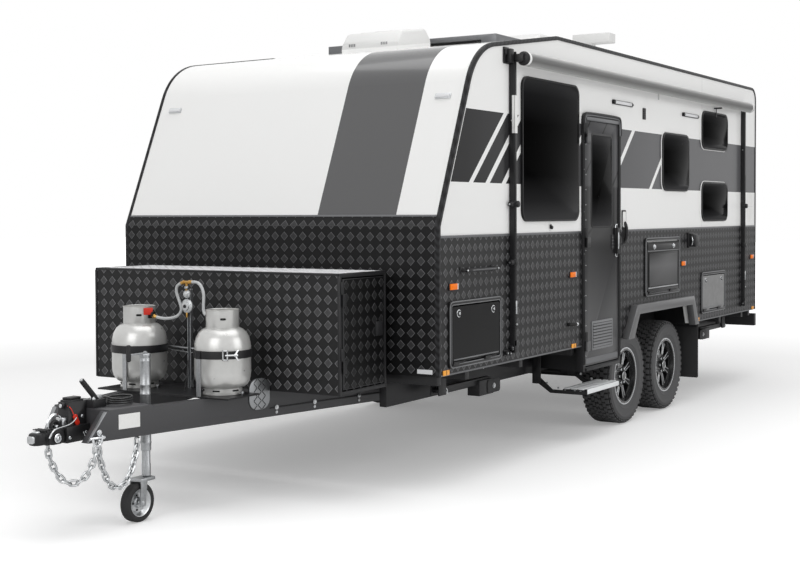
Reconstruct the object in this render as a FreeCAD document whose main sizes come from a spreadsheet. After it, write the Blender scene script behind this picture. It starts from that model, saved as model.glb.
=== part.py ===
import FreeCAD, Part
import math
import os
import Sketcher
from FreeCAD import Placement, Rotation, Vector

# Travel caravan with a tandem axle, parked on its jockey wheel.
# Frame: +X forward to the coupling, +Y to the door side, +Z up, the ground at zero height.
# A station is measured back from the outer face of the body's front wall.
# A reach is measured forward from that face.

doc = FreeCAD.newDocument("TravelCaravan")
sheet = doc.addObject("Spreadsheet::Sheet", "Sizes")
sheet_rows = []
sub_parts = []


class Size:
    """A size of the sheet, or one worked out from such sizes, kept with its expression."""

    def __init__(self, value, text):
        self.value = float(value)
        self.text = text

    def __add__(self, other):
        other = as_size(other)
        return Size(self.value + other.value, "(%s + %s)" % (self.text, other.text))

    __radd__ = __add__

    def __sub__(self, other):
        other = as_size(other)
        return Size(self.value - other.value, "(%s - %s)" % (self.text, other.text))

    def __rsub__(self, other):
        return as_size(other) - self

    def __mul__(self, other):
        other = as_size(other)
        return Size(self.value * other.value, "(%s * %s)" % (self.text, other.text))

    __rmul__ = __mul__

    def __truediv__(self, other):
        other = as_size(other)
        return Size(self.value / other.value, "(%s / %s)" % (self.text, other.text))

    def __neg__(self):
        return Size(-self.value, "(0 - %s)" % self.text)

    def __float__(self):
        return self.value


def as_size(value):
    return value if isinstance(value, Size) else Size(value, repr(float(value)))


def size(alias, value, note):
    """Writes one driving dimension, in millimetres or degrees, and returns it."""
    sheet_rows.append(alias)
    row = len(sheet_rows)
    sheet.set("A%d" % row, note)
    sheet.set("B%d" % row, str(value))
    sheet.setAlias("B%d" % row, alias)
    return Size(value, "Sizes." + alias)


def trigonometry(function, name):
    def worked_out(angle):
        return Size(function(math.radians(angle.value)), "%s(%s * 1 deg)" % (name, angle.text))
    return worked_out


sine = trigonometry(math.sin, "sin")
cosine = trigonometry(math.cos, "cos")
tangent = trigonometry(math.tan, "tan")


# How the pieces are made

TO_AXIS = {
    "X": Rotation(Vector(0, 1, 0), 90),
    "Y": Rotation(Vector(1, 0, 0), -90),
    "Z": Rotation(),
}
TO_PLANE = {
    "XY": Rotation(),
    "XZ": Rotation(Vector(1, 0, 0), 90),
    "YZ": Rotation(Vector(1, 1, 1), 120),
}
PLANE_NORMAL = {"XY": "z", "XZ": "y", "YZ": "x"}
NEARLY_ZERO = 1e-6


def bind(item, name, value):
    item.setExpression(name, as_size(value).text)


def place(item, base, rotation=None):
    if rotation is not None:
        item.Placement = Placement(Vector(0, 0, 0), rotation)
    for letter, value in zip("xyz", base):
        bind(item, "Placement.Base." + letter, value)
    return item


def box(name, low, high):
    item = doc.addObject("Part::Box", name)
    for side, start, end in zip(("Length", "Width", "Height"), low, high):
        bind(item, side, as_size(end) - start)
    return place(item, low)


def tilted_box(name, centre, sides, axis, angle):
    """A box about its centre, turned about a row axis through that centre."""
    block = doc.addObject("Part::Box", name + "_block")
    for side, length in zip(("Length", "Width", "Height"), sides):
        bind(block, side, length)
    place(block, [as_size(length) * -0.5 for length in sides])
    holder = group(name, [block])
    holder.Placement = Placement(Vector(0, 0, 0), Rotation(axis, 1))
    bind(holder, "Placement.Rotation.Angle", angle)
    return place(holder, centre)


def rod(name, start, axis, radius, length):
    item = doc.addObject("Part::Cylinder", name)
    bind(item, "Radius", radius)
    bind(item, "Height", length)
    return place(item, start, TO_AXIS[axis])


def draw_outline(sketch, outline):
    """Straight lines through the corners, each corner held by two bound distances."""
    corners = [(as_size(across), as_size(up)) for across, up in outline]
    count = len(corners)
    for number, start in enumerate(corners):
        end = corners[(number + 1) % count]
        sketch.addGeometry(Part.LineSegment(
            Vector(start[0].value, start[1].value, 0), Vector(end[0].value, end[1].value, 0)))
    for number in range(count):
        sketch.addConstraint(
            Sketcher.Constraint("Coincident", number, 2, (number + 1) % count, 1))
    for number, corner in enumerate(corners):
        for kind, value in zip(("DistanceX", "DistanceY"), corner):
            held = sketch.addConstraint(
                Sketcher.Constraint(kind, -1, 1, number, 1, value.value))
            sketch.setExpression("Constraints[%d]" % held, value.text)


def plane_place(plane, start, thickness):
    """Where a sketch lies so that its piece runs from start on, along the plane's normal."""
    base = {"x": 0, "y": 0, "z": 0}
    base[PLANE_NORMAL[plane]] = as_size(start) + thickness if plane == "XZ" else start
    return [base[letter] for letter in "xyz"]


def plate(name, plane, outline, start, thickness):
    """An outline in a row plane, extruded along the plane's normal from start."""
    sketch = doc.addObject("Sketcher::SketchObject", name + "_outline")
    draw_outline(sketch, outline)
    place(sketch, plane_place(plane, start, thickness), TO_PLANE[plane])
    item = doc.addObject("Part::Extrusion", name)
    item.Base = sketch
    item.DirMode = "Normal"
    item.Solid = True
    bind(item, "LengthFwd", thickness)
    return item


def origin_plane(body, plane):
    return [item for item in body.Origin.OriginFeatures if item.Role == plane + "_Plane"][0]


def corner_edges(feature, normal, corners):
    """The edges along the normal that stand on the given corners of the outline."""
    names = []
    for number, edge in enumerate(feature.Shape.Edges, 1):
        ends = [vertex.Point for vertex in edge.Vertexes]
        if len(ends) != 2 or (ends[1] - ends[0]).cross(normal).Length > NEARLY_ZERO * 1e3:
            continue
        for corner in corners:
            if (ends[0] - corner).cross(normal).Length < NEARLY_ZERO * 1e3:
                names.append("Edge%d" % number)
    return names


def panel(name, plane, outline, start, thickness, rounds):
    """A body with a padded outline whose corners are rounded: rounds is [(radius, numbers)]."""
    body = doc.addObject("PartDesign::Body", name)
    sketch = body.newObject("Sketcher::SketchObject", name + "_outline")
    sketch.AttachmentSupport = (origin_plane(body, plane), "")
    sketch.MapMode = "FlatFace"
    draw_outline(sketch, outline)
    pad = body.newObject("PartDesign::Pad", name + "_pad")
    pad.Profile = sketch
    bind(pad, "Length", thickness)
    doc.recompute([sketch, pad])
    last = pad
    turn = TO_PLANE[plane]
    normal = turn.multVec(Vector(0, 0, 1))
    for radius, numbers in rounds:
        corners = []
        for number in numbers:
            across, up = outline[number]
            flat = Vector(as_size(across).value, as_size(up).value, 0)
            corners.append(turn.multVec(flat))
        fillet = body.newObject("PartDesign::Fillet", name + "_round")
        fillet.Base = (last, corner_edges(last, normal, corners))
        bind(fillet, "Radius", radius)
        doc.recompute([fillet])
        last = fillet
    body.Tip = last
    return place(body, plane_place(plane, start, thickness))


def rectangle(low, high):
    return [(low[0], low[1]), (high[0], low[1]), (high[0], high[1]), (low[0], high[1])]


def rounded_rectangle(name, plane, low, high, start, thickness, radius):
    return panel(name, plane, rectangle(low, high), start, thickness, [(radius, range(4))])


def turned(name, outline, centre, axis):
    """A body turned about the axis: the outline gives (radius, place along the axis)."""
    body = doc.addObject("PartDesign::Body", name)
    sketch = body.newObject("Sketcher::SketchObject", name + "_outline")
    sketch.AttachmentSupport = (origin_plane(body, "XZ"), "")
    sketch.MapMode = "FlatFace"
    draw_outline(sketch, outline)
    revolution = body.newObject("PartDesign::Revolution", name + "_turn")
    revolution.Profile = sketch
    revolution.ReferenceAxis = (sketch, ["V_Axis"])
    revolution.Angle = 360
    body.Tip = revolution
    return place(body, centre, TO_AXIS[axis])


def group(name, items):
    item = doc.addObject("Part::Compound", name)
    item.Links = items
    return item


def join(name, items):
    item = doc.addObject("Part::MultiFuse", name)
    item.Shapes = items
    item.Refine = True
    return item


def cut(name, base, tools):
    item = doc.addObject("Part::Cut", name)
    item.Base = base
    item.Tool = tools[0] if len(tools) == 1 else group(name + "_tools", tools)
    return item


def common(name, base, tool):
    item = doc.addObject("Part::Common", name)
    item.Base = base
    item.Tool = tool
    return item


def mirrored(name, source):
    """The same piece on the other side of the caravan's middle plane."""
    item = doc.addObject("Part::Mirroring", name)
    item.Source = source
    item.Normal = Vector(0, 1, 0)
    return item


def both_sides(name, source):
    return group(name, [source, mirrored(name + "_off", source)])


def tube_path(points):
    """Straight runs through the points, joined by arcs as large as the runs allow."""
    bend_share = 0.45
    edges = []
    radii = []
    start = points[0]
    for before, corner, after in zip(points, points[1:], points[2:]):
        back = (before - corner).normalize()
        ahead = (after - corner).normalize()
        half_turn = (math.pi - back.getAngle(ahead)) / 2
        leg = bend_share * min((before - corner).Length, (after - corner).Length)
        radius = leg / math.tan(half_turn)
        inward = (back + ahead).normalize()
        centre = corner + inward * (radius / math.cos(half_turn))
        first = corner + back * leg
        last = corner + ahead * leg
        middle = centre - inward * radius
        edges.append(Part.LineSegment(start, first).toShape())
        edges.append(Part.Arc(first, middle, last).toShape())
        radii.append(round(radius))
        start = last
    edges.append(Part.LineSegment(start, points[-1]).toShape())
    return Part.Wire(edges), radii


def tube_along(name, points, radius):
    """A round tube along the points; its volume is compared with section times length."""
    path, radii = tube_path(points)
    begin = points[0]
    ring = Part.Circle(begin, points[1] - begin, float(radius)).toShape()
    shape = path.makePipeShell([Part.Wire([ring])], True, False)
    expected = math.pi * float(radius) ** 2 * path.Length
    if abs(shape.Volume - expected) > 0.02 * expected:
        raise ValueError("%s: volume %.0f, expected %.0f" % (name, shape.Volume, expected))
    print(name, "bend radii in mm", radii)
    item = doc.addObject("Part::Feature", name)
    item.Shape = shape
    item.Placement = Placement()
    return item


def sub_part(node, item):
    item.Label = node
    sub_parts.append(item)
    return item


# Body shell
front_face = size("front_face", 2220, "place of the front wall's outer face ahead of the origin")
body_length = size("body_length", 6085, "front wall to rear wall, outside")
half_width = size("half_width", 1220, "middle plane to a side wall's outer face")
wall = size("wall_thickness", 40, "walls and roof")
skirt_bottom = size("skirt_bottom", 690, "lower edge of the walls above the ground")
roof_top = size("roof_top", 2841, "flat part of the roof above the ground")
knee_height = size("knee_height", 1570, "where the front wall starts to slope")
slope_angle = size("slope_angle", 22.7, "degrees of the front slope from upright")
ramp_angle = size("ramp_angle", 8.8, "degrees of the roof's front ramp from level")
peak_station = size("peak_station", 1600, "where the ramp meets the flat roof")
nose_radius = size("nose_radius", 420, "round between front slope and ramp")
tail_radius = size("tail_radius", 120, "round between roof and rear wall")
front_panel_end = size("front_panel_end", 700, "station of the seam between front panel and roof")
rear_panel_top = size("rear_panel_top", 2640, "height of the seam between rear wall and roof")
floor_thickness = size("floor_thickness", 45, "body floor")
overrun = size("overrun", 60, "how far cutting shapes run past what they cut")
proud = size("seat_overlap", 1, "how deep a welded piece is let into its neighbour")

# Chassis
rail_top = size("rail_top", 630, "top of the main rails and the drawbar")
rail_height = size("rail_height", 150, "depth of the main rails and the drawbar rails")
rail_width = size("rail_width", 50, "width of the rails")
rail_outer = size("rail_outer", 820, "middle plane to a main rail's outer face")
rail_tail = body_length + size("rail_tail_beyond", 205, "main rails beyond the rear wall")
rail_front = size("rail_front_station", 60, "front end of the main rails")
member_width = size("member_width", 50, "width of the floor bearers")
member_reach = size("member_reach", 1170, "half length of a full-width bearer")
drawbar_front = size("drawbar_front_reach", 1720, "drawbar's lower front corner")
drawbar_slant = size("drawbar_slant", 110, "how far its upper front corner lies back")
drawbar_spread = size("drawbar_front_spread", 171, "middle plane to the drawbar's outer face in front")
drawbar_angle = size("drawbar_angle", 12.7, "degrees of each drawbar rail from the middle plane")
gusset_thickness = size("gusset_thickness", 8, "drawbar plates")
gusset_rear = size("gusset_rear_reach", 1340, "rear edge of the drawbar's top plate")
gusset_front = size("gusset_front_reach", 1600, "front edge of the drawbar's top plate")

# Wheels
wheel_radius = size("wheel_radius", 370, "tyre's outer radius, to the tread's tips")
tyre_width = size("tyre_width", 240, "tyre's section width")
tyre_face = size("tyre_face", 1165, "middle plane to a tyre's outer side")
front_axle = size("front_axle_station", 2980, "leading axle")
rear_axle = size("rear_axle_station", 3840, "trailing axle")
rim_seat = size("rim_seat_radius", 208, "where the tyre's bead sits on the rim")
spindle_radius = size("spindle_radius", 30, "wheel spindle")
running_clearance = size("running_clearance", 0.3, "between spindle and hub, and other pins and bores")

x_rear = front_face - body_length
rail_bottom = rail_top - rail_height
wheel_middle = tyre_face - tyre_width / 2


def at(station):
    """Place along the caravan of a station behind the front wall."""
    return front_face - station


def ahead(reach):
    """Place along the caravan of a reach ahead of the front wall."""
    return front_face + reach


# Side profile

def profile(inset, low):
    """Corners of the side profile, moved inward by inset, with its foot at height low."""
    slope = tangent(slope_angle)
    ramp = tangent(ramp_angle)
    peak_x = at(peak_station)
    nose_x = (
        front_face - inset / cosine(slope_angle)
        - (roof_top - inset / cosine(ramp_angle) - knee_height + peak_x * ramp) * slope
    ) / (1 - slope * ramp)
    nose_z = roof_top - (nose_x - peak_x) * ramp - inset / cosine(ramp_angle)
    knee_z = knee_height - inset * tangent(slope_angle / 2)
    peak_in = peak_x - inset * tangent(ramp_angle / 2)
    return [
        (front_face - inset, low),
        (front_face - inset, knee_z),
        (nose_x, nose_z),
        (peak_in, roof_top - inset),
        (x_rear + inset, roof_top - inset),
        (x_rear + inset, low),
    ]


def profile_body(name, inset, low, start, thickness):
    rounds = [(nose_radius - inset, [2]), (tail_radius - inset, [4])]
    return panel(name, "XZ", profile(inset, low), start, thickness, rounds)


wall_inside = half_width - wall
inner_width = wall_inside * 2

shell_outer = profile_body("shell_outer", as_size(0), skirt_bottom, -wall_inside, inner_width)
shell_inner = profile_body(
    "shell_inner", wall, skirt_bottom - overrun, -wall_inside - overrun, inner_width + overrun * 2)
shell = cut("shell", shell_outer, [shell_inner])

seam_x = at(front_panel_end)
zone_side = wall_inside + overrun
zone_top = roof_top + overrun
front_wall = common("front_shell", shell, box(
    "front_zone", (seam_x, -zone_side, skirt_bottom - overrun),
    (front_face + overrun, zone_side, zone_top)))
rear_shell = common("rear_shell", shell, box(
    "rear_zone", (x_rear - overrun, -zone_side, skirt_bottom - overrun),
    (seam_x, zone_side, rear_panel_top)))
roof_shell = common("roof_shell", shell, box(
    "roof_zone", (x_rear - overrun, -zone_side, rear_panel_top), (seam_x, zone_side, zone_top)))

sub_part("front_wall", front_wall)
sub_part("rear_wall", rear_shell)

# Openings in the near wall, as stations and heights of their outer frames
door_front = size("door_front_station", 1990, "front edge of the entry door's frame")
door_rear = size("door_rear_station", 2667, "rear edge of the entry door's frame")
door_bottom = size("door_bottom", 509, "lower edge of the entry door's frame")
door_top = size("door_top", 2354, "upper edge of the entry door's frame")
door_radius = size("door_corner_radius", 60, "upper corners of the entry door's frame")
big_window_front = size("big_window_front", 1049, "front edge of the large window")
big_window_rear = size("big_window_rear", 1927, "rear edge of the large window")
big_window_low = size("big_window_low", 1587, "lower edge of the large window")
big_window_high = size("big_window_high", 2532, "upper edge of the large window")
mid_window_front = size("mid_window_front", 3555, "front edge of the middle window")
mid_window_rear = size("mid_window_rear", 4173, "rear edge of the middle window")
mid_window_low = size("mid_window_low", 1820, "lower edge of the middle window")
mid_window_high = size("mid_window_high", 2295, "upper edge of the middle window")
bunk_window_front = body_length - size(
    "bunk_window_front", 1584, "rear wall to the front edge of both bunk windows")
bunk_window_rear = body_length - size(
    "bunk_window_rear", 888, "rear wall to the rear edge of both bunk windows")
upper_bunk_low = size("upper_bunk_low", 2199, "lower edge of the upper bunk window")
upper_bunk_high = size("upper_bunk_high", 2531, "upper edge of the upper bunk window")
lower_bunk_low = size("lower_bunk_low", 1564, "lower edge of the lower bunk window")
lower_bunk_high = size("lower_bunk_high", 1910, "upper edge of the lower bunk window")
window_radius = size("window_corner_radius", 75, "corners of the window frames")
window_flange = size("window_flange", 30, "visible width of a window frame")
window_sleeve = size("window_sleeve", 15, "thickness of a frame's sleeve in the wall")
window_proud = size("window_proud", 16, "how far a window frame stands out of the wall")
pane_thickness = size("pane_thickness", 14, "double acrylic pane")
boot_front = size("boot_front_station", 109, "front edge of the boot hatch's frame")
boot_rear = size("boot_rear_station", 760, "rear edge of the boot hatch's frame")
boot_low = size("boot_low", 728, "lower edge of the boot hatch's frame")
boot_high = size("boot_high", 1125, "upper edge of the boot hatch's frame")
table_front = size("table_front_station", 3181, "front edge of the picnic table's frame")
table_rear = size("table_rear_station", 3951, "rear edge of the picnic table's frame")
table_low = size("table_low", 977, "lower edge of the picnic table's frame")
table_high = size("table_high", 1442, "upper edge of the picnic table's frame")
service_front = body_length - size(
    "service_front", 1591, "rear wall to the front edge of the service hatch's frame")
service_rear = body_length - size(
    "service_rear", 947, "rear wall to the rear edge of the service hatch's frame")
service_low = size("service_low", 753, "lower edge of the service hatch's frame")
service_high = size("service_high", 1115, "upper edge of the service hatch's frame")
hatch_radius = size("hatch_corner_radius", 28, "corners of the hatch frames")
hatch_frame = size("hatch_frame_width", 26, "visible width of a hatch frame")
hatch_proud = size("hatch_proud", 14, "how far a hatch frame stands out of the wall")
lid_gap = size("lid_gap", 8, "gap between a lid and its frame")
hinge_offset = size("hinge_offset", 10, "hinge pin ahead of a lid's outer face")
hinge_pin = size("hinge_pin_radius", 5, "hinge knuckles' outer radius")

windows = {
    "big_window": (big_window_front, big_window_rear, big_window_low, big_window_high),
    "mid_window": (mid_window_front, mid_window_rear, mid_window_low, mid_window_high),
    "upper_bunk": (bunk_window_front, bunk_window_rear, upper_bunk_low, upper_bunk_high),
    "lower_bunk": (bunk_window_front, bunk_window_rear, lower_bunk_low, lower_bunk_high),
}


def side_cutter(name, opening, inset, radius, start, thickness):
    """A rounded block through the side wall, the opening's outline moved inward by inset."""
    front, rear, low, high = opening
    return rounded_rectangle(
        name, "XZ", (at(rear) + inset, low + inset), (at(front) - inset, high - inset),
        start, thickness, radius - inset)


def wall_cutter(name, opening, inset, radius):
    return side_cutter(name, opening, inset, radius, wall_inside - overrun, wall + overrun * 2)


# Wheel arches, as stations of the flare's outer corners
flare_front_low = size("flare_front_low", 2734, "front lower corner of the arch flare")
flare_front_high = size("flare_front_high", 2915, "front upper corner of the arch flare")
flare_rear_high = size("flare_rear_high", 4183, "rear upper corner of the arch flare")
flare_rear_low = size("flare_rear_low", 4308, "rear lower corner of the arch flare")
flare_bottom = size("flare_bottom", 680, "lower edge of the arch flare")
flare_top = size("flare_top", 930, "upper edge of the arch flare")
flare_band = size("flare_band", 68, "width of the flare's band")
flare_depth = size("flare_depth", 60, "how far the flare stands out of the wall")
BAND_LOW_SHARE = 1.1
BAND_HIGH_SHARE = 0.6


def arch_outline(inset_share, low):
    """The flare's outline, moved inward by a share of its band."""
    inset = flare_band * inset_share
    return [
        (at(flare_front_low) - inset * BAND_LOW_SHARE, low),
        (at(flare_front_high) - inset * BAND_HIGH_SHARE, flare_top - inset),
        (at(flare_rear_high) + inset * BAND_HIGH_SHARE, flare_top - inset),
        (at(flare_rear_low) + inset * BAND_LOW_SHARE, low),
    ]


arch_cut_share = 0.7
arch_cutter = plate(
    "arch_cutter", "XZ",
    [(x, flare_bottom - overrun) if z is flare_bottom else (x, z)
     for x, z in arch_outline(arch_cut_share, flare_bottom)],
    wall_inside - overrun, wall + overrun * 2)

door_opening = (door_front, door_rear, door_bottom, door_top)
boot_opening = (boot_front, boot_rear, boot_low, boot_high)
table_opening = (table_front, table_rear, table_low, table_high)
service_opening = (service_front, service_rear, service_low, service_high)
frame_seat = size("frame_seat", 10, "how far a hatch frame's flange covers the wall")

window_cutters = [
    wall_cutter(name + "_cutter", opening, window_flange - window_sleeve, window_radius)
    for name, opening in windows.items()]
boot_cutter = wall_cutter("boot_cutter", boot_opening, frame_seat, hatch_radius)
service_cutter = wall_cutter("service_cutter", service_opening, frame_seat, hatch_radius)
door_cutter = panel(
    "door_cutter", "XZ",
    rectangle((at(door_rear), door_bottom - overrun), (at(door_front), door_top)),
    wall_inside - overrun, wall + overrun * 2, [(door_radius, [2, 3])])

side_blank = profile_body("side_blank", as_size(0), skirt_bottom, wall_inside, wall)
near_side = cut("near_side", side_blank,
                window_cutters + [boot_cutter, service_cutter, door_cutter, arch_cutter])
side_low = skirt_bottom - overrun
side_zone_in = wall_inside - overrun
side_zone_out = half_width + overrun
near_front = common("near_front", near_side, box(
    "near_front_zone", (at(door_front), side_zone_in, side_low),
    (front_face + overrun, side_zone_out, zone_top)))
near_rear = common("near_rear", near_side, box(
    "near_rear_zone", (x_rear - overrun, side_zone_in, side_low),
    (at(door_front), side_zone_out, zone_top)))
off_blank = cut("off_blank", side_blank,
                window_cutters + [boot_cutter, service_cutter, arch_cutter])
sub_part("near_wall_front", near_front)
sub_part("near_wall_rear", near_rear)
sub_part("off_wall", mirrored("off_side", off_blank))

# Window frames and panes
frame_items = []
pane_items = []
for name, opening in windows.items():
    flange = side_cutter(
        name + "_flange", opening, as_size(0), window_radius, half_width, window_proud)
    sleeve = side_cutter(
        name + "_sleeve", opening, window_flange - window_sleeve, window_radius,
        wall_inside, wall)
    light = side_cutter(
        name + "_light", opening, window_flange, window_radius, wall_inside - overrun,
        wall + overrun * 2)
    frame_items.append(cut(name + "_frame", join(name + "_ring", [flange, sleeve]), [light]))
    pane_items.append(side_cutter(
        name + "_pane", opening, window_flange, window_radius,
        half_width + window_proud / 4 - pane_thickness / 2, pane_thickness))
window_frames = group("near_frames", frame_items)
window_panes = group("near_panes", pane_items)


lid_face = half_width + hatch_proud
hatch_pin_y = lid_face + hinge_offset
hatch_knuckle_shares = (0.2, 0.8)
hatch_knuckle_length = size("hatch_knuckle_length", 70, "hinge knuckles of the hatch lids")


def level_knuckles(name, opening, shift, web_low, web_high):
    """Knuckles along a lid's lower edge, each on a web, moved along by shift knuckles."""
    front, rear, low, high = opening
    pin_z = low + hatch_frame + lid_gap
    pieces = []
    for number, share in enumerate(hatch_knuckle_shares):
        start = (at(front + (rear - front) * share) - hatch_knuckle_length / 2
                 + (hatch_knuckle_length + running_clearance) * shift)
        pieces.append(rod("%s_knuckle_%d" % (name, number), (start, hatch_pin_y, pin_z), "X",
                          hinge_pin, hatch_knuckle_length))
        pieces.append(box("%s_web_%d" % (name, number), (start, lid_face - proud, web_low),
                          (start + hatch_knuckle_length, hatch_pin_y, web_high)))
    return pieces


def hatch_frame_ring(name, opening, depth_in):
    """A hatch frame: a flange on the wall, a sleeve that lines the opening and its knuckles."""
    pin_z = opening[2] + hatch_frame + lid_gap
    pieces = [side_cutter(name + "_flange", opening, as_size(0), hatch_radius,
                          half_width, hatch_proud)]
    if depth_in:
        pieces.append(side_cutter(name + "_sleeve", opening, frame_seat, hatch_radius,
                                  wall_inside, wall))
    pieces += level_knuckles(name + "_lug", opening, 1, pin_z - lid_gap * 2,
                              pin_z - hinge_pin / 2)
    light = side_cutter(name + "_light", opening, hatch_frame, hatch_radius + proud,
                        wall_inside - overrun, wall + overrun * 2)
    return cut(name + "_frame", join(name + "_ring", pieces), [common(
        name + "_way", light, box(
            name + "_way_zone", (at(opening[1]), wall_inside - overrun, opening[2]),
            (at(opening[0]), lid_face, opening[3])))])


boot_frame = hatch_frame_ring("boot", boot_opening, True)
service_frame = hatch_frame_ring("service", service_opening, True)
table_frame = hatch_frame_ring("table", table_opening, False)
near_hatches = group("near_hatch_frames", [boot_frame, service_frame])
sub_part("window_frames", group("all_frames", [
    both_sides("all_window_frames", window_frames),
    near_hatches, mirrored("off_hatch_frames", near_hatches), table_frame]))
sub_part("window_panes", both_sides("all_panes", window_panes))


# Lids of the hatches, hinged along their lower edges
def lid(name, opening, thickness, radius):
    """A lid inside its frame, with the knuckles of its hinge along its lower edge."""
    front, rear, low, high = opening
    inset = hatch_frame + lid_gap
    leaf = rounded_rectangle(
        name + "_leaf", "XZ", (at(rear) + inset, low + inset), (at(front) - inset, high - inset),
        lid_face - thickness, thickness, radius)
    pin_z = low + inset
    return join(name, [leaf] + level_knuckles(
        name, opening, 0, pin_z - hinge_pin / 2, pin_z + hinge_pin / 2))


lid_thickness = size("lid_thickness", 34, "boot and service hatch lids")
table_thickness = size("table_thickness", 12, "fold-down table leaf")
sub_part("boot_hatch_near", lid("boot_lid", boot_opening, lid_thickness, hatch_frame / 2))
sub_part("boot_hatch_off", mirrored("boot_lid_off", lid(
    "boot_lid_twin", boot_opening, lid_thickness, hatch_frame / 2)))
sub_part("service_hatch", lid("service_lid", service_opening, lid_thickness, hatch_frame / 2))
sub_part("picnic_table", lid("table_leaf", table_opening, table_thickness, hatch_frame / 2))
off_service = mirrored("off_service_lid", lid(
    "off_service_panel", service_opening, lid_thickness, hatch_frame / 2))

# Floor with the wheel tubs and the entry's step well
tub_front = size("tub_front_station", 2735, "front of the wheel tubs")
tub_rear = size("tub_rear_station", 4285, "rear of the wheel tubs")
tub_side = size("tub_side", 870, "middle plane to the tubs' inner side")
tub_top = size("tub_top", 955, "top of the wheel tubs")
sheet_metal = size("tub_sheet", 12, "wheel tub and step well walls")
well_front = size("well_front_station", 2030, "front of the entry step well")
well_rear = size("well_rear_station", 2600, "rear of the entry step well")
well_bottom = size("well_bottom", 515, "underside of the entry step well")

floor_top = skirt_bottom + floor_thickness
floor_slab = box("floor_slab", (x_rear + wall, -wall_inside, skirt_bottom),
                 (front_face - wall, wall_inside, floor_top))


def tub(name):
    outer = box(name + "_outer", (at(tub_rear), tub_side, skirt_bottom),
                (at(tub_front), wall_inside, tub_top))
    inner = box(name + "_inner",
                (at(tub_rear) + sheet_metal, tub_side + sheet_metal, skirt_bottom - overrun),
                (at(tub_front) - sheet_metal, wall_inside + overrun, tub_top - sheet_metal))
    return outer, inner


near_tub, near_tub_space = tub("near_tub")
off_tub = mirrored("off_tub", near_tub)
off_tub_space = mirrored("off_tub_space", near_tub_space)
well_outer = box("well_outer", (at(well_rear), tub_side, well_bottom),
                 (at(well_front), wall_inside, floor_top))
well_space = box("well_space",
                 (at(well_rear) + sheet_metal, tub_side + sheet_metal, well_bottom + sheet_metal),
                 (at(well_front) - sheet_metal, wall_inside + overrun, floor_top + overrun))
sub_part("floor", cut("floor_shape", floor_slab, [near_tub, off_tub, well_outer]))
sub_part("floor_wells", group("all_floor_wells", [
    cut("near_tub_walls", near_tub, [near_tub_space]),
    cut("off_tub_walls", off_tub, [off_tub_space]),
    cut("step_well_walls", well_outer, [well_space])]))

# Roof with the skylight's base frame
skylight_front = size("skylight_front_station", 1130, "front edge of the skylight")
skylight_rear = size("skylight_rear_station", 1560, "rear edge of the skylight")
skylight_half = size("skylight_half_width", 235, "half width of the skylight")
skylight_base = size("skylight_base", 30, "height of the skylight's frame on the roof")
skylight_rise = size("skylight_rise", 105, "height of the skylight's lid")
skylight_frame = size("skylight_frame_width", 35, "width of the skylight's frame")


def ramp_z(station, above):
    """Height of a point above the roof's front ramp at a station."""
    return roof_top - (peak_station - station) * tangent(ramp_angle) + above


def ramp_block(name, front, rear, low, high, half):
    outline = [(at(front), ramp_z(front, low)), (at(front), ramp_z(front, high)),
               (at(rear), ramp_z(rear, high)), (at(rear), ramp_z(rear, low))]
    return plate(name, "XZ", outline, -half, half * 2)


hatch_base = ramp_block("hatch_base", skylight_front, skylight_rear, -wall / 2, skylight_base,
                        skylight_half)
hatch_way = ramp_block(
    "hatch_way", skylight_front + skylight_frame, skylight_rear - skylight_frame,
    -wall * 2, skylight_base + overrun, skylight_half - skylight_frame)
lid_seat = size("lid_seat_gap", 0.4, "gap under the closed skylight lid")
lid_front_cut = size("lid_front_cut", 60, "slope of the lid's front and rear")
skylight_low = skylight_base + lid_seat
skylight_high = skylight_base + skylight_rise
lid_pin_back = size("skylight_pin_back", 7, "skylight's hinge pin behind its lid")
lid_pin_x = at(skylight_rear) - lid_pin_back
lid_pin_z = ramp_z(skylight_rear, skylight_low) + hinge_pin * 1.5
lid_knuckle_shares = (-0.6, 0.3)


def skylight_knuckles(name, shift, web_start, web_low, web_high):
    """Knuckles on the skylight's hinge line, moved sideways by shift knuckles."""
    pieces = []
    for number, share in enumerate(lid_knuckle_shares):
        start = skylight_half * share + (hatch_knuckle_length + running_clearance) * shift
        pieces.append(rod("%s_knuckle_%d" % (name, number), (lid_pin_x, start, lid_pin_z), "Y",
                          hinge_pin, hatch_knuckle_length))
        pieces.append(box("%s_web_%d" % (name, number), (web_start, start, web_low),
                          (lid_pin_x + lid_pin_back + proud if shift == 0 else lid_pin_x + hinge_pin,
                           start + hatch_knuckle_length, web_high)))
    return pieces


roof_lugs = skylight_knuckles("roof_lug", 1, lid_pin_x - hinge_pin, roof_top - wall / 2, lid_pin_z)
roof_lugs += [
    box("roof_lug_foot_%d" % number,
        (lid_pin_x - hinge_pin, skylight_half * share + hatch_knuckle_length + running_clearance,
         roof_top - wall / 2),
        (at(skylight_rear) + proud,
         skylight_half * share + hatch_knuckle_length * 2 + running_clearance,
         ramp_z(skylight_rear, skylight_base * 0.8)))
    for number, share in enumerate(lid_knuckle_shares)]
sub_part("roof", cut("roof_shape", join(
    "roof_joined", [roof_shell, hatch_base] + roof_lugs), [hatch_way]))
skylight_outline = [
    (at(skylight_front), ramp_z(skylight_front, skylight_low)),
    (at(skylight_front), ramp_z(skylight_front, skylight_low + skylight_rise / 3)),
    (at(skylight_front + lid_front_cut), ramp_z(skylight_front + lid_front_cut, skylight_high)),
    (at(skylight_rear - lid_front_cut), ramp_z(skylight_rear - lid_front_cut, skylight_high)),
    (at(skylight_rear), ramp_z(skylight_rear, skylight_low + skylight_rise / 3)),
    (at(skylight_rear), ramp_z(skylight_rear, skylight_low)),
]
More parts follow.
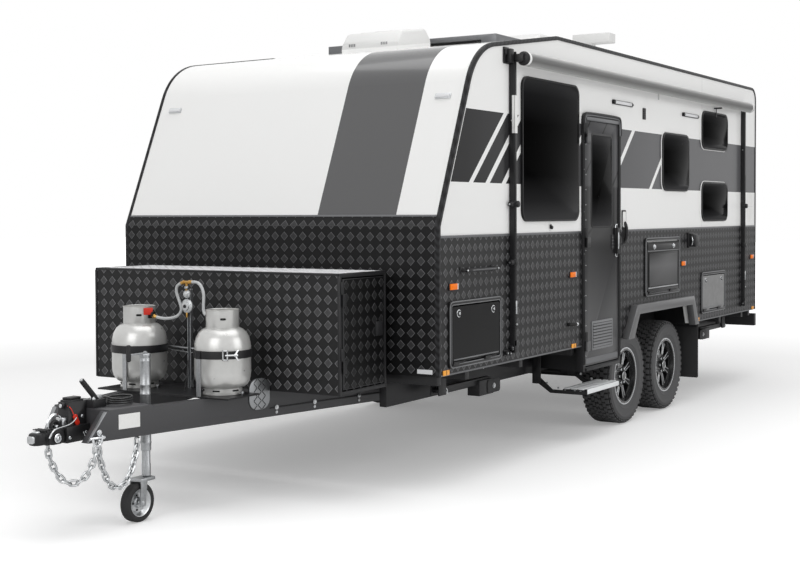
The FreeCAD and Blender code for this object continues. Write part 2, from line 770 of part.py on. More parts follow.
skylight_dome = join("skylight_dome", [plate(
    "skylight_block", "XZ", skylight_outline, -skylight_half, skylight_half * 2)
    ] + skylight_knuckles("lid", 0, lid_pin_x, lid_pin_z - hinge_pin / 2, lid_pin_z + hinge_pin / 2))
skylight_hollow = ramp_block(
    "skylight_hollow", skylight_front + skylight_frame, skylight_rear - skylight_frame,
    -wall, skylight_low + skylight_rise / 3, skylight_half - skylight_frame)
sub_part("skylight_lid", cut("skylight_shape", skylight_dome, [skylight_hollow]))

# Edge mouldings along the side profile
moulding_width = size("moulding_width", 22, "edge moulding along the profile")
moulding_depth = size("moulding_depth", 6, "how far the edge moulding stands out")
moulding_blank = profile_body("moulding_blank", as_size(0), skirt_bottom, half_width,
                              moulding_depth)
moulding_space = profile_body("moulding_space", moulding_width, skirt_bottom - overrun,
                              half_width - overrun, overrun * 2)
moulding = cut("moulding", moulding_blank, [moulding_space])
sub_part("edge_mouldings", both_sides("all_mouldings", moulding))

# Checkerplate cladding on the lower body
cladding_thickness = size("cladding_thickness", 3, "checkerplate sheet")
cladding_top = size("cladding_top", 1510, "upper edge of the side cladding")
cladding_rise = size("cladding_rise", 60, "how far the front sheet climbs above the knee")
side_sheet = box("side_sheet", (x_rear + moulding_width, half_width, skirt_bottom),
                 (front_face - moulding_width, half_width + cladding_thickness, cladding_top))


def sheet_cutter(name, opening):
    return side_cutter(name, opening, as_size(0), hatch_radius, half_width - overrun, overrun * 2)


flare_cutter = plate("flare_cutter", "XZ", arch_outline(0, flare_bottom),
                     half_width - overrun, overrun * 2)
door_sheet_cutter = box("door_sheet_cutter", (at(door_rear), half_width - overrun, side_low),
                        (at(door_front), side_zone_out, zone_top))
boot_sheet = sheet_cutter("boot_sheet", boot_opening)
service_sheet = sheet_cutter("service_sheet", service_opening)
table_sheet = sheet_cutter("table_sheet", table_opening)
near_sheet = cut("near_sheet", side_sheet,
                 [flare_cutter, door_sheet_cutter, boot_sheet, service_sheet, table_sheet])
off_sheet = mirrored("off_sheet", cut(
    "off_sheet_shape", side_sheet, [flare_cutter, boot_sheet, service_sheet]))
front_sheet = plate("front_sheet", "XZ", [
    (front_face, skirt_bottom),
    (front_face + cladding_thickness, skirt_bottom),
    (front_face + cladding_thickness, knee_height),
    (front_face + cladding_thickness - cladding_rise * tangent(slope_angle),
     knee_height + cladding_rise),
    (front_face - cladding_rise * tangent(slope_angle), knee_height + cladding_rise),
    (front_face, knee_height),
], -half_width, half_width * 2)
rear_sheet = box("rear_sheet", (x_rear - cladding_thickness, -half_width, skirt_bottom),
                 (x_rear, half_width, cladding_top))
sub_part("cladding", group("all_cladding", [near_sheet, off_sheet, front_sheet, rear_sheet]))

# Arch flares with the mudflaps behind them
flap_station = size("mudflap_station", 4318, "front face of the mudflaps")
flap_thickness = size("mudflap_thickness", 8, "rubber mudflap")
flap_low = size("mudflap_low", 215, "lower edge of the mudflaps")
flap_in = size("mudflap_inner", 930, "middle plane to a mudflap's inner edge")
flap_out = size("mudflap_outer", 1262, "middle plane to a mudflap's outer edge")
flare_blank = plate("flare_blank", "XZ", arch_outline(0, flare_bottom), half_width, flare_depth)
flare_space = plate(
    "flare_space", "XZ",
    [(x, flare_bottom - overrun) if z is flare_bottom else (x, z)
     for x, z in arch_outline(1, flare_bottom)],
    half_width - overrun, flare_depth + overrun * 2)
flare = cut("flare", flare_blank, [flare_space])
mudflap = box("mudflap", (at(flap_station) - flap_thickness, flap_in, flap_low),
              (at(flap_station), flap_out, skirt_bottom))
sub_part("arch_flares", both_sides("all_flares", group("flare_set", [flare, mudflap])))

# Chassis rails and their rear cross bar
near_rail = box("near_rail", (at(rail_tail), rail_outer - rail_width, rail_bottom),
                (at(rail_front), rail_outer, rail_top))
sub_part("chassis_rails", both_sides("both_rails", near_rail))

steady_front_pivot = size("front_steady_station", 450, "pivots of the front corner steadies")
steady_rear_pivot = body_length - size(
    "rear_steady", 235, "rear wall to the pivots of the rear corner steadies")
steady_side = size("steady_side", 950, "middle plane to a corner steady")
steady_pivot_z = size("steady_pivot_height", 545, "height of the steadies' pivots")
steady_bore = size("steady_pin_radius", 9, "steady pivot pin")
bracket_plate = size("bracket_plate", 8, "steady and step bracket plates")
bracket_gap = size("bracket_gap", 5, "between a moving piece and its bracket")
steady_width = size("steady_leg_width", 40, "square leg of a corner steady")
bracket_drop = size("bracket_drop", 30, "how far a bracket reaches below its pin")
bracket_half = size("bracket_half_length", 45, "half length of a bracket plate")

member_stations = [
    size("bearer_one", 65, "front floor bearer"),
    size("bearer_two", 400, "floor bearer over the front steadies"),
    size("bearer_three", 1120, "floor bearer"),
    size("bearer_four", 1930, "floor bearer in front of the door"),
    size("bearer_five", 4440, "floor bearer behind the wheels"),
    size("bearer_six", 5150, "floor bearer"),
    body_length - size("bearer_seven", 285, "rear wall to the bearer over the rear steadies"),
    body_length - size("bearer_eight", 65, "rear wall to the rear floor bearer"),
]
short_stations = [
    size("short_bearer_one", 2660, "bearer between the rails"),
    size("short_bearer_two", 3300, "bearer between the rails"),
    size("short_bearer_three", 3870, "bearer between the rails"),
]
member_items = []
for number, station in enumerate(member_stations):
    member_items.append(box("bearer_%d" % number, (at(station) - member_width, -member_reach, rail_top),
                            (at(station), member_reach, skirt_bottom)))
for number, station in enumerate(short_stations):
    member_items.append(box("short_bearer_%d" % number,
                            (at(station) - member_width, -rail_outer, rail_top),
                            (at(station), rail_outer, skirt_bottom)))
member_items.append(box("rear_end_member", (at(rail_tail), -rail_outer + rail_width, rail_bottom),
                        (at(rail_tail) + rail_width, rail_outer - rail_width, rail_top)))


def steady_bracket(name, station, pin_station):
    """Two plates and the pin that carry one corner steady below a bearer."""
    inner = steady_side - steady_width / 2 - bracket_gap - bracket_plate
    outer = steady_side + steady_width / 2 + bracket_gap
    x_low = at(pin_station) - bracket_half
    x_high = at(pin_station) + bracket_half
    z_low = steady_pivot_z - bracket_drop
    plates = []
    for label, start in (("inner", inner), ("outer", outer)):
        plates.append(box("%s_%s" % (name, label), (x_low, start, z_low),
                          (x_high, start + bracket_plate, rail_top)))
    pin = rod(name + "_pin", (at(pin_station), inner, steady_pivot_z), "Y", steady_bore,
              outer + bracket_plate - inner)
    return join(name, plates + [pin])


for name, pivot in (("front_bracket", steady_front_pivot), ("rear_bracket", steady_rear_pivot)):
    bracket = steady_bracket(name, pivot, pivot)
    member_items += [bracket, mirrored(name + "_off", bracket)]

# Folding step below the door
step_front = size("step_front_station", 1970, "front end of the tread")
step_rear = size("step_rear_station", 2555, "rear end of the tread")
step_inner = size("step_inner", 1085, "middle plane to the tread's inner edge")
step_outer = size("step_outer", 1270, "middle plane to the tread's outer edge")
step_top = size("step_top", 383, "top of the tread")
step_thickness = size("step_thickness", 26, "tread")
step_pivot_y = size("step_pivot_side", 885, "middle plane to the step's pivots")
step_pivot_z = size("step_pivot_height", 445, "height of the step's pivots")
arm_thickness = size("step_arm_thickness", 8, "step side arms")
arm_width = size("step_arm_width", 34, "step side arms")
step_pin = size("step_pin_radius", 8, "step pivot pins")
arm_bend_y = size("step_arm_bend", 1000, "where a side arm bends to level")

arm_low = step_top - arm_width
arm_outline = [
    (step_pivot_y - arm_width / 2, step_pivot_z + arm_width / 2),
    (step_pivot_y - arm_width / 2, step_pivot_z - arm_width / 2),
    (arm_bend_y - arm_width / 3, arm_low),
    (step_outer - bracket_plate, arm_low),
    (step_outer - bracket_plate, step_top - bracket_plate),
    (arm_bend_y + arm_width / 4, step_top - bracket_plate),
    (step_pivot_y + arm_width / 2, step_pivot_z + arm_width / 2),
]


def step_arm(name, start):
    """One side arm with the bore of its pivot; start is its lower place along the caravan."""
    blank = plate(name + "_blank", "YZ", arm_outline, start, arm_thickness)
    bore = rod(name + "_bore", (start - overrun, step_pivot_y, step_pivot_z), "X",
               step_pin + running_clearance, arm_thickness + overrun * 2)
    return cut(name, blank, [bore])


front_arm_x = at(step_front)
rear_arm_x = at(step_rear) - arm_thickness
tread = box("tread", (at(step_rear), step_inner, step_top - step_thickness),
            (at(step_front), step_outer, step_top))
sub_part("step_tread", join("step_shape", [
    tread, step_arm("front_arm", front_arm_x), step_arm("rear_arm", rear_arm_x)]))


def step_bracket(name, arm_x, plate_x, high):
    """A plate beside a side arm, with the pin that the arm turns on."""
    plate_item = box(name + "_plate",
                     (plate_x, step_pivot_y - arm_width, step_pivot_z - arm_width),
                     (plate_x + bracket_plate, step_pivot_y + arm_width, high))
    low_x = arm_x if plate_x.value > arm_x.value else plate_x
    length = bracket_plate + bracket_gap + arm_thickness
    pin = rod(name + "_pin", (low_x, step_pivot_y, step_pivot_z), "X", step_pin, length)
    return join(name, [plate_item, pin])


member_items.append(step_bracket(
    "front_step_bracket", front_arm_x, front_arm_x + arm_thickness + bracket_gap, rail_top))
member_items.append(step_bracket(
    "rear_step_bracket", rear_arm_x, rear_arm_x + arm_thickness + bracket_gap, well_bottom))
sub_part("chassis_members", group("all_members", member_items))


# Corner steadies, folded up
steady_length = size("steady_length", 640, "pivot to the shoe's far end")
shoe_length = size("steady_shoe_length", 190, "steady shoe")
shoe_width = size("steady_shoe_width", 90, "steady shoe")
shoe_drop = size("steady_shoe_drop", 90, "shoe's lower edge below the pivot")


def steady(name, pivot, direction):
    """A corner steady that runs from its pivot along direction, plus one forward."""
    eye = rod(name + "_eye", (at(pivot), steady_side - steady_width / 2, steady_pivot_z), "Y",
              steady_width / 2, steady_width)
    ends = [at(pivot), at(pivot) + steady_length * direction]
    shoe_ends = [ends[1] - shoe_length * direction, ends[1]]
    if direction < 0:
        ends.reverse()
        shoe_ends.reverse()
    leg = box(name + "_leg",
              (ends[0], steady_side - steady_width / 2, steady_pivot_z - steady_width / 2),
              (ends[1], steady_side + steady_width / 2, steady_pivot_z + steady_width / 2))
    shoe = box(name + "_shoe",
               (shoe_ends[0], steady_side - shoe_width / 2, steady_pivot_z - shoe_drop),
               (shoe_ends[1], steady_side + shoe_width / 2, steady_pivot_z + steady_width / 4))
    bore = rod(name + "_bore",
               (at(pivot), steady_side - steady_width, steady_pivot_z), "Y",
               steady_bore + running_clearance, steady_width * 2)
    return cut(name, join(name + "_blank", [eye, leg, shoe]), [bore])


sub_part("steady_front_near", steady("front_steady", steady_front_pivot, -1))
sub_part("steady_front_off", mirrored("front_steady_off", steady(
    "front_steady_twin", steady_front_pivot, -1)))
sub_part("steady_rear_near", steady("rear_steady", steady_rear_pivot, 1))
sub_part("steady_rear_off", mirrored("rear_steady_off", steady(
    "rear_steady_twin", steady_rear_pivot, 1)))

# Drawbar: two rails that meet the main rails, a front plate and a top plate
spread = tangent(drawbar_angle)
drawbar_wall = rail_width / cosine(drawbar_angle)
drawbar_rear = drawbar_front - (rail_outer - rail_width - drawbar_spread) / spread


def drawbar_outer(reach):
    """Middle plane to the drawbar's outer face at a reach."""
    return drawbar_spread + (drawbar_front - reach) * spread


near_drawbar_blank = plate("near_drawbar_blank", "XY", [
    (ahead(drawbar_front), drawbar_spread),
    (ahead(drawbar_front), drawbar_spread - drawbar_wall),
    (ahead(drawbar_rear - drawbar_wall / spread), rail_outer - rail_width),
    (ahead(drawbar_rear), rail_outer - rail_width),
], rail_bottom, rail_height)
slant_cutter = plate("slant_cutter", "XZ", [
    (ahead(drawbar_front), rail_bottom),
    (ahead(drawbar_front) + overrun, rail_bottom),
    (ahead(drawbar_front) + overrun, rail_top + proud),
    (ahead(drawbar_front - drawbar_slant), rail_top + proud),
], -half_width, half_width * 2)
near_drawbar = cut("near_drawbar", near_drawbar_blank, [slant_cutter])
off_drawbar = mirrored("off_drawbar", near_drawbar)
top_gusset = plate("top_gusset", "XY", [
    (ahead(gusset_front), drawbar_outer(gusset_front)),
    (ahead(gusset_front), -drawbar_outer(gusset_front)),
    (ahead(gusset_rear), -drawbar_outer(gusset_rear)),
    (ahead(gusset_rear), drawbar_outer(gusset_rear)),
], rail_top, gusset_thickness)
nose_member = box("nose_member",
                  (ahead(gusset_front) - rail_width * 2, -drawbar_spread, rail_bottom),
                  (ahead(gusset_front), drawbar_spread, rail_top))
box_rear_reach = size("toolbox_rear_reach", 96, "toolbox's rear face ahead of the front wall")
box_front_reach = size("toolbox_front_reach", 568, "toolbox's front face ahead of the wall")
cross_half = drawbar_outer(box_rear_reach) - drawbar_wall
cross_tube = box("cross_tube",
                 (ahead(box_rear_reach), -cross_half, rail_bottom + rail_width),
                 (ahead(box_rear_reach) + rail_width, cross_half, rail_top))
pad_reach = size("step_pad_reach", 646, "oval step pad on the near drawbar rail")
pad_half = size("step_pad_half", 75, "half length of the step pad")
pad_height = size("step_pad_height", 180, "step pad")
pad_low = size("step_pad_low", 530, "lower edge of the step pad")
pad_thickness = size("step_pad_thickness", 9, "step pad")
step_pad = group("step_pad", [rounded_rectangle(
    "step_pad_plate", "XZ", (-pad_half, -pad_height / 2), (pad_half, pad_height / 2),
    -proud, pad_thickness, pad_half * 0.8)])
step_pad.Placement = Placement(Vector(0, 0, 0), Rotation(Vector(0, 0, -1), 1))
bind(step_pad, "Placement.Rotation.Angle", drawbar_angle)
place(step_pad, (ahead(pad_reach), drawbar_outer(pad_reach), pad_low + pad_height / 2))
sub_part("drawbar", join("drawbar_shape", [
    near_drawbar, off_drawbar, top_gusset, nose_member, cross_tube, step_pad]))

# Coupling ahead of the drawbar, with its handbrake
coupling_half = size("coupling_half_width", 62, "half width of the coupling body")
coupling_low = size("coupling_low", 478, "underside of the coupling")
coupling_high = size("coupling_high", 560, "top of the coupling body")
coupling_neck = size("coupling_neck_reach", 1760, "where the coupling's head starts")
coupling_tip = size("coupling_tip_reach", 1955, "coupling's front end")
socket_reach = size("socket_reach", 1890, "centre of the ball socket")
socket_radius = size("socket_radius", 25.5, "ball socket for a 50 mm ball")
socket_depth = size("socket_depth", 44, "depth of the socket from below")
brake_reach = size("brake_lever_reach", 1525, "foot of the handbrake lever")
brake_length = size("brake_lever_length", 185, "handbrake lever")
brake_angle = size("brake_lever_angle", 43, "degrees of the lever from upright")
lever_radius = size("brake_lever_radius", 14, "handbrake grip")
coupling_body = box("coupling_body", (ahead(gusset_front), -coupling_half, coupling_low),
                    (ahead(coupling_neck), coupling_half, coupling_high))
tower_half = coupling_half * 0.6
coupling_tower = box("coupling_tower",
                     (ahead(gusset_front), -tower_half, coupling_high - proud),
                     (ahead(gusset_front) + coupling_half * 2, tower_half, rail_top + rail_width))
head_outline = [
    (ahead(coupling_neck) - proud, -coupling_half * 0.75),
    (ahead(socket_reach), -coupling_half),
    (ahead(coupling_tip), -coupling_half * 0.5),
    (ahead(coupling_tip), coupling_half * 0.5),
    (ahead(socket_reach), coupling_half),
    (ahead(coupling_neck) - proud, coupling_half * 0.75),
]
coupling_head = plate("coupling_head", "XY", head_outline, coupling_low,
                      coupling_high - coupling_low)
socket = rod("socket", (ahead(socket_reach), as_size(0), coupling_low - proud), "Z",
             socket_radius, socket_depth + proud)
lever_holder = group("lever_holder", [rod(
    "lever_rod", (0, 0, 0), "Z", lever_radius, brake_length)])
lever_holder.Placement = Placement(Vector(0, 0, 0), Rotation(Vector(0, 1, 0), 1))
bind(lever_holder, "Placement.Rotation.Angle", brake_angle)
lever_foot_y = drawbar_spread / 3
place(lever_holder, (ahead(brake_reach), lever_foot_y, rail_top + gusset_thickness + lever_radius))
brake_block = box("brake_block",
                  (ahead(brake_reach) - lever_radius, lever_foot_y - coupling_half / 2,
                   rail_top + gusset_thickness),
                  (ahead(gusset_front), lever_foot_y + coupling_half / 2,
                   rail_top + rail_width))
brake_link = box("brake_link",
                 (ahead(gusset_front) - proud, 0, rail_top + gusset_thickness),
                 (ahead(gusset_front) + coupling_half, tower_half, rail_top + rail_width / 2))
sub_part("coupling", cut("coupling_shape", join("coupling_joined", [
    coupling_body, coupling_tower, coupling_head, lever_holder, brake_block, brake_link]), [socket]))

# Running gear: beam axles, leaf springs and their hangers
beam_width = size("axle_beam", 50, "square axle beam")
beam_half = size("axle_beam_half", 900, "half length of an axle beam")
spindle_reach = size("spindle_reach", 1085, "middle plane to a spindle's end")
backing_radius = size("backing_plate_radius", 140, "brake backing plate")
backing_thickness = size("backing_plate_thickness", 10, "brake backing plate")
spring_side = size("spring_side", 795, "middle plane to the leaf springs")
spring_width = size("spring_width", 60, "leaf springs")
spring_half = size("spring_half_length", 365, "axle to a spring's eye")
spring_pack = size("spring_pack", 34, "leaf spring pack at the axle")
spring_leaf = size("spring_leaf", 12, "main leaf at its ends")
spring_camber = size("spring_camber", 38, "height of the spring's ends above its middle")
hanger_width = size("hanger_width", 50, "spring hangers")


def running_gear(name, station):
    middle_z = wheel_radius
    beam = box(name + "_beam", (at(station) - beam_width / 2, -beam_half, middle_z - beam_width / 2),
               (at(station) + beam_width / 2, beam_half, middle_z + beam_width / 2))
    spindle = rod(name + "_spindle", (at(station), -spindle_reach, middle_z), "Y",
                  spindle_radius, spindle_reach * 2)
    pieces = [beam, spindle]
    for label, start in (("near", beam_half), ("off", -beam_half - backing_thickness)):
        pieces.append(rod("%s_backing_%s" % (name, label), (at(station), start, middle_z), "Y",
                          backing_radius, backing_thickness))
    base = middle_z + beam_width / 2
    outline = [
        (at(station) - spring_half, base + spring_camber),
        (at(station) - spring_half / 2, base + spring_camber * 0.25),
        (at(station), base),
        (at(station) + spring_half / 2, base + spring_camber * 0.25),
        (at(station) + spring_half, base + spring_camber),
        (at(station) + spring_half, base + spring_camber + spring_leaf),
        (at(station), base + spring_pack),
        (at(station) - spring_half, base + spring_camber + spring_leaf),
    ]
    spring = plate(name + "_spring", "XZ", outline, spring_side - spring_width / 2, spring_width)
    hangers = []
    for label, side in (("front", 1), ("rear", -1)):
        centre = at(station) + (spring_half - hanger_width / 2) * side
        hangers.append(box("%s_hanger_%s" % (name, label),
                           (centre - hanger_width / 2, spring_side - spring_width / 2,
                            base + spring_camber * 0.5),
                           (centre + hanger_width / 2, rail_outer, rail_bottom)))
    near_set = join(name + "_near_set", [spring] + hangers)
    return join(name, pieces + [near_set, mirrored(name + "_off_set", near_set)])


sub_part("running_gear", group("all_running_gear", [
    running_gear("front_gear", front_axle), running_gear("rear_gear", rear_axle)]))

# Tyres and rims
flange_height = size("rim_flange_height", 14, "rim lip above the bead seat")
flange_width = size("rim_flange_width", 10, "rim lip beside the bead")
barrel_thickness = size("rim_barrel_thickness", 9, "rim barrel")
disc_place = size("rim_disc_place", 34, "spoke disc outward from the wheel's middle")
disc_thickness = size("rim_disc_thickness", 26, "spoke disc")
hub_radius = size("hub_radius", 75, "rim's centre")
drum_radius = size("drum_radius", 150, "brake drum")
drum_depth = size("drum_depth", 62, "brake drum")
cap_radius = size("hub_cap_radius", 34, "bearing cap")
cap_length = size("hub_cap_length", 30, "bearing cap beyond the disc")
window_inner = size("rim_window_inner", 88, "spoke windows' inner radius")
window_outer = size("rim_window_outer", 186, "spoke windows' outer radius")
window_inner_half = size("rim_window_inner_half", 12, "half width of a window near the hub")
window_outer_half = size("rim_window_outer_half", 46, "half width of a window near the lip")
spoke_count = 8


def tyre_outline():
    half = tyre_width / 2
    side = wheel_radius - rim_seat
    upper = [
        (rim_seat, half * 0.78),
        (rim_seat + flange_height + running_clearance, half * 0.78),
        (rim_seat + side * 0.2, half * 0.93),
        (rim_seat + side * 0.45, half),
        (rim_seat + side * 0.78, half * 0.97),
        (rim_seat + side * 0.95, half * 0.84),
        (wheel_radius, half * 0.68),
    ]
    lower = [(radius, -across) for radius, across in reversed(upper)]
    return upper + lower


def rim_outline():
    """Half section of the rim, its disc, hub and brake drum, outboard side positive."""
    half = tyre_width / 2 * 0.78
    barrel = rim_seat - barrel_thickness
    disc_in = disc_place
    disc_out = disc_place + disc_thickness
    drum_in = -half - drum_depth * 0.2
    bore = spindle_radius + running_clearance
    return [
        (bore, drum_in), (drum_radius, drum_in), (drum_radius, drum_in + drum_depth),
        (hub_radius, drum_in + drum_depth), (hub_radius, disc_in), (barrel, disc_in - barrel_thickness),
        (barrel, -half), (barrel, -half - flange_width),
        (rim_seat + flange_height, -half - flange_width), (rim_seat + flange_height, -half),
        (rim_seat, -half), (rim_seat, half), (rim_seat + flange_height, half),
        (rim_seat + flange_height, half + flange_width), (barrel, half + flange_width),
        (barrel, disc_out), (hub_radius, disc_out), (cap_radius, disc_out),
        (cap_radius, disc_out + cap_length), (0, disc_out + cap_length), (0, disc_in + barrel_thickness),
        (bore, disc_in + barrel_thickness),
    ]


def rim(name, centre, axis):
    body = turned(name, rim_outline(), centre, axis)
    sketch = body.newObject("Sketcher::SketchObject", name + "_window")
    sketch.AttachmentSupport = (origin_plane(body, "XY"), "")
    sketch.MapMode = "FlatFace"
    draw_outline(sketch, [
        (window_inner, -window_inner_half), (window_outer, -window_outer_half),
        (window_outer, window_outer_half), (window_inner, window_inner_half)])
    pocket = body.newObject("PartDesign::Pocket", name + "_pocket")
    pocket.Profile = sketch
    pocket.Reversed = True
    bind(pocket, "Length", disc_place + disc_thickness + cap_length)
    pattern = body.newObject("PartDesign::PolarPattern", name + "_windows")
    pattern.Originals = [pocket]
    pattern.Axis = (sketch, ["N_Axis"])
    pattern.Angle = 360
    pattern.Occurrences = spoke_count
    body.Tip = pattern
    return body


wheel_places = {
    "front_near": front_axle,
    "rear_near": rear_axle,
    "front_off": front_axle,
    "rear_off": rear_axle,
}
for corner, station in wheel_places.items():
    centre = (at(station), wheel_middle, wheel_radius)
    tyre_body = turned("tyre_body_" + corner, tyre_outline(), centre, "Y")
    rim_body = rim("rim_body_" + corner, centre, "Y")
    if corner.endswith("off"):
        tyre_body = mirrored("tyre_mirror_" + corner, tyre_body)
        rim_body = mirrored("rim_mirror_" + corner, rim_body)
    sub_part("tyre_" + corner, tyre_body)
    sub_part("rim_" + corner, rim_body)

# Rear bumper, spare wheel and its carrier
bumper_half = size("bumper_half_length", 1150, "half length of the rear bumper")
bumper_low = size("bumper_low", 510, "underside of the rear bumper")
bumper_height = size("bumper_height", 120, "rear bumper")
bumper_width = size("bumper_width", 60, "rear bumper")
carrier_half = size("carrier_half", 45, "half width of the spare wheel's post")
carrier_top = size("carrier_top", 1080, "top of the spare wheel's post")
carrier_station = body_length + size(
    "carrier_beyond", 15, "spare wheel's post beyond the rear wall")
carrier_depth = size("carrier_depth", 32, "spare wheel's post")
carrier_plate_thickness = size("carrier_plate_thickness", 12, "spare wheel carrier's foot")
spare_gap = size("spare_gap", 6, "spare wheel above the bumper")
carrier_plate_top = rail_top + carrier_plate_thickness
spare_z = carrier_plate_top + spare_gap + wheel_radius
spare_x = at(carrier_station + carrier_depth) - tyre_width / 2 - spare_gap
bumper = box("bumper", (at(rail_tail) - bumper_width, -bumper_half, bumper_low),
             (at(rail_tail), bumper_half, bumper_low + bumper_height))
carrier_plate = box("carrier_plate", (at(rail_tail) - bumper_width, -carrier_half * 4, rail_top),
                    (at(carrier_station), carrier_half * 4, carrier_plate_top))
carrier_post = box("carrier_post",
                   (at(carrier_station + carrier_depth), -carrier_half, carrier_plate_top - proud),
                   (at(carrier_station), carrier_half, carrier_top))
carrier_hub = rod("carrier_hub", (spare_x, as_size(0), spare_z), "X", cap_radius,
                  tyre_width / 2 + spare_gap + proud)
sub_part("rear_bumper", join("bumper_shape", [bumper, carrier_plate, carrier_post, carrier_hub]))

spare_outline = tyre_outline() + [
    (rim_seat, -tyre_width / 2 * 0.3), (cap_radius + running_clearance, -tyre_width / 2 * 0.3),
    (cap_radius + running_clearance, 0), (rim_seat, 0)]
sub_part("spare_wheel", turned("spare_body", spare_outline, (spare_x, as_size(0), spare_z), "X"))

# Entry door: frame, leaf with its hinge, and its glass
door_ring = size("door_frame_width", 30, "visible width of the door frame")
door_proud = size("door_frame_proud", 16, "how far the door frame stands out of the wall")
leaf_gap = size("door_gap", 8, "between the door leaf and its frame")
leaf_proud = size("door_leaf_proud", 12, "how far the leaf stands out of the wall")
leaf_depth = size("door_leaf_depth", 44, "thickness of the door leaf")
door_pin_ahead = size("door_pin_ahead", 8, "door hinge pin ahead of the leaf's front edge")
knuckle_radius = size("door_knuckle_radius", 8, "door hinge knuckles")
knuckle_length = size("door_knuckle_length", 70, "door hinge knuckles")
glass_front = size("door_glass_front", 2148, "front edge of the door's window")
glass_rear = size("door_glass_rear", 2508, "rear edge of the door's window")
glass_low = size("door_glass_low", 1545, "lower edge of the door's window")
glass_high = size("door_glass_high", 2205, "upper edge of the door's window")
glass_thickness = size("door_glass_thickness", 10, "door's window pane")
door_ring_outer = panel(
    "door_ring_outer", "XZ",
    rectangle((at(door_rear), door_bottom), (at(door_front), door_top)),
    wall_inside, wall + door_proud, [(door_radius, [2, 3])])
door_ring_light = panel(
    "door_ring_light", "XZ",
    rectangle((at(door_rear) + door_ring, door_bottom + door_ring),
              (at(door_front) - door_ring, door_top - door_ring)),
    wall_inside - overrun, wall + overrun * 2, [(door_radius - door_ring, [2, 3])])
leaf_inset = door_ring + leaf_gap
leaf_face = half_width + leaf_proud
leaf_front = at(door_front) - leaf_inset
leaf_rear = at(door_rear) + leaf_inset
leaf_low = door_bottom + leaf_inset
leaf_high = door_top - leaf_inset
leaf_blank = panel(
    "leaf_blank", "XZ", rectangle((leaf_rear, leaf_low), (leaf_front, leaf_high)),
    leaf_face - leaf_depth, leaf_depth, [(door_radius - leaf_inset / 2, [2, 3])])
door_glass_opening = (glass_front, glass_rear, glass_low, glass_high)
leaf_light = side_cutter("leaf_light", door_glass_opening, as_size(0), window_radius / 2,
                         leaf_face - leaf_depth - overrun, leaf_depth + overrun * 2)
door_pin_x = leaf_front + door_pin_ahead
door_pin_y = half_width + door_proud + knuckle_radius + bracket_gap
door_knuckle_shares = (0.08, 0.5, 0.92)
lug_reach = size("door_lug_reach", 20, "door frame's hinge lugs ahead of the pin")
leaf_hinges = []
frame_hinges = []
for number, share in enumerate(door_knuckle_shares):
    low = leaf_low + (leaf_high - leaf_low) * share - knuckle_length / 2
    high = low + knuckle_length
    leaf_hinges.append(rod("door_knuckle_%d" % number, (door_pin_x, door_pin_y, low), "Z",
                           knuckle_radius, knuckle_length))
    leaf_hinges.append(box(
        "door_strap_%d" % number, (leaf_front - knuckle_length, leaf_face - proud, low),
        (leaf_front - leaf_gap, door_pin_y, high)))
    leaf_hinges.append(box(
        "door_link_%d" % number,
        (leaf_front - leaf_gap * 2, door_pin_y - knuckle_radius / 2, low),
        (door_pin_x, door_pin_y + knuckle_radius / 2, high)))
    lug_low = high + running_clearance
    frame_hinges.append(rod("door_lug_%d" % number, (door_pin_x, door_pin_y, lug_low), "Z",
                            knuckle_radius, knuckle_length))
    frame_hinges.append(box(
        "door_lug_web_%d" % number,
        (door_pin_x + knuckle_radius / 2, half_width + door_proud - proud, lug_low),
        (door_pin_x + lug_reach, door_pin_y + knuckle_radius / 2, lug_low + knuckle_length)))
    frame_hinges.append(box(
        "door_lug_link_%d" % number,
        (door_pin_x, door_pin_y - knuckle_radius / 2, lug_low),
        (door_pin_x + knuckle_radius, door_pin_y + knuckle_radius / 2, lug_low + knuckle_length)))
handle_station = size("door_handle_station", 2590, "door handle")
handle_low = size("door_handle_low", 1335, "lower end of the door handle")
handle_high = size("door_handle_high", 1530, "upper end of the door handle")
handle_half = size("door_handle_half", 24, "half width of the door handle")
handle_depth = size("door_handle_depth", 22, "door handle")
door_handle = box("door_handle", (at(handle_station) - handle_half, leaf_face - proud, handle_low),
                  (at(handle_station) + handle_half, leaf_face + handle_depth, handle_high))
sub_part("entry_door", cut("leaf_shape", join(
    "leaf_joined", [leaf_blank] + leaf_hinges + [door_handle]), [leaf_light]))
sub_part("entry_door_frame", join("door_frame_shape", [
    cut("door_ring_shape", door_ring_outer, [door_ring_light])] + frame_hinges))
sub_part("entry_door_glass", side_cutter(
    "leaf_glass", door_glass_opening, as_size(0), window_radius / 2,
    leaf_face - glass_thickness, glass_thickness))

# Toolbox on the drawbar, with a door at each end
box_half = size("toolbox_half_width", 921, "half width of the toolbox")
box_top = size("toolbox_top", 1310, "top of the toolbox")
box_sheet = size("toolbox_sheet", 8, "toolbox walls")
box_lip = size("toolbox_lip", 22, "return edge around the toolbox's end doors")
door_sheet = size("toolbox_door_thickness", 14, "toolbox end doors")
box_rear_x = ahead(box_rear_reach)
box_front_x = ahead(box_front_reach)
box_bottom = rail_top
box_blank = box("box_blank", (box_rear_x, -box_half, box_bottom),
                (box_front_x, box_half, box_top))
box_hollow = box("box_hollow",
                 (box_rear_x + box_sheet, -box_half + box_sheet, box_bottom + box_sheet),
                 (box_front_x - box_sheet, box_half - box_sheet, box_top - box_sheet))
box_way = box("box_way", (box_rear_x + box_lip, -box_half - overrun, box_bottom + box_lip),
              (box_front_x - box_lip, box_half + overrun, box_top - box_lip))
toolbox_shell = cut("toolbox_shell", box_blank, [join("toolbox_space", [box_hollow, box_way])])
box_pin_ahead = size("toolbox_pin_ahead", 6, "toolbox hinge pin ahead of its door's front edge")
box_knuckle_shares = (0.15, 0.75)
box_door_low = box_bottom + box_lip + lid_gap
box_door_high = box_top - box_lip - lid_gap
box_door_front = box_front_x - box_lip - lid_gap
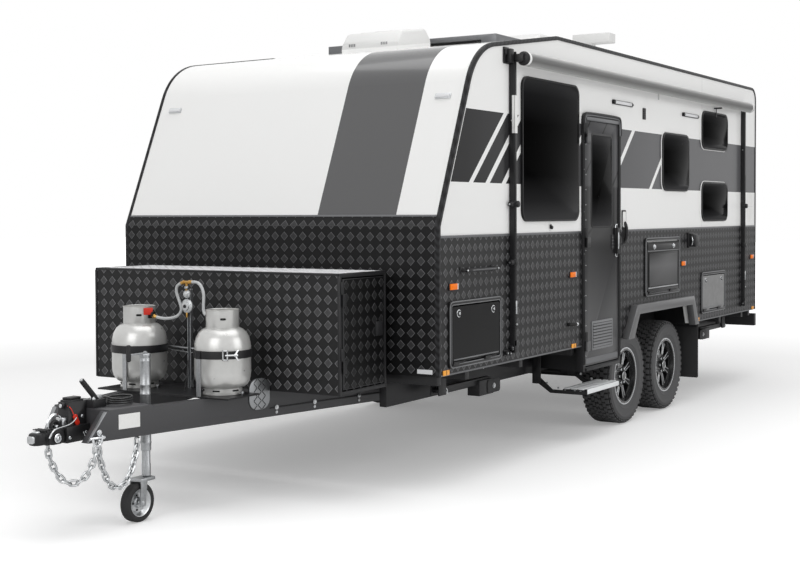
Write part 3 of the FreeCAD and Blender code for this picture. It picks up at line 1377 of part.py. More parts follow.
box_pin_x = box_door_front + box_pin_ahead
box_pin_y = box_half + hinge_pin + bracket_gap


def box_knuckles(name, shift, web_start, web_end):
    """Upright knuckles of a toolbox door, each with a web along the caravan."""
    pieces = []
    for number, share in enumerate(box_knuckle_shares):
        low = (box_door_low + (box_door_high - box_door_low) * share
               + (knuckle_length + running_clearance) * shift)
        pieces.append(rod("%s_knuckle_%d" % (name, number), (box_pin_x, box_pin_y, low), "Z",
                          hinge_pin, knuckle_length))
        ends = sorted([box_pin_x, web_start], key=float)
        pieces.append(box("%s_link_%d" % (name, number), (ends[0], box_pin_y - hinge_pin / 2, low),
                          (ends[1], box_pin_y + hinge_pin / 2, low + knuckle_length)))
        ends = sorted([web_start, web_end], key=float)
        pieces.append(box("%s_web_%d" % (name, number), (ends[0], box_half - proud, low),
                          (ends[1], box_pin_y + hinge_pin / 2, low + knuckle_length)))
    return pieces


near_lugs = box_knuckles("near_lug", 1, box_pin_x + lid_gap, box_pin_x + lid_gap * 2)
off_lugs = [mirrored("off_lug_%d" % number, piece) for number, piece in enumerate(
    box_knuckles("off_lug_twin", 1, box_pin_x + lid_gap, box_pin_x + lid_gap * 2))]
sub_part("toolbox", join("toolbox_shape", [toolbox_shell] + near_lugs + off_lugs))


def toolbox_door(name):
    """An end door inside its lip, hinged along its front edge, with a paddle latch."""
    low_x = box_rear_x + box_lip + lid_gap
    height = box_door_high - box_door_low
    leaf = box(name + "_leaf", (low_x, box_half - door_sheet, box_door_low),
               (box_door_front, box_half, box_door_high))
    latch = box(name + "_latch",
                (low_x + box_lip, box_half - proud, box_door_low + height * 0.45),
                (low_x + box_lip * 4, box_half + box_lip / 2, box_door_low + height * 0.58))
    return join(name, [leaf, latch] + box_knuckles(
        name, 0, box_door_front - lid_gap / 2, box_door_front - box_lip))


sub_part("toolbox_door_near", toolbox_door("near_box_door"))
sub_part("toolbox_door_off", mirrored("off_box_door", toolbox_door("off_box_door_twin")))

# Gas bottles on their plate, with post, straps, regulators and hoses
bottle_reach = size("bottle_reach", 837, "gas bottles ahead of the front wall")
bottle_side = size("bottle_side", 312, "middle plane to a gas bottle's centre")
bottle_radius = size("bottle_radius", 158, "gas bottle")
bottle_height = size("bottle_height", 472, "gas bottle with its collar")
foot_radius = size("bottle_foot_radius", 112, "gas bottle's foot ring")
foot_height = size("bottle_foot_height", 36, "gas bottle's foot ring")
collar_radius = size("bottle_collar_radius", 92, "gas bottle's collar")
collar_height = size("bottle_collar_height", 92, "gas bottle's collar")
shell_thin = size("bottle_shell", 4, "foot ring and collar sheet")
valve_radius = size("bottle_valve_radius", 17, "gas valve")
gas_plate_thickness = size("gas_plate_thickness", 10, "plate under the gas bottles")
gas_plate_half = size("gas_plate_half", 490, "half width of the plate under the bottles")
gas_plate_front = size("gas_plate_front_reach", 1005, "front edge of the plate under the bottles")
gas_plate_rear = size("gas_plate_rear_reach", 727, "rear edge of the plate under the bottles")
strap_height = size("strap_height", 212, "bottle straps above the plate")
strap_width = size("strap_width", 33, "bottle straps")
strap_thickness = size("strap_thickness", 5, "bottle straps")
upright_width = size("upright_width", 30, "flat uprights in front of the bottles")
upright_thickness = size("upright_thickness", 8, "flat uprights in front of the bottles")
upright_inner = size("upright_inner", 52, "bottle's centre to the inner edge of its upright")
gas_base = rail_top + gas_plate_thickness
body_high = bottle_height - collar_height
bottle_outline = [
    (0, foot_height), (foot_radius - shell_thin, foot_height), (foot_radius - shell_thin, 0),
    (foot_radius, 0), (foot_radius, foot_height), (bottle_radius * 0.9, foot_height + bottle_radius * 0.22),
    (bottle_radius, foot_height + bottle_radius * 0.6), (bottle_radius, body_high - bottle_radius * 0.6),
    (bottle_radius * 0.9, body_high - bottle_radius * 0.22), (collar_radius, body_high),
    (collar_radius, bottle_height), (collar_radius - shell_thin, bottle_height),
    (collar_radius - shell_thin, body_high), (valve_radius, body_high),
    (valve_radius, bottle_height - collar_height / 4), (0, bottle_height - collar_height / 4),
]
gas_x = ahead(bottle_reach)
collar_way = size("collar_way", 50, "opening in a bottle's collar, towards the middle")


def gas_bottle(name):
    """The near bottle, with an opening in its collar for the hose."""
    body = turned(name + "_body", bottle_outline, (gas_x, bottle_side, gas_base), "Z")
    way_low = gas_base + body_high + (collar_height - collar_way) / 2
    way = box(name + "_way",
              (gas_x - collar_way / 2, bottle_side - collar_radius - overrun, way_low),
              (gas_x + collar_way / 2, bottle_side - collar_radius / 2, way_low + collar_way))
    return cut(name, body, [way])


sub_part("gas_bottles", group("all_bottles", [
    gas_bottle("near_bottle"), mirrored("off_bottle", gas_bottle("off_bottle_twin"))]))

centre_post_top = size("centre_post_top", 1212, "top of the galvanised centre post")
centre_post_half = size("centre_post_half", 12, "centre post")
centre_post_reach = size("centre_post_reach", 750, "centre post ahead of the front wall")
regulator_radius = size("regulator_radius", 40, "lower gas regulator")
upper_regulator_radius = size("upper_regulator_radius", 24, "upper gas regulator")
regulator_depth = size("regulator_depth", 34, "gas regulator")
regulator_level = size("regulator_level", 1115, "lower gas regulator above the ground")
upper_regulator_level = size("upper_regulator_level", 1184, "upper gas regulator above the ground")
hose_radius = size("hose_radius", 7, "gas hoses")
gas_plate = box("gas_plate", (ahead(gas_plate_rear), -gas_plate_half, rail_top),
                (ahead(gas_plate_front), gas_plate_half, gas_base))
post_x = ahead(centre_post_reach)
post_face = post_x + centre_post_half
centre_post = box("centre_post", (post_x - centre_post_half, -centre_post_half, gas_base - proud),
                  (post_face, centre_post_half, centre_post_top))
strap_low = gas_base + strap_height
ring_inner = bottle_radius + running_clearance
ring_outer = ring_inner + strap_thickness


def bottle_strap(name):
    """The near bottle's strap with the flat upright in front that holds it."""
    outer = rod(name + "_outer", (gas_x, bottle_side, strap_low), "Z", ring_outer, strap_width)
    inner = rod(name + "_inner", (gas_x, bottle_side, strap_low - overrun), "Z", ring_inner,
                strap_width + overrun * 2)
    upright_x = gas_x + ring_inner - proud * 0.8
    upright = box(name + "_upright",
                  (upright_x, bottle_side - upright_inner, gas_base - proud),
                  (upright_x + upright_thickness, bottle_side - upright_inner + upright_width,
                   strap_low + strap_width))
    return join(name, [cut(name + "_ring", outer, [inner]), upright])


cross_half_width = upright_thickness * 0.8
strap_side = bottle_side - ring_outer + strap_thickness / 2
cross_strap = plate("cross_strap", "XY", [
    (post_face - cross_half_width, 0), (gas_x - cross_half_width, strap_side),
    (gas_x + cross_half_width, strap_side), (post_face + cross_half_width, 0),
    (gas_x + cross_half_width, -strap_side), (gas_x - cross_half_width, -strap_side),
], strap_low, strap_width)
regulators = [
    rod("lower_regulator", (post_face - proud, 0, regulator_level), "X",
        regulator_radius, regulator_depth),
    rod("upper_regulator", (post_face - proud, 0, upper_regulator_level), "X",
        upper_regulator_radius, regulator_depth),
]
gas_steel = join("gas_steel", [
    gas_plate, centre_post, cross_strap, bottle_strap("near_strap"),
    mirrored("off_strap", bottle_strap("off_strap_twin"))] + regulators)

valve_top = gas_base + bottle_height - collar_height / 4
hose_x = post_face - proud + regulator_depth / 2


def hose_point(toward, across, up):
    """A point by its shares of the way to the regulator, the bottles' side and the collar."""
    return (gas_x + (hose_x - gas_x) * toward, bottle_side * across, valve_top + collar_height * up)


def regulator_end(angle):
    """The last two points of a hose that enters the lower regulator's rim at an angle."""
    turn = math.radians(angle)
    return [(hose_x, (regulator_radius * share + running_clearance) * math.cos(turn),
             regulator_level + (regulator_radius * share + running_clearance) * math.sin(turn))
            for share in (1.9, 1)]


def route(points):
    return [Vector(float(x), float(y), float(z)) for x, y, z in points]


valve_side = (bottle_side - valve_radius - running_clearance) / bottle_side
near_hose = tube_along("near_hose", route([hose_point(*shares) for shares in (
    (0, 1, 0.004), (0, 1, 0.4), (0.05, 0.78, 1.15), (0.3, 0.53, 1.75), (0.5, 0.3, 1.89),
    (0.8, 0.06, 1.89), (1, -0.16, 1.7), (1, -0.235, 1.3))] + regulator_end(135)), hose_radius)
off_hose = tube_along("off_hose", route([hose_point(*shares) for shares in (
    (0, -valve_side, -0.38), (0, -0.7, -0.42), (0.8, -0.385, -0.53), (1, -0.27, -0.54))]
    + regulator_end(230)), hose_radius)
sub_part("gas_fittings", group("all_gas", [gas_steel, near_hose, off_hose]))

# Jockey wheel: clamped post, sliding leg, castor fork and wheel
jockey_reach = gusset_rear - size("jockey_back", 70, "jockey post behind the drawbar's top plate")
clamp_length = size("jockey_clamp_length", 83.16, "jockey post to the drawbar rail's inner face")
jockey_side = drawbar_outer(jockey_reach) - drawbar_wall - clamp_length
jockey_travel = size("jockey_travel", 130, "how far the leg winds up into its post")
post_radius = size("jockey_post_radius", 28, "jockey wheel's outer tube")
post_bore = size("jockey_post_bore", 24.3, "bore of the outer tube")
leg_radius = size("jockey_leg_radius", 24, "jockey wheel's inner leg")
post_top = size("jockey_post_top", 895, "top of the outer tube")
post_low = size("jockey_post_low", 372, "lower end of the outer tube")
crank_reach = size("jockey_crank_reach", 125, "crank handle at the top of the post")
leg_low = size("jockey_leg_low", 234, "lower end of the sliding leg")
leg_top = size("jockey_leg_top", 700, "upper end of the sliding leg inside the post")
jockey_radius = size("jockey_wheel_radius", 105, "jockey wheel")
jockey_width = size("jockey_wheel_width", 60, "jockey wheel")
jockey_trail = size("jockey_trail", 70, "jockey wheel's axle ahead of its swivel")
fork_plate = size("fork_plate", 6, "castor fork's plates")
fork_gap = size("fork_gap", 6, "between the jockey wheel and its fork")
jockey_pin = size("jockey_pin_radius", 8, "jockey wheel's axle pin")
jockey_x = ahead(jockey_reach)
post_outer = rod("post_outer", (jockey_x, jockey_side, post_low), "Z", post_radius,
                 post_top - post_low)
post_inner = rod("post_inner", (jockey_x, jockey_side, post_low - overrun), "Z", post_bore,
                 leg_top + jockey_travel + overrun / 2 - post_low + overrun)
jockey_clamp = box("jockey_clamp",
                   (jockey_x - post_radius, jockey_side, rail_bottom + rail_width / 2),
                   (jockey_x + post_radius, drawbar_outer(jockey_reach + post_radius) - drawbar_wall,
                    rail_top - rail_width / 2))
crank_bar = box("crank_bar", (jockey_x - post_radius / 2, jockey_side - post_radius / 3, post_top - proud),
                (jockey_x + crank_reach, jockey_side + post_radius / 3, post_top + post_radius / 2))
crank_knob = rod("crank_knob", (jockey_x + crank_reach, jockey_side, post_top - post_radius), "Z",
                 post_radius / 2, post_radius * 3)
sub_part("jockey_post", cut("jockey_post_shape", join(
    "jockey_post_joined", [post_outer, jockey_clamp, crank_bar, crank_knob]), [post_inner]))
swivel_gap = size("swivel_gap", 0.5, "between the leg's flange and the castor fork")
swivel_pin = size("swivel_pin_radius", 10, "castor's swivel pin")
swivel_depth = size("swivel_pin_depth", 14, "castor's swivel pin below the leg")
leg_rod = rod("leg_rod", (jockey_x, jockey_side, leg_low), "Z", leg_radius, leg_top - leg_low)
leg_pin = rod("leg_pin", (jockey_x, jockey_side, leg_low - swivel_depth), "Z", swivel_pin,
              swivel_depth + proud)
sub_part("jockey_leg", join("jockey_leg_shape", [leg_rod, leg_pin]))

wheel_x = jockey_x + jockey_trail
fork_top = leg_low - swivel_gap
fork_out = jockey_width / 2 + fork_gap
crown_low = jockey_radius * 2 + fork_gap
crown = box("crown", (jockey_x - leg_radius, jockey_side - fork_out - fork_plate, crown_low),
            (wheel_x + leg_radius / 2, jockey_side + fork_out + fork_plate, fork_top))
crown_bore = rod("crown_bore", (jockey_x, jockey_side, crown_low - overrun), "Z",
                 swivel_pin + running_clearance, overrun * 2)
cheek_outline = [
    (wheel_x - leg_radius * 1.5, crown_low + fork_plate),
    (wheel_x - leg_radius * 0.8, jockey_radius - leg_radius * 0.8),
    (wheel_x + leg_radius * 0.8, jockey_radius - leg_radius * 0.8),
    (wheel_x + leg_radius * 0.5, crown_low + fork_plate),
]
cheeks = [
    plate("near_cheek", "XZ", cheek_outline, jockey_side + fork_out, fork_plate),
    plate("off_cheek", "XZ", cheek_outline, jockey_side - fork_out - fork_plate, fork_plate),
]
axle_pin = rod("axle_pin", (wheel_x, jockey_side - fork_out - fork_plate, jockey_radius), "Y",
               jockey_pin, (fork_out + fork_plate) * 2)
sub_part("jockey_fork", cut("jockey_fork_shape", join(
    "jockey_fork_joined", [crown, axle_pin] + cheeks), [crown_bore]))
pin_bore = jockey_pin + running_clearance
jockey_outline = [
    (pin_bore, -jockey_width / 2), (jockey_radius * 0.35, -jockey_width / 2),
    (jockey_radius * 0.4, -jockey_width / 4), (jockey_radius * 0.6, -jockey_width / 4),
    (jockey_radius * 0.65, -jockey_width / 2), (jockey_radius * 0.9, -jockey_width / 2),
    (jockey_radius, -jockey_width / 4), (jockey_radius, jockey_width / 4),
    (jockey_radius * 0.9, jockey_width / 2), (jockey_radius * 0.65, jockey_width / 2),
    (jockey_radius * 0.6, jockey_width / 4), (jockey_radius * 0.4, jockey_width / 4),
    (jockey_radius * 0.35, jockey_width / 2), (pin_bore, jockey_width / 2),
]
sub_part("jockey_wheel", turned("jockey_wheel_body", jockey_outline,
                                (wheel_x, jockey_side, jockey_radius), "Y"))

# Water tanks below the floor
tank_half = size("tank_half_width", 700, "half width of the water tanks")
tank_depth = size("tank_depth", 160, "water tanks")
tank_length = size("tank_length", 760, "water tanks")
front_tank = size("front_tank_station", 1090, "front edge of the leading water tank")
rear_tank = body_length - size("rear_tank", 1585, "rear wall to the trailing tank's front edge")
tanks = [
    box("tank_%d" % number, (at(station) - tank_length, -tank_half, rail_top - tank_depth),
        (at(station), tank_half, rail_top))
    for number, station in enumerate((front_tank, rear_tank))]
sub_part("water_tanks", group("all_tanks", tanks))

# Awning, rolled up, with its two folded arms
roll_radius = size("awning_roll_radius", 46, "rolled awning")
roll_side = size("awning_roll_side", 1308, "middle plane to the awning roll")
roll_height = size("awning_roll_height", 2622, "height of the awning roll")
roll_front = size("awning_front_station", 930, "front end of the awning roll")
roll_rear = body_length - size("awning_rear", 475, "rear wall to the awning roll's rear end")
arm_front = size("front_arm_station", 905, "front awning arm")
arm_rear = body_length - size("rear_arm", 445, "rear wall to the rear awning arm")
arm_half = size("awning_arm_half", 19, "half width of an awning arm")
arm_depth = size("awning_arm_depth", 44, "awning arms")
arm_foot = size("awning_arm_foot", 745, "lower end of the awning arms")
end_cap = size("awning_end_cap", 26, "awning end caps")
wall_rail = size("awning_wall_rail", 14, "awning rail on the wall")
roll = rod("roll", (at(roll_rear), roll_side, roll_height), "X", roll_radius, roll_rear - roll_front)
rail_item = box("rail_item", (at(roll_rear), half_width, roll_height + roll_radius / 2),
                (at(roll_front), roll_side, roll_height + roll_radius / 2 + wall_rail))
arm_items = []
for label, station in (("front", arm_front), ("rear", arm_rear)):
    side = 1 if label == "front" else -1
    upright = box(label + "_arm_upright", (at(station) - arm_half, half_width + cladding_thickness, arm_foot),
                  (at(station) + arm_half, half_width + cladding_thickness + arm_depth,
                   roll_height + roll_radius))
    cap_start = at(roll_front) if side > 0 else at(roll_rear) - end_cap
    cap = rod(label + "_arm_cap", (cap_start, roll_side, roll_height), "X", roll_radius, end_cap)
    link = box(label + "_arm_link", (at(station) - arm_half, half_width + cladding_thickness,
                                     roll_height - arm_half),
               (at(station) + arm_half, roll_side, roll_height + arm_half))
    arm_items.append(join(label + "_awning_arm", [upright, cap, link]))
sub_part("awning", join("awning_shape", [roll, rail_item] + arm_items))

# On the roof: solar panel, air conditioner and antenna
solar_front = size("solar_front_station", 1650, "front edge of the solar panel")
solar_rear = size("solar_rear_station", 2650, "rear edge of the solar panel")
solar_half = size("solar_half_width", 720, "half width of the solar panel")
solar_thickness = size("solar_thickness", 36, "solar panel")
solar_lift = size("solar_lift", 30, "solar panel above the roof")
mount_side = size("solar_mount", 120, "corner mounts of the solar panel")
solar_items = [box("solar_sheet", (at(solar_rear), -solar_half, roof_top + solar_lift),
                   (at(solar_front), solar_half, roof_top + solar_lift + solar_thickness))]
for x_label, x_low in (("front", at(solar_front) - mount_side), ("rear", at(solar_rear))):
    for y_label, y_low in (("near", solar_half - mount_side), ("off", -solar_half)):
        solar_items.append(box("solar_mount_%s_%s" % (x_label, y_label), (x_low, y_low, roof_top),
                               (x_low + mount_side, y_low + mount_side, roof_top + solar_lift + proud)))
sub_part("solar_panel", join("solar_shape", solar_items))
cooler_front = size("cooler_front_station", 2930, "front edge of the air conditioner")
cooler_rear = size("cooler_rear_station", 3930, "rear edge of the air conditioner")
cooler_half = size("cooler_half_width", 350, "half width of the air conditioner")
cooler_height = size("cooler_height", 265, "air conditioner above the roof")
cooler_slope = size("cooler_slope", 190, "length of the air conditioner's sloped front")
sub_part("air_conditioner", plate("cooler_shape", "XZ", [
    (at(cooler_front), roof_top), (at(cooler_front), roof_top + cooler_height * 0.35),
    (at(cooler_front + cooler_slope), roof_top + cooler_height),
    (at(cooler_rear - cooler_slope / 2), roof_top + cooler_height),
    (at(cooler_rear), roof_top + cooler_height * 0.6), (at(cooler_rear), roof_top),
], -cooler_half, cooler_half * 2))
mast_station = body_length - size("antenna_place", 1120, "rear wall to the antenna mast")
mast_radius = size("antenna_mast_radius", 18, "antenna mast")
mast_height = size("antenna_height", 400, "antenna above the roof")
mast_foot = size("antenna_foot_radius", 80, "antenna foot")
wing_half = size("antenna_wing_half", 190, "half width of the antenna's wing")
wing_depth = size("antenna_wing_depth", 150, "antenna's wing")
wing_height = size("antenna_wing_height", 90, "antenna's wing")
antenna_foot = rod("antenna_foot", (at(mast_station), as_size(0), roof_top), "Z", mast_foot, mast_radius)
antenna_mast = rod("antenna_mast", (at(mast_station), as_size(0), roof_top), "Z", mast_radius, mast_height)
antenna_wing = box("antenna_wing",
                   (at(mast_station) - wing_depth / 2, -wing_half, roof_top + mast_height - proud),
                   (at(mast_station) + wing_depth / 2, wing_half, roof_top + mast_height + wing_height))
sub_part("tv_antenna", join("antenna_shape", [antenna_foot, antenna_mast, antenna_wing]))

# Lamps on the outside
lamp_depth = size("lamp_depth", 14, "lamps stand out of their wall")
marker_half = size("marker_half", 48, "half length of a side marker")
marker_height = size("marker_height", 26, "side marker")
marker_z = size("marker_level", 1198, "lower edge of the upper side markers")
sill_lamp_z = size("sill_lamp_level", 697, "lower edge of the lower side lamps")
sill_lamp_half = size("sill_lamp_half", 34, "half length of a lower side lamp")
marker_stations = [
    size("marker_one", 162, "upper side marker"),
    size("marker_two", 1830, "upper side marker"),
    size("marker_three", 4046, "upper side marker"),
    body_length - size("marker_four", 135, "rear wall to the rear upper side marker"),
]
sill_stations = [
    size("sill_lamp_one", 78, "lower side lamp"),
    size("sill_lamp_two", 1853, "lower side lamp"),
    size("sill_lamp_three", 4418, "lower side lamp"),
    body_length - size("sill_lamp_four", 85, "rear wall to the rear lower side lamp"),
]
side_lamp_y = half_width + cladding_thickness
lamp_items = []
for number, station in enumerate(marker_stations):
    lamp_items.append(box("marker_%d" % number, (at(station) - marker_half, side_lamp_y, marker_z),
                          (at(station) + marker_half, side_lamp_y + lamp_depth, marker_z + marker_height)))
for number, station in enumerate(sill_stations):
    lamp_items.append(box("sill_lamp_%d" % number,
                          (at(station) - sill_lamp_half, side_lamp_y, sill_lamp_z),
                          (at(station) + sill_lamp_half, side_lamp_y + lamp_depth,
                           sill_lamp_z + marker_height)))
porch_z = size("porch_lamp_level", 2455, "lower edge of the lamps under the awning")
porch_half = size("porch_lamp_half", 195, "half length of a lamp under the awning")
porch_lamps = []
for label, station in (("front", size("porch_lamp_one", 2735, "front lamp under the awning")),
                       ("rear", size("porch_lamp_two", 4225, "rear lamp under the awning"))):
    porch_lamps.append(box(label + "_porch_lamp", (at(station) - porch_half, half_width, porch_z),
                           (at(station) + porch_half, half_width + lamp_depth, porch_z + marker_height)))
tail_side = size("tail_lamp_side", 1085, "middle plane to the tail lamps")
tail_low = size("tail_lamp_low", 905, "lower edge of the tail lamps")
tail_high = size("tail_lamp_high", 1195, "upper edge of the tail lamps")
tail_half = size("tail_lamp_half", 62, "half width of a tail lamp")
tail_face = x_rear - cladding_thickness
lamp_items.append(box("tail_lamp", (tail_face - lamp_depth * 2, tail_side - tail_half, tail_low),
                      (tail_face, tail_side + tail_half, tail_high)))
roof_marker_side = size("front_marker_side", 1065, "middle plane to the front markers")
roof_marker_z = size("front_marker_height", 2352, "front markers on the slope")
front_marker = tilted_box(
    "front_marker",
    (front_face - (roof_marker_z - knee_height) * tangent(slope_angle)
     + lamp_depth / 2 * cosine(slope_angle),
     roof_marker_side, roof_marker_z + lamp_depth / 2 * sine(slope_angle)),
    (lamp_depth, marker_half * 2, marker_height), Vector(0, 1, 0), -slope_angle)
lamp_items.append(front_marker)
near_lamps = group("near_lamps", lamp_items)
sub_part("lamps", group("all_lamps", [near_lamps, mirrored("off_lamps", near_lamps)] + porch_lamps))

# Fittings: handles, inlet, number plate and camera
handle_rod = size("grab_handle_radius", 11, "grab handles")
handle_stand = size("grab_handle_stand", 48, "grab handles stand out of the wall")
grab_front = size("grab_handle_front", 262, "front end of the corner grab handle")
grab_rear = size("grab_handle_rear", 648, "rear end of the corner grab handle")
grab_z = size("grab_handle_height", 1303, "height of the corner grab handle")
rail_station = size("door_rail_station", 2762, "grab rail behind the door")
rail_low = size("door_rail_low", 1420, "lower end of the grab rail")
rail_high = size("door_rail_high", 1640, "upper end of the grab rail")


def level_handle(name, front, rear, height, base):
    bar = rod(name + "_bar", (at(rear), base + handle_stand - handle_rod, height), "X", handle_rod,
              rear - front)
    posts = [rod("%s_post_%s" % (name, label), (x, base, height), "Y", handle_rod * 0.8,
                 handle_stand - handle_rod)
             for label, x in (("front", at(front) - handle_rod), ("rear", at(rear) + handle_rod))]
    return join(name, [bar] + posts)


grab_handle = level_handle("grab_handle", grab_front, grab_rear, grab_z, side_lamp_y)
upright_bar = rod("upright_bar", (at(rail_station), half_width + handle_stand - handle_rod, rail_low),
                  "Z", handle_rod, rail_high - rail_low)
upright_posts = [
    rod("upright_post_%s" % label, (at(rail_station), half_width, z), "Y", handle_rod * 0.8,
        handle_stand - handle_rod)
    for label, z in (("low", rail_low + handle_rod * 10), ("high", rail_high - handle_rod))]
door_rail = join("door_rail", [upright_bar] + upright_posts)
inlet_station = size("inlet_station", 4215, "power inlet")
inlet_z = size("inlet_height", 1405, "power inlet")
inlet_half = size("inlet_half", 55, "half size of the power inlet")
inlet = box("inlet", (at(inlet_station) - inlet_half, side_lamp_y, inlet_z - inlet_half),
            (at(inlet_station) + inlet_half, side_lamp_y + handle_stand, inlet_z + inlet_half))
plate_half = size("number_plate_half", 186, "half width of the blank number plate")
plate_low = size("number_plate_low", 700, "lower edge of the blank number plate")
plate_height = size("number_plate_height", 107, "blank number plate")
plate_side = size("number_plate_side", 640, "middle plane to the blank number plate")
number_plate = box("number_plate", (tail_face - marker_height / 8, -plate_side - plate_half, plate_low),
                   (tail_face, -plate_side + plate_half, plate_low + plate_height))
camera_z = size("camera_height", 2500, "reversing camera")
camera = box("camera", (x_rear - handle_stand, -inlet_half / 2, camera_z),
             (x_rear, inlet_half / 2, camera_z + inlet_half))
vent_half = size("fridge_vent_half", 230, "half width of the fridge vents on the off side")
vent_height = size("fridge_vent_height", 150, "fridge vents on the off side")
vent_station = size("fridge_vent_station", 2500, "fridge vents on the off side")
vents = [
    box("fridge_vent_%d" % number, (at(vent_station) - vent_half, -half_width - lamp_depth, low),
        (at(vent_station) + vent_half, -half_width, low + vent_height))
    for number, low in enumerate((size("low_vent_level", 1530, "lower fridge vent"),
                                  size("high_vent_level", 2050, "upper fridge vent")))]
sub_part("fittings", group("all_fittings", [
    grab_handle, mirrored("grab_handle_off", grab_handle), door_rail, inlet, number_plate, camera,
    off_service] + vents))

# Safety chains below the coupling
chain_radius = size("chain_radius", 13, "safety chain's outer radius")
chain_front = size("chain_front_reach", 1836, "front end of the first chain")
chain_shackle = size("chain_shackle_reach", 1660, "shackle where both chains meet")
chain_rear = size("chain_rear_reach", 1460, "rear end of the second chain")
chain_side = size("chain_side", 150, "middle plane to the second chain")
chain_low_one = size("first_chain_low", 268, "lowest point of the first chain")
chain_low_two = size("second_chain_low", 222, "lowest point of the second chain")
chain_shares = ((0.0, 0.0), (0.0, 0.2), (0.08, 0.48), (0.18, 0.74), (0.32, 0.94), (0.5, 1.0),
                (0.68, 0.94), (0.82, 0.74), (0.92, 0.48), (1.0, 0.2), (1.0, 0.0))


def hanging_chain(name, begin, end, lowest):
    points = []
    for along, down in chain_shares:
        x = begin[0] + (end[0] - begin[0]) * along
        y = begin[1] + (end[1] - begin[1]) * along
        z = begin[2] + (end[2] - begin[2]) * along - (begin[2] - lowest) * down
        points.append(Vector(float(x), float(y), float(z)))
    return tube_along(name, points, chain_radius)


chain_top = rail_bottom - running_clearance
first_chain = hanging_chain(
    "first_chain", (ahead(chain_front), as_size(0), coupling_low - running_clearance),
    (ahead(chain_shackle), chain_side * 0.9, chain_top), chain_low_one)
second_chain = hanging_chain(
    "second_chain", (ahead(chain_shackle) - chain_radius * 3, chain_side, chain_top),
    (ahead(chain_rear), drawbar_outer(chain_rear) - drawbar_wall / 2, chain_top), chain_low_two)
sub_part("safety_chains", group("all_chains", [first_chain, second_chain]))

# Trailer cable: a hank on the top plate and the plug beside the coupling
hank_reach = size("hank_reach", 1414, "middle of the cable hank")
hank_half = size("hank_half_length", 94, "half length of the cable hank")
hank_side = size("hank_side", 89, "middle plane to the hank's centre")
hank_radius = size("hank_end_radius", 58, "round ends of the cable hank")
hank_height = size("hank_height", 44, "cable hank")
hank_z = rail_top + gusset_thickness + running_clearance
hank = rounded_rectangle(
    "hank", "XY", (ahead(hank_reach) - hank_half, hank_side - hank_radius),
    (ahead(hank_reach) + hank_half, hank_side + hank_radius), hank_z, hank_height, hank_radius * 0.97)
sub_part("trailer_cable", hank)
plug_length = size("plug_length", 70, "trailer plug")
plug_radius = size("plug_radius", 18, "trailer plug")
plug_reach = size("plug_reach", 1340, "back end of the trailer plug")
sub_part("trailer_plug", rod(
    "plug_shape", (ahead(plug_reach), hank_side - hank_radius - running_clearance - plug_radius,
                   hank_z + plug_radius),
    "X", plug_radius, plug_length))

# Check and write every sub-part
doc.recompute()
for item in doc.Objects:
    faults = [state for state in item.State if state in ("Invalid", "Error")]
    if faults:
        raise ValueError("%s (%s) is %s" % (item.Name, item.Label, ", ".join(faults)))
os.makedirs("parts", exist_ok=True)
for item in sub_parts:
    if item.Shape.isNull() or not item.Shape.isValid():
        raise ValueError("%s has no valid shape" % item.Label)
    item.Shape.exportStep(os.path.join("parts", item.Label + ".step"))
print(len(sub_parts), "sub-parts,", len(sheet_rows), "sizes")
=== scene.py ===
from math import atan, copysign, cos, hypot, pi, radians, sin, tan, tau

import bmesh
import bpy
from mathutils import Matrix, Vector


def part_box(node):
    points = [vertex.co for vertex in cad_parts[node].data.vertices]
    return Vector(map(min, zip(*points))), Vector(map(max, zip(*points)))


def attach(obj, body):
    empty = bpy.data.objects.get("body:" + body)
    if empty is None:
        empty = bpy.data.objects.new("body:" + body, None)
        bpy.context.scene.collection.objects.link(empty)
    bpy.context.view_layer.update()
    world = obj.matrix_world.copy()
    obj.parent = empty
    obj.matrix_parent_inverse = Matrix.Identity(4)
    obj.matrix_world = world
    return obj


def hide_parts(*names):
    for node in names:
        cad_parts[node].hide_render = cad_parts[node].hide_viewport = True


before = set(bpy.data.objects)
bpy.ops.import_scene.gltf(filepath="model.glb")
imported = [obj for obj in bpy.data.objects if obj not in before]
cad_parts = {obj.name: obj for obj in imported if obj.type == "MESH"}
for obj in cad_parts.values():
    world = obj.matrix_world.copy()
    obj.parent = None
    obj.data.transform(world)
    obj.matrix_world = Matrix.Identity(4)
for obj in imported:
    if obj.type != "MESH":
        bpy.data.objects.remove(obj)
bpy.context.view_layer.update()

# Camera
# It stands where the photographer stood, ahead of the caravan's front corner on the door side,
# at eye level, with a short telephoto lens and the small shift of the photograph's framing.
camera_data = bpy.data.cameras.new("photo_camera")
camera_data.sensor_width = 36
camera_data.lens = 58.898
camera_data.shift_x = -0.0551
camera_data.shift_y = -0.0475
camera = bpy.data.objects.new("photo_camera", camera_data)
heading = radians(59.584)
pitch = radians(-1.762)
forward = Vector((-sin(heading) * cos(pitch), -cos(heading) * cos(pitch), sin(pitch)))
camera.matrix_world = (Matrix.Translation((8.73, 5.082, 1.65)) @ forward.to_track_quat("-Z",
    "Y").to_matrix().to_4x4() @ Matrix.Rotation(radians(-0.188), 4, "Z"))
bpy.context.scene.collection.objects.link(camera)
bpy.context.scene.camera = camera
bpy.context.scene.view_settings.view_transform = "Standard"


# Trailer cable
# A seven-core cable with a matt PVC sheath, wound into a hank of three loose turns that lies on the
# drawbar's top plate. It leaves the brake actuator's side and ends in the plug beside the hank.
def linear_colour(code):
    """A hex colour as the linear values that the shaders take."""
    shares = [int(code[place:place + 2], 16) / 255 for place in (1, 3, 5)]
    return [share / 12.92 if share < 0.04045 else ((share + 0.055) / 1.055) ** 2.4 for share in shares] + [1]


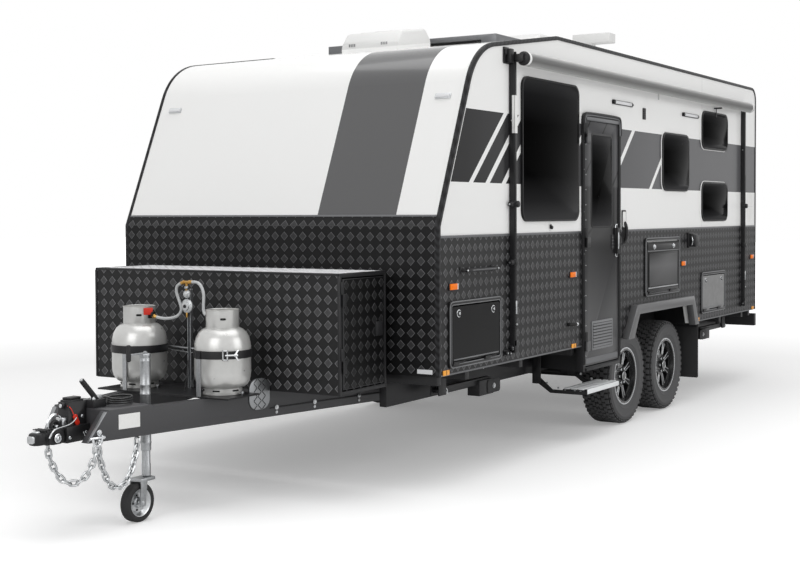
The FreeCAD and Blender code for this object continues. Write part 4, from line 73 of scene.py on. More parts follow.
def add_node(finish, kind, inputs=None, **settings):
    """One node of a material: its settings, and for an input its plain value or the output that feeds it."""
    node = finish.node_tree.nodes.new(kind)
    for setting, value in settings.items():
        setattr(node, setting, value)
    for socket, source in (inputs or {}).items():
        if isinstance(source, bpy.types.NodeSocket):
            finish.node_tree.links.new(source, node.inputs[socket])
        else:
            node.inputs[socket].default_value = source
    return node


def new_finish(name, colour, roughness, **shares):
    """A material with its shader's plain values; shares are further sockets of the shader."""
    finish = bpy.data.materials.new(name)
    finish.use_nodes = True
    shader = finish.node_tree.nodes["Principled BSDF"]
    shader.inputs["Base Color"].default_value = linear_colour(colour)
    shader.inputs["Roughness"].default_value = roughness
    for socket, value in shares.items():
        shader.inputs[socket.replace("_", " ")].default_value = value
    return finish


def feed(finish, output, socket):
    """Runs a node's output into a socket of the material's shader."""
    finish.node_tree.links.new(output, finish.node_tree.nodes["Principled BSDF"].inputs[socket])


def mottled(name, size_m, colours, roughness, bump=0.0, detail=3.0, **shares):
    """A material whose colour, roughness and height wander over it in patches of about size_m."""
    finish = new_finish(name, colours[0], roughness[0], **shares)
    spot = add_node(finish, "ShaderNodeTexCoord").outputs["Object"]
    noise = add_node(finish, "ShaderNodeTexNoise", {"Scale": 1 / size_m, "Detail": detail,
        "Vector": spot}).outputs["Fac"]
    mix = add_node(finish, "ShaderNodeMix", {"A": linear_colour(colours[0]), "B": linear_colour(colours[1]),
        "Factor": noise}, data_type="RGBA")
    feed(finish, mix.outputs["Result"], "Base Color")
    spread = add_node(finish, "ShaderNodeMapRange", {"To Min": roughness[0], "To Max": roughness[1],
        "Value": noise})
    feed(finish, spread.outputs["Result"], "Roughness")
    if bump:
        height = add_node(finish, "ShaderNodeBump", {"Distance": bump, "Strength": 1.0, "Height": noise})
        feed(finish, height.outputs["Normal"], "Normal")
    return finish


def dress(node, finish):
    """Gives a CAD node its finish."""
    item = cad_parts[node]
    if not item.material_slots:
        item.data.materials.append(finish)
    for place in item.material_slots:
        place.material = finish


# Soft PVC shows faint scuffs of a few millimetres.
sheath = mottled("matt_pvc_sheath", 0.006, ("#1a1a1b", "#2e2e2f"), (0.34, 0.5), 0.0002, Coat_Weight=0.2)
cable_radius = 0.0055
hank_points = [(3.7307, 0.0435, 0.6447), (3.716, 0.0425, 0.6444), (3.696, 0.0405, 0.644),
    (3.668, 0.0375, 0.644),]
for step in range(34):
    turn = radians(240 - step * 30)
    loose = 0.0022 * sin(step * 1.7)
    hank_points.append((3.634 + (0.08 + loose) * cos(turn), 0.089 + (0.0515 + loose) * sin(turn),
        0.6442 + 0.0112 * (step + 1) / 12 + 0.012 * min(1, step / 8) * (0.5 - 0.5 * sin(turn))))
hank_points += [(3.694, 0.037, 0.6815), (3.673, 0.0195, 0.673), (3.65, 0.0135, 0.6605),
    (3.6303, 0.0127, 0.6563)]


def smooth_curve(name, points, rings, radius, steps, closed=False):
    """A smooth round curve along points, with its ends closed."""
    curve = bpy.data.curves.new(name, "CURVE")
    curve.dimensions = "3D"
    line = curve.splines.new("NURBS")
    line.points.add(len(points) - 1)
    for point, place in zip(line.points, points):
        point.co = (*place, 1)
    line.order_u = 3
    line.use_endpoint_u = not closed
    line.use_cyclic_u = closed
    curve.resolution_u = rings
    curve.bevel_depth = radius
    curve.bevel_resolution = steps
    curve.use_fill_caps = True
    return curve


cable_curve = smooth_curve("trailer_cable_line", hank_points, 6, cable_radius, 5)
cable_curve.materials.append(sheath)
trailer_cable = bpy.data.objects.new("cable_hank", cable_curve)
bpy.context.scene.collection.objects.link(trailer_cable)
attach(trailer_cable, "caravan")
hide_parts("trailer_cable")


# Trailer plug
# A round moulded plug of black ABS with a ribbed grip and a collar at its mouth.
# The cable enters it through a tapered boot.
def fit_piece(name, form, body, finish, stands_for=()):
    """Makes a modelled form an object of the caravan that rides on its body."""
    bmesh.ops.recalc_face_normals(form, faces=form.faces)
    # Broad flat faces between eased rims stay flat, so that they mirror as flat sheet does
    for face in form.faces:
        broad = len(face.verts) > 4 or (min(edge.calc_length() for edge in face.edges) > 0.012
            and all(edge.calc_face_angle(1) > 0.26 for edge in face.edges))
        face.smooth = not broad
    mesh = bpy.data.meshes.new(name)
    form.to_mesh(mesh)
    form.free()
    mesh.set_sharp_from_angle(angle=radians(35))
    for one in finish if isinstance(finish, (list, tuple)) else [finish]:
        mesh.materials.append(one)
    item = bpy.data.objects.new(name, mesh)
    bpy.context.scene.collection.objects.link(item)
    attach(item, body)
    if stands_for:
        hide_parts(*stands_for)
    return item


TURN_TO = {"X": Matrix.Rotation(radians(90), 4, "Y"), "Y": Matrix.Rotation(radians(-90), 4, "X"),
    "Z": Matrix.Identity(4)}


def turn_profile(form, outline, centre, axis="Z", steps=32, finish=0):
    """Spins an outline of (radius, along) about an axis through centre and adds it to the form."""
    turned = bmesh.new()
    corners = [turned.verts.new((radius, 0, along)) for radius, along in outline]
    for start, end in zip(corners, corners[1:]):
        turned.edges.new((start, end))
    bmesh.ops.spin(turned, geom=turned.verts[:] + turned.edges[:], axis=(0, 0, 1), cent=(0, 0, 0),
        dvec=(0, 0, 0), angle=tau, steps=steps, use_merge=True)
    bmesh.ops.remove_doubles(turned, verts=turned.verts, dist=1e-6)
    holes = [edge for edge in turned.edges if edge.is_boundary]
    if holes:
        bmesh.ops.holes_fill(turned, edges=holes, sides=0)
    add_form(form, turned, Matrix.Translation(centre) @ TURN_TO[axis], finish)


def add_form(form, part, place, finish):
    """Adds a part's faces to a form, at its place, and frees the part; None keeps its finishes."""
    if place is not None:
        bmesh.ops.transform(part, matrix=place, verts=part.verts)
    for face in part.faces if finish is not None else ():
        face.material_index = finish
    mesh = bpy.data.meshes.new("part")
    part.to_mesh(mesh)
    part.free()
    form.from_mesh(mesh)
    bpy.data.meshes.remove(mesh)


# Moulded ABS has a fine even grain and dull highlights
abs_black = mottled("moulded_black_abs", 0.0015, ("#171718", "#212123"), (0.32, 0.45), 0.00006,
    Specular_IOR_Level=0.3)
plug = bmesh.new()
plug_outline = [(0, 0), (0.0088, 0), (0.0108, 0.008), (0.0138, 0.012)]
for groove in range(5):
    plug_outline += [(0.0159, 0.015 + groove * 0.006), (0.0159, 0.018 + groove * 0.006),
        (0.0148, 0.0185 + groove * 0.006), (0.0148, 0.0205 + groove * 0.006)]
plug_outline += [(0.0178, 0.047), (0.018, 0.066), (0.017, 0.0698), (0.0142, 0.0698),
    (0.0142, 0.058), (0, 0.058)]
turn_profile(plug, [(radius, -along) for radius, along in plug_outline], (3.63, 0.0127, 0.6563), "X")
plug_piece = fit_piece("plug_body", plug, "caravan", abs_black, ["trailer_plug"])


# Coupling
# An off-road coupling of cast steel in black paint: body, cap and a head with a clevis pin. On it sit
# the brake actuator, a plated pull handle, a brake lever with a rubber grip and a red breakaway tag.
def set_at(place, degrees, axis):
    """A turn about an axis and then a shift to a place."""
    return Matrix.Translation(place) @ Matrix.Rotation(radians(degrees), 4, axis)


def ease_edges(form, edges, width, segments, clamp=False):
    """Rounds edges of a form."""
    bmesh.ops.bevel(form, geom=edges, offset=width, offset_type="OFFSET", affect="EDGES", segments=segments,
        profile=0.5, material=-1, clamp_overlap=clamp)


def merged_copy(node):
    """A CAD node's mesh as a form, its loose triangles joined."""
    form = bmesh.new()
    form.from_mesh(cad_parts[node].data)
    bmesh.ops.remove_doubles(form, verts=form.verts, dist=2e-5)
    return form


def join_flats(form):
    """Makes the triangles of each flat face one face."""
    bmesh.ops.dissolve_limit(form, angle_limit=radians(0.5), verts=form.verts, edges=form.edges)


def plain_block(low, high):
    """A block between two corners."""
    block = bmesh.new()
    bmesh.ops.create_cube(block, size=1)
    bmesh.ops.scale(block, vec=Vector(high) - Vector(low), verts=block.verts)
    bmesh.ops.translate(block, vec=(Vector(low) + Vector(high)) / 2, verts=block.verts)
    return block


def around(centre, half):
    """The two corners of a block from its centre and its half sizes."""
    return Vector(centre) - Vector(half), Vector(centre) + Vector(half)


def slab(form, low, high, ease=0.002, segments=2, finish=0, place=None):
    """Adds a block with eased edges."""
    block = plain_block(low, high)
    if ease:
        ease_edges(block, block.edges[:], ease, segments)
    add_form(form, block, place, finish)


def rounded_panel(form, low, high, axis, corner, ease, finish=0, corner_segments=5, place=None):
    """Adds a plate that is thin along axis, with rounded corners and eased rims."""
    thin = "XYZ".index(axis)
    block = plain_block(low, high)
    through = [edge for edge in block.edges if abs(edge.verts[0].co[thin] - edge.verts[1].co[thin]) > 1e-6]
    ease_edges(block, through, corner, corner_segments)
    if ease:
        rims = [edge for edge in block.edges if abs(edge.verts[0].co[thin] - edge.verts[1].co[thin]) < 1e-6
            and edge.calc_face_angle() > 1]
        ease_edges(block, rims, ease, 2)
    add_form(form, block, place, finish)


def bar(form, start, end, radius, steps=14, ease=0.0, finish=0, tip=None):
    """Adds a round bar between two points; tip is its radius at the far end."""
    rod = bmesh.new()
    run = Vector(end) - Vector(start)
    bmesh.ops.create_cone(rod, cap_ends=True, segments=steps, radius1=radius,
        radius2=radius if tip is None else tip, depth=run.length)
    if ease:
        rims = [edge for edge in rod.edges if any(len(face.verts) > 4 for face in edge.link_faces)]
        ease_edges(rod, rims, ease, 2)
    add_form(form, rod, Matrix.Translation((Vector(start) + Vector(end)) / 2)
        @ run.to_track_quat("Z", "Y").to_matrix().to_4x4(), finish)


def bent_line(points, rings, closed=False, radius=0.0):
    """A form along a smooth line through points: its bare points, or a round bar or hose."""
    curve = smooth_curve("bend", points, rings, radius, 2, closed)
    item = bpy.data.objects.new("bend", curve)
    mesh = bpy.data.meshes.new_from_object(item)
    part = bmesh.new()
    part.from_mesh(mesh)
    bpy.data.objects.remove(item)
    bpy.data.curves.remove(curve)
    bpy.data.meshes.remove(mesh)
    return part


def bent_bar(form, points, radius, finish=0, rings=4, closed=False):
    """Adds a round bar or hose along a smooth line through points."""
    add_form(form, bent_line(points, rings, closed, radius), None, finish)


def hex_bolt(form, place, out, radius, height, finish=0):
    """Adds a bolt head on its washer, standing out along a direction."""
    place, out = Vector(place), Vector(out).normalized()
    bar(form, place - out * 0.001, place + out * height * 0.25, radius * 1.5, 12, 0, finish)
    bar(form, place, place + out * height, radius, 6, height * 0.12, finish)


def eased_copy(node, width, body, finish, segments=2):
    """A merged copy of a CAD node with its edges eased, which stands for the node."""
    form = merged_copy(node)
    join_flats(form)
    corners = [edge for edge in form.edges if len(edge.link_faces) == 2
        and edge.calc_face_angle() > radians(30) and edge.calc_length() > width]
    ease_edges(form, corners, width, segments, True)
    return fit_piece(node + "_piece", form, body, finish, [node])


# Powder coat has an orange-peel skin of about 2 mm.
powder_black = mottled("black_powder_coat", 0.002, ("#19191a", "#232325"), (0.34, 0.5), 0.00008,
    Specular_IOR_Level=0.3)

# Chrome mirrors softly where it is worn
chrome = mottled("chrome_plate", 0.006, ("#c4c6c8", "#e6e8ea"), (0.08, 0.2), Metallic=1.0)
# Moulded plastic, a little uneven in colour
red_plastic = mottled("red_plastic", 0.003, ("#c41c14", "#ea3a1c"), (0.32, 0.48), 0.00005)
# Zinc plating has a spangle of a few millimetres.
zinc = mottled("bright_zinc", 0.004, ("#9fa1a3", "#dcdedf"), (0.2, 0.42), 0.00005, Metallic=1.0)
hitch = merged_copy("coupling")
# The head is modelled below with its cheeks and its nose
bmesh.ops.delete(hitch, geom=[vert for vert in hitch.verts if vert.co.x > 3.981], context="VERTS")
bmesh.ops.holes_fill(hitch, edges=[edge for edge in hitch.edges if edge.is_boundary], sides=0)
join_flats(hitch)
ease_edges(hitch, [edge for edge in hitch.edges if len(edge.link_faces) == 2 and edge.calc_face_angle() > 0.5
    and edge.calc_length() > 0.004], 0.004, 2, True)
rounded_panel(hitch, (3.974, -0.046, 0.482), (4.098, 0.046, 0.554), "Z", 0.014, 0.006, 0, 4)
rounded_panel(hitch, (4.04, -0.04, 0.486), (4.16, 0.04, 0.548), "Z", 0.036, 0.01, 0, 7)
for side in (1, -1):
    rounded_panel(hitch, *around((4.042, side * 0.05, 0.515), (0.052, 0.0075, 0.033)), "Y",
        0.028, 0.003, 0, 6)
rounded_panel(hitch, (4.15, -0.022, 0.498), (4.168, 0.022, 0.536), "X", 0.008, 0.003, 2, 4)
# Clevis pin of the head and its ring-headed ends on both sides
for side in (1, -1):
    turn_profile(hitch, [(0, 0), (0.019, 0), (0.024, 0.004), (0.024, 0.008), (0.019, 0.01), (0.019, 0.007),
        (0.009, 0.007), (0.009, 0.0115), (0, 0.0115)], (4.045, side * 0.0605, 0.515), "Y", 24, 1)
# The off side's end is mirrored about its own plane
for vert in hitch.verts:
    if vert.co.y < -0.05 and abs(vert.co.x - 4.045) < 0.03 and abs(vert.co.z - 0.515) < 0.03:
        vert.co.y = -0.121 - vert.co.y
# Plated block on the head's front
slab(hitch, (4.104, -0.016, 0.544), (4.138, 0.016, 0.555), 0.002, 2, 1)
# Plated safety cable that arches over the cheek
bent_bar(hitch, [(4.094, 0.058, 0.52), (4.08, 0.06, 0.548), (4.05, 0.058, 0.562), (4.0, 0.056, 0.566),
    (3.96, 0.062, 0.572), (3.93, 0.064, 0.588), (3.912, 0.058, 0.6)], 0.0042, 1, 5)
# Ribs across the head
for ridge in range(3):
    slab(hitch, (4.07 + ridge * 0.016, -0.045, 0.556), (4.078 + ridge * 0.016, 0.045, 0.562))
# Plated crescent handle that lifts the latch
bent_bar(hitch, [(3.972, 0.0, 0.556), (3.956, 0, 0.58), (3.966, 0, 0.612), (3.998, 0, 0.628),
    (4.032, 0, 0.618), (4.052, 0, 0.594), (4.05, 0, 0.56)], 0.0075, 1, 5)
bent_bar(hitch, [(3.978, 0.0, 0.558), (3.98, 0, 0.58), (4.003, 0, 0.592), (4.028, 0, 0.582),
    (4.034, 0, 0.558)], 0.01, 0, 5)
bar(hitch, (4.012, -0.03, 0.566), (4.012, 0.03, 0.566), 0.008, 16, 0.001, 1)
# Brake actuator behind the tower: its cover, cap and reservoir
slab(hitch, (3.836, -0.034, 0.64), (3.936, 0.034, 0.69), 0.006, 3)
slab(hitch, (3.846, -0.028, 0.69), (3.926, 0.028, 0.702), 0.004)
bar(hitch, (3.936, 0, 0.664), (3.962, 0, 0.664), 0.017, 20, 0.003)
bar(hitch, (3.962, 0, 0.664), (3.966, 0, 0.664), 0.01, 16, 0.001, 1)
slab(hitch, (3.944, -0.026, 0.56), (3.974, 0.026, 0.606), 0.005, 3, 2)
for reach, height in ((3.85, 0.6), (3.905, 0.6), (3.85, 0.52), (3.96, 0.505)):
    hex_bolt(hitch, (reach, 0.0365 if height > 0.56 else 0.0615, height), (0, 1, 0), 0.007, 0.006, 1)
    hex_bolt(hitch, (reach, -0.0365 if height > 0.56 else -0.0615, height), (0, -1, 0), 0.007, 0.006, 1)
# Breakaway cable and its red tag
bent_bar(hitch, [(3.944, 0.028, 0.664), (3.936, 0.044, 0.655), (3.925, 0.047, 0.63),
    (3.912, 0.045, 0.606)], 0.0022, 3, 5)
rounded_panel(hitch, (-0.013, -0.004, -0.03), (0.013, 0.004, 0.03), "Y", 0.01, 0.0015, 3, 5,
    set_at((3.9, 0.0455, 0.588), 24, "Y"))
bent_bar(hitch, [(3.89, 0.0455, 0.562), (3.88, 0.05, 0.545), (3.868, 0.06, 0.53),
    (3.86, 0.066, 0.5)], 0.0022, 1, 5)
fit_piece("coupling_piece", hitch, "caravan", [powder_black, chrome, zinc, red_plastic],
    ["coupling"])
# Brake lever: its plated quadrant, black rubber grip with finger ribs and push button
grip_rubber = mottled("grip_rubber", 0.0015, ("#151516", "#232324"), (0.6, 0.8), 0.0001)
lever = bmesh.new()
lean = Vector((sin(radians(43)), 0, cos(radians(43))))
foot = Vector((3.745, 0.057, 0.652))
bar(lever, foot, foot + lean * 0.06, 0.0085, 14, 0.001)
grip_outline = [(0, 0.056), (0.0105, 0.056)]
for rib in range(9):
    grip_outline += [(0.0145, 0.06 + rib * 0.0125), (0.0148, 0.068 + rib * 0.0125),
        (0.0132, 0.0705 + rib * 0.0125)]
grip_outline += [(0.0145, 0.175), (0.0125, 0.181), (0.0085, 0.182), (0, 0.182)]
grip = bmesh.new()
turn_profile(grip, grip_outline, (0, 0, 0), "Z", 20, 1)
add_form(lever, grip, set_at(foot, 43, "Y"), 1)
bar(lever, foot + lean * 0.181, foot + lean * 0.194, 0.0085, 16, 0.002)
rounded_panel(lever, (3.732, 0.046, 0.639), (3.806, 0.052, 0.7), "Y", 0.02, 0.001)
rounded_panel(lever, (3.732, 0.062, 0.639), (3.806, 0.068, 0.7), "Y", 0.02, 0.001)
hex_bolt(lever, (3.745, 0.068, 0.66), (0, 1, 0), 0.008, 0.007)
for tooth in range(7):
    sweep = radians(-10 + tooth * 12)
    bar(lever, (3.745 + 0.046 * sin(sweep), 0.0515, 0.652 + 0.046 * cos(sweep)),
        (3.745 + 0.046 * sin(sweep), 0.0625, 0.652 + 0.046 * cos(sweep)), 0.003, 8, 0)
fit_piece("brake_lever", lever, "caravan", [zinc, grip_rubber])


# Safety chains
# Two welded chains of bright zinc-plated steel links, with a bow shackle on the near one.
# Each hangs from the drawbar's nose.
def chain_link(form, centre, run, twist, finish=0):
    """Adds one welded oval link, long along run and turned about it by twist."""
    link = bmesh.new()
    length, width, wire = 0.0225, 0.0142, 0.0062
    ring = []
    for step in range(14):
        turn = tau * step / 14
        ring.append((copysign(length * 0.45, cos(turn)) + width * cos(turn), width * sin(turn), 0))
    bent_bar(link, ring, wire, 0, 2, True)
    add_form(form, link, Matrix.Translation(centre) @ run.to_track_quat("X", "Z").to_matrix().to_4x4()
        @ Matrix.Rotation(radians(twist), 4, "X"), finish)


def hanging_links(form, start, end, low):
    """Adds the links of a chain that hangs in a bight between two points."""
    drops = ((0, 0), (0, 0.2), (0.08, 0.48), (0.18, 0.74), (0.32, 0.94), (0.5, 1), (0.68, 0.94), (0.82, 0.74),
        (0.92, 0.48), (1, 0.2), (1, 0))
    places = []
    for along, drop in drops:
        place = Vector(start).lerp(Vector(end), along)
        places.append((place.x, place.y, place.z + (low - place.z) * drop))
    bight = bent_line(places, 16)
    path = [vert.co.copy() for vert in bight.verts]
    bight.free()
    pitch_m = 0.0356
    walked, turned = 0.0, 0
    for before, after in zip(path, path[1:]):
        run = after - before
        while walked < run.length:
            chain_link(form, before + run.normalized() * walked, run, 90 * (turned % 2) + 8)
            turned += 1
            walked += pitch_m
        walked -= run.length


chains = bmesh.new()
hanging_links(chains, (4.06, 0.01, 0.47), (3.905, 0.19, 0.47), 0.276)
hanging_links(chains, (3.895, 0.196, 0.47), (3.63, 0.208, 0.472), 0.226)
# Bow shackle on the near rail's nose, with its pin and nut
bent_bar(chains, [(3.872, 0.2, 0.508), (3.88, 0.207, 0.49), (3.9, 0.211, 0.47), (3.925, 0.209, 0.466),
    (3.938, 0.204, 0.484), (3.936, 0.2, 0.508)], 0.0075, 1, 5)
bar(chains, (3.856, 0.203, 0.505), (3.95, 0.192, 0.505), 0.007, 14, 0.001, 1)
bar(chains, (3.862, 0.202, 0.505), (3.876, 0.2, 0.505), 0.0125, 6, 0.002, 1)
hex_bolt(chains, (3.88, 0.1855, 0.528), (0, 1, 0), 0.011, 0.012, 1)
fit_piece("chain_links", chains, "caravan", [zinc, chrome], ["safety_chains"])

# Drawbar
# Two rolled channels in black powder coat that meet at the coupling. Plated covers close their slanted
# front ends; behind the step pad a lower rail is bolted on under a seam.
drawbar_grey = mottled("drawbar_powder_coat", 0.002, ("#363638", "#414143"), (0.36, 0.5), 0.00008)
# Bare rolled aluminium plate, dulled by boots
tread_metal = mottled("bare_checkerplate", 0.003, ("#7f8183", "#adafb1"), (0.28, 0.46), Metallic=1.0)
# Vinyl without its print: flat and pale
blank_label = mottled("blank_vinyl_label", 0.01, ("#e3e3e1", "#efefed"), (0.38, 0.52))
eased_copy("drawbar", 0.003, "caravan", drawbar_grey)
RAIL_SLOPE = 0.22536
rail = bmesh.new()
for side in (1, -1):
    place = (Matrix.Scale(side, 4, (0, 1, 0)) @ Matrix.Translation((3.94, 0.171, 0.48))
        @ Matrix.Rotation(pi - atan(RAIL_SLOPE), 4, "Z"))
    # Slanted plated end: it leans back from the rail's lower corner to its top
    slant = Matrix.Rotation(radians(36.3), 4, "Y")
    slab(rail, (-0.003, 0, 0.002), (0.001, 0.049, 0.184), 0.0012, 2, 1, place @ slant)
    # Seam of the bolted rail behind the step pad
    slab(rail, (1.18, -0.0035, 0.046), (2.25, 0.004, 0.054), 0.001, 1, 2, place)
    for reach in (1.23, 1.52, 1.88, 2.18):
        spot = place @ Vector((reach, -0.0035, 0.05))
        hex_bolt(rail, spot, (place.to_3x3() @ Vector((0, -1, 0))), 0.009, 0.006)
        hex_bolt(rail, place @ Vector((reach, -0.002, 0.022)), (place.to_3x3()
            @ Vector((0, -1, 0))), 0.006, 0.004)
    # Step pad of bare checkerplate with its raised bars
    for row in range(7):
        for column in range(5):
            across = -0.06 + column * 0.03
            height = -0.075 + row * 0.025
            corner = max(0, abs(height) - 0.03)
            if side < 0 or hypot(across, corner) > 0.058:
                continue
            tilt = 45 if (row + column) % 2 else -45
            pad_place = (Matrix.Translation((2.866, 0.171 + (3.94 - 2.866) * RAIL_SLOPE, 0.62))
                @ Matrix.Rotation(-atan(RAIL_SLOPE), 4, "Z") @ set_at((across, 0.0092, height), tilt, "Y"))
            slab(rail, (-0.0165, -0.0014, -0.0024), (0.0165, 0.0012, 0.0024), 0.001, 1, 2, pad_place)
    # Blank label by the nose of the near rail
    if side > 0:
        slab(rail, (0.178, -0.004, 0.051), (0.306, 0.001, 0.127), 0, 1, 3, place)
rounded_panel(rail, (-0.0735, 0.003, -0.0885), (0.0735, 0.0088, 0.0885), "Y", 0.058, 0.001, 1, 8,
    Matrix.Translation((2.866, 0.171 + (3.94 - 2.866) * RAIL_SLOPE, 0.62))
    @ Matrix.Rotation(-atan(RAIL_SLOPE), 4, "Z"))
fit_piece("drawbar_fittings", rail, "caravan", [zinc, tread_metal, powder_black, blank_label])

# Jockey wheel
# Galvanised steel tubes that slide in each other, with pressed rings, a crank with a turning knob, a
# pressed fork, and a solid rubber tyre on a riveted galvanised rim.
POST_X, JOCKEY_Y, ROLLER_X, ROLLER_Z = 3.49, 0.138, 3.56, 0.105
# Galvanising leaves soft grey patches of about 8 mm
galvanised = mottled("galvanised_tube", 0.008, ("#8d8f91", "#bbbdbf"), (0.28, 0.46), 0.0001, Metallic=1.0)
post = bmesh.new()
post_outline = [(0, 0.372), (0.0245, 0.372), (0.0245, 0.374), (0.028, 0.376)]
for ring in (0.41, 0.545, 0.672, 0.722, 0.85):
    post_outline += [(0.028, ring), (0.0294, ring + 0.003), (0.0294, ring + 0.01), (0.028, ring + 0.013)]
post_outline += [(0.028, 0.878), (0.0295, 0.88), (0.0295, 0.893), (0.026, 0.896), (0, 0.896)]
turn_profile(post, post_outline, (POST_X, JOCKEY_Y, 0), "Z", 28)
rounded_panel(post, (3.474, 0.13, 0.894), (3.622, 0.146, 0.9015), "Z", 0.007, 0.001)
turn_profile(post, [(0, 0.862), (0.0075, 0.862), (0.013, 0.868), (0.014, 0.89), (0.0115, 0.925),
    (0.0125, 0.945), (0.0085, 0.951), (0, 0.951)], (3.6145, JOCKEY_Y, 0), "Z", 20, 1)
hex_bolt(post, (POST_X, JOCKEY_Y, 0.9015), (0, 0, 1), 0.008, 0.007)
# Clamp that holds the post to the near rail
slab(post, (3.462, 0.164, 0.545), (3.518, 0.176, 0.605), 0.003)
bar(post, (3.518, 0.17, 0.575), (3.56, 0.17, 0.575), 0.006, 12, 0.001)
fit_piece("jockey_post_tube", post, "caravan", [galvanised, grip_rubber], ["jockey_post"])
leg = bmesh.new()
turn_profile(leg, [(0, 0.234), (0.0205, 0.234), (0.024, 0.238), (0.024, 0.3), (0.0228, 0.303), (0.0228, 0.7),
    (0, 0.7)], (POST_X, JOCKEY_Y, 0), "Z", 24)
bar(leg, (POST_X, 0.112, 0.262), (POST_X, 0.164, 0.262), 0.004, 10, 0.0008)
fit_piece("jockey_leg_tube", leg, "jockey_slide", galvanised, ["jockey_leg"])
eased_copy("jockey_fork", 0.0015, "jockey_castor", galvanised)
fork = bmesh.new()
for side in (1, -1):
    hex_bolt(fork, (ROLLER_X, JOCKEY_Y + side * 0.0405, 0.105), (0, side, 0), 0.008, 0.008)
fit_piece("jockey_fork_nuts", fork, "jockey_castor", zinc)
# Solid rubber takes up the light, with a dusty bloom
solid_rubber = mottled("solid_black_rubber", 0.003, ("#151516", "#222223"), (0.6, 0.8), 0.0001)
roller = bmesh.new()
turn_profile(roller, [(0.074, -0.026), (0.078, -0.029), (0.095, -0.029), (0.1035, -0.023), (0.105, -0.016),
    (0.105, -0.008), (0.1035, -0.0065), (0.1035, 0.0065), (0.105, 0.008), (0.105, 0.016), (0.1035, 0.023),
    (0.095, 0.029), (0.078, 0.029), (0.074, 0.026), (0.074, -0.026)], (ROLLER_X, JOCKEY_Y, ROLLER_Z), "Y", 40)
for side in (1, -1):
    turned = bmesh.new()
    turn_profile(turned, [(0, 0.024), (0.011, 0.024), (0.013, 0.018), (0.026, 0.016), (0.03, 0.008),
        (0.052, 0.008), (0.06, 0.016), (0.069, 0.0235), (0.0745, 0.0265), (0.0765, 0.0265), (0.0765, 0.02),
        (0.062, 0.006), (0, 0.004)], (0, 0, 0), "Z", 32, 1)
    for hole in range(5):
        turn = tau * hole / 5
        bar(turned, (0.041 * cos(turn), 0.041 * sin(turn), 0.005), (0.041 * cos(turn), 0.041 * sin(turn),
            0.0095), 0.0065, 12, 0, 2)
        bar(turned, (0.055 * cos(turn + 0.6), 0.055 * sin(turn + 0.6), 0.008),
            (0.055 * cos(turn + 0.6), 0.055 * sin(turn + 0.6), 0.0145), 0.003, 8, 0.0006, 1)
    add_form(roller, turned, set_at((ROLLER_X, JOCKEY_Y, ROLLER_Z), -90 * side, "X"), None)
fit_piece("jockey_wheel_tyre", roller, "jockey_roller", [solid_rubber, zinc, powder_black],
    ["jockey_wheel"])

# Gas bottles
# Two 9 kg steel bottles in light grey enamel: a rolled foot ring with slots, a body with a weld seam,
# and a collar, open towards the middle, round a brass valve with a black handwheel.
BOTTLE_X, BOTTLE_Y = 3.057, 0.312
# Sprayed enamel: a soft gloss with slow waves
enamel = mottled("silver_grey_enamel", 0.05, ("#bcbcba", "#d2d2d0"), (0.24, 0.36), 0.0001, Metallic=0.4,
    Coat_Weight=0.4)
# Holes and slots show as unlit black
dark_hole = mottled("shadowed_hole", 0.01, ("#070707", "#0e0e0e"), (0.85, 0.95))
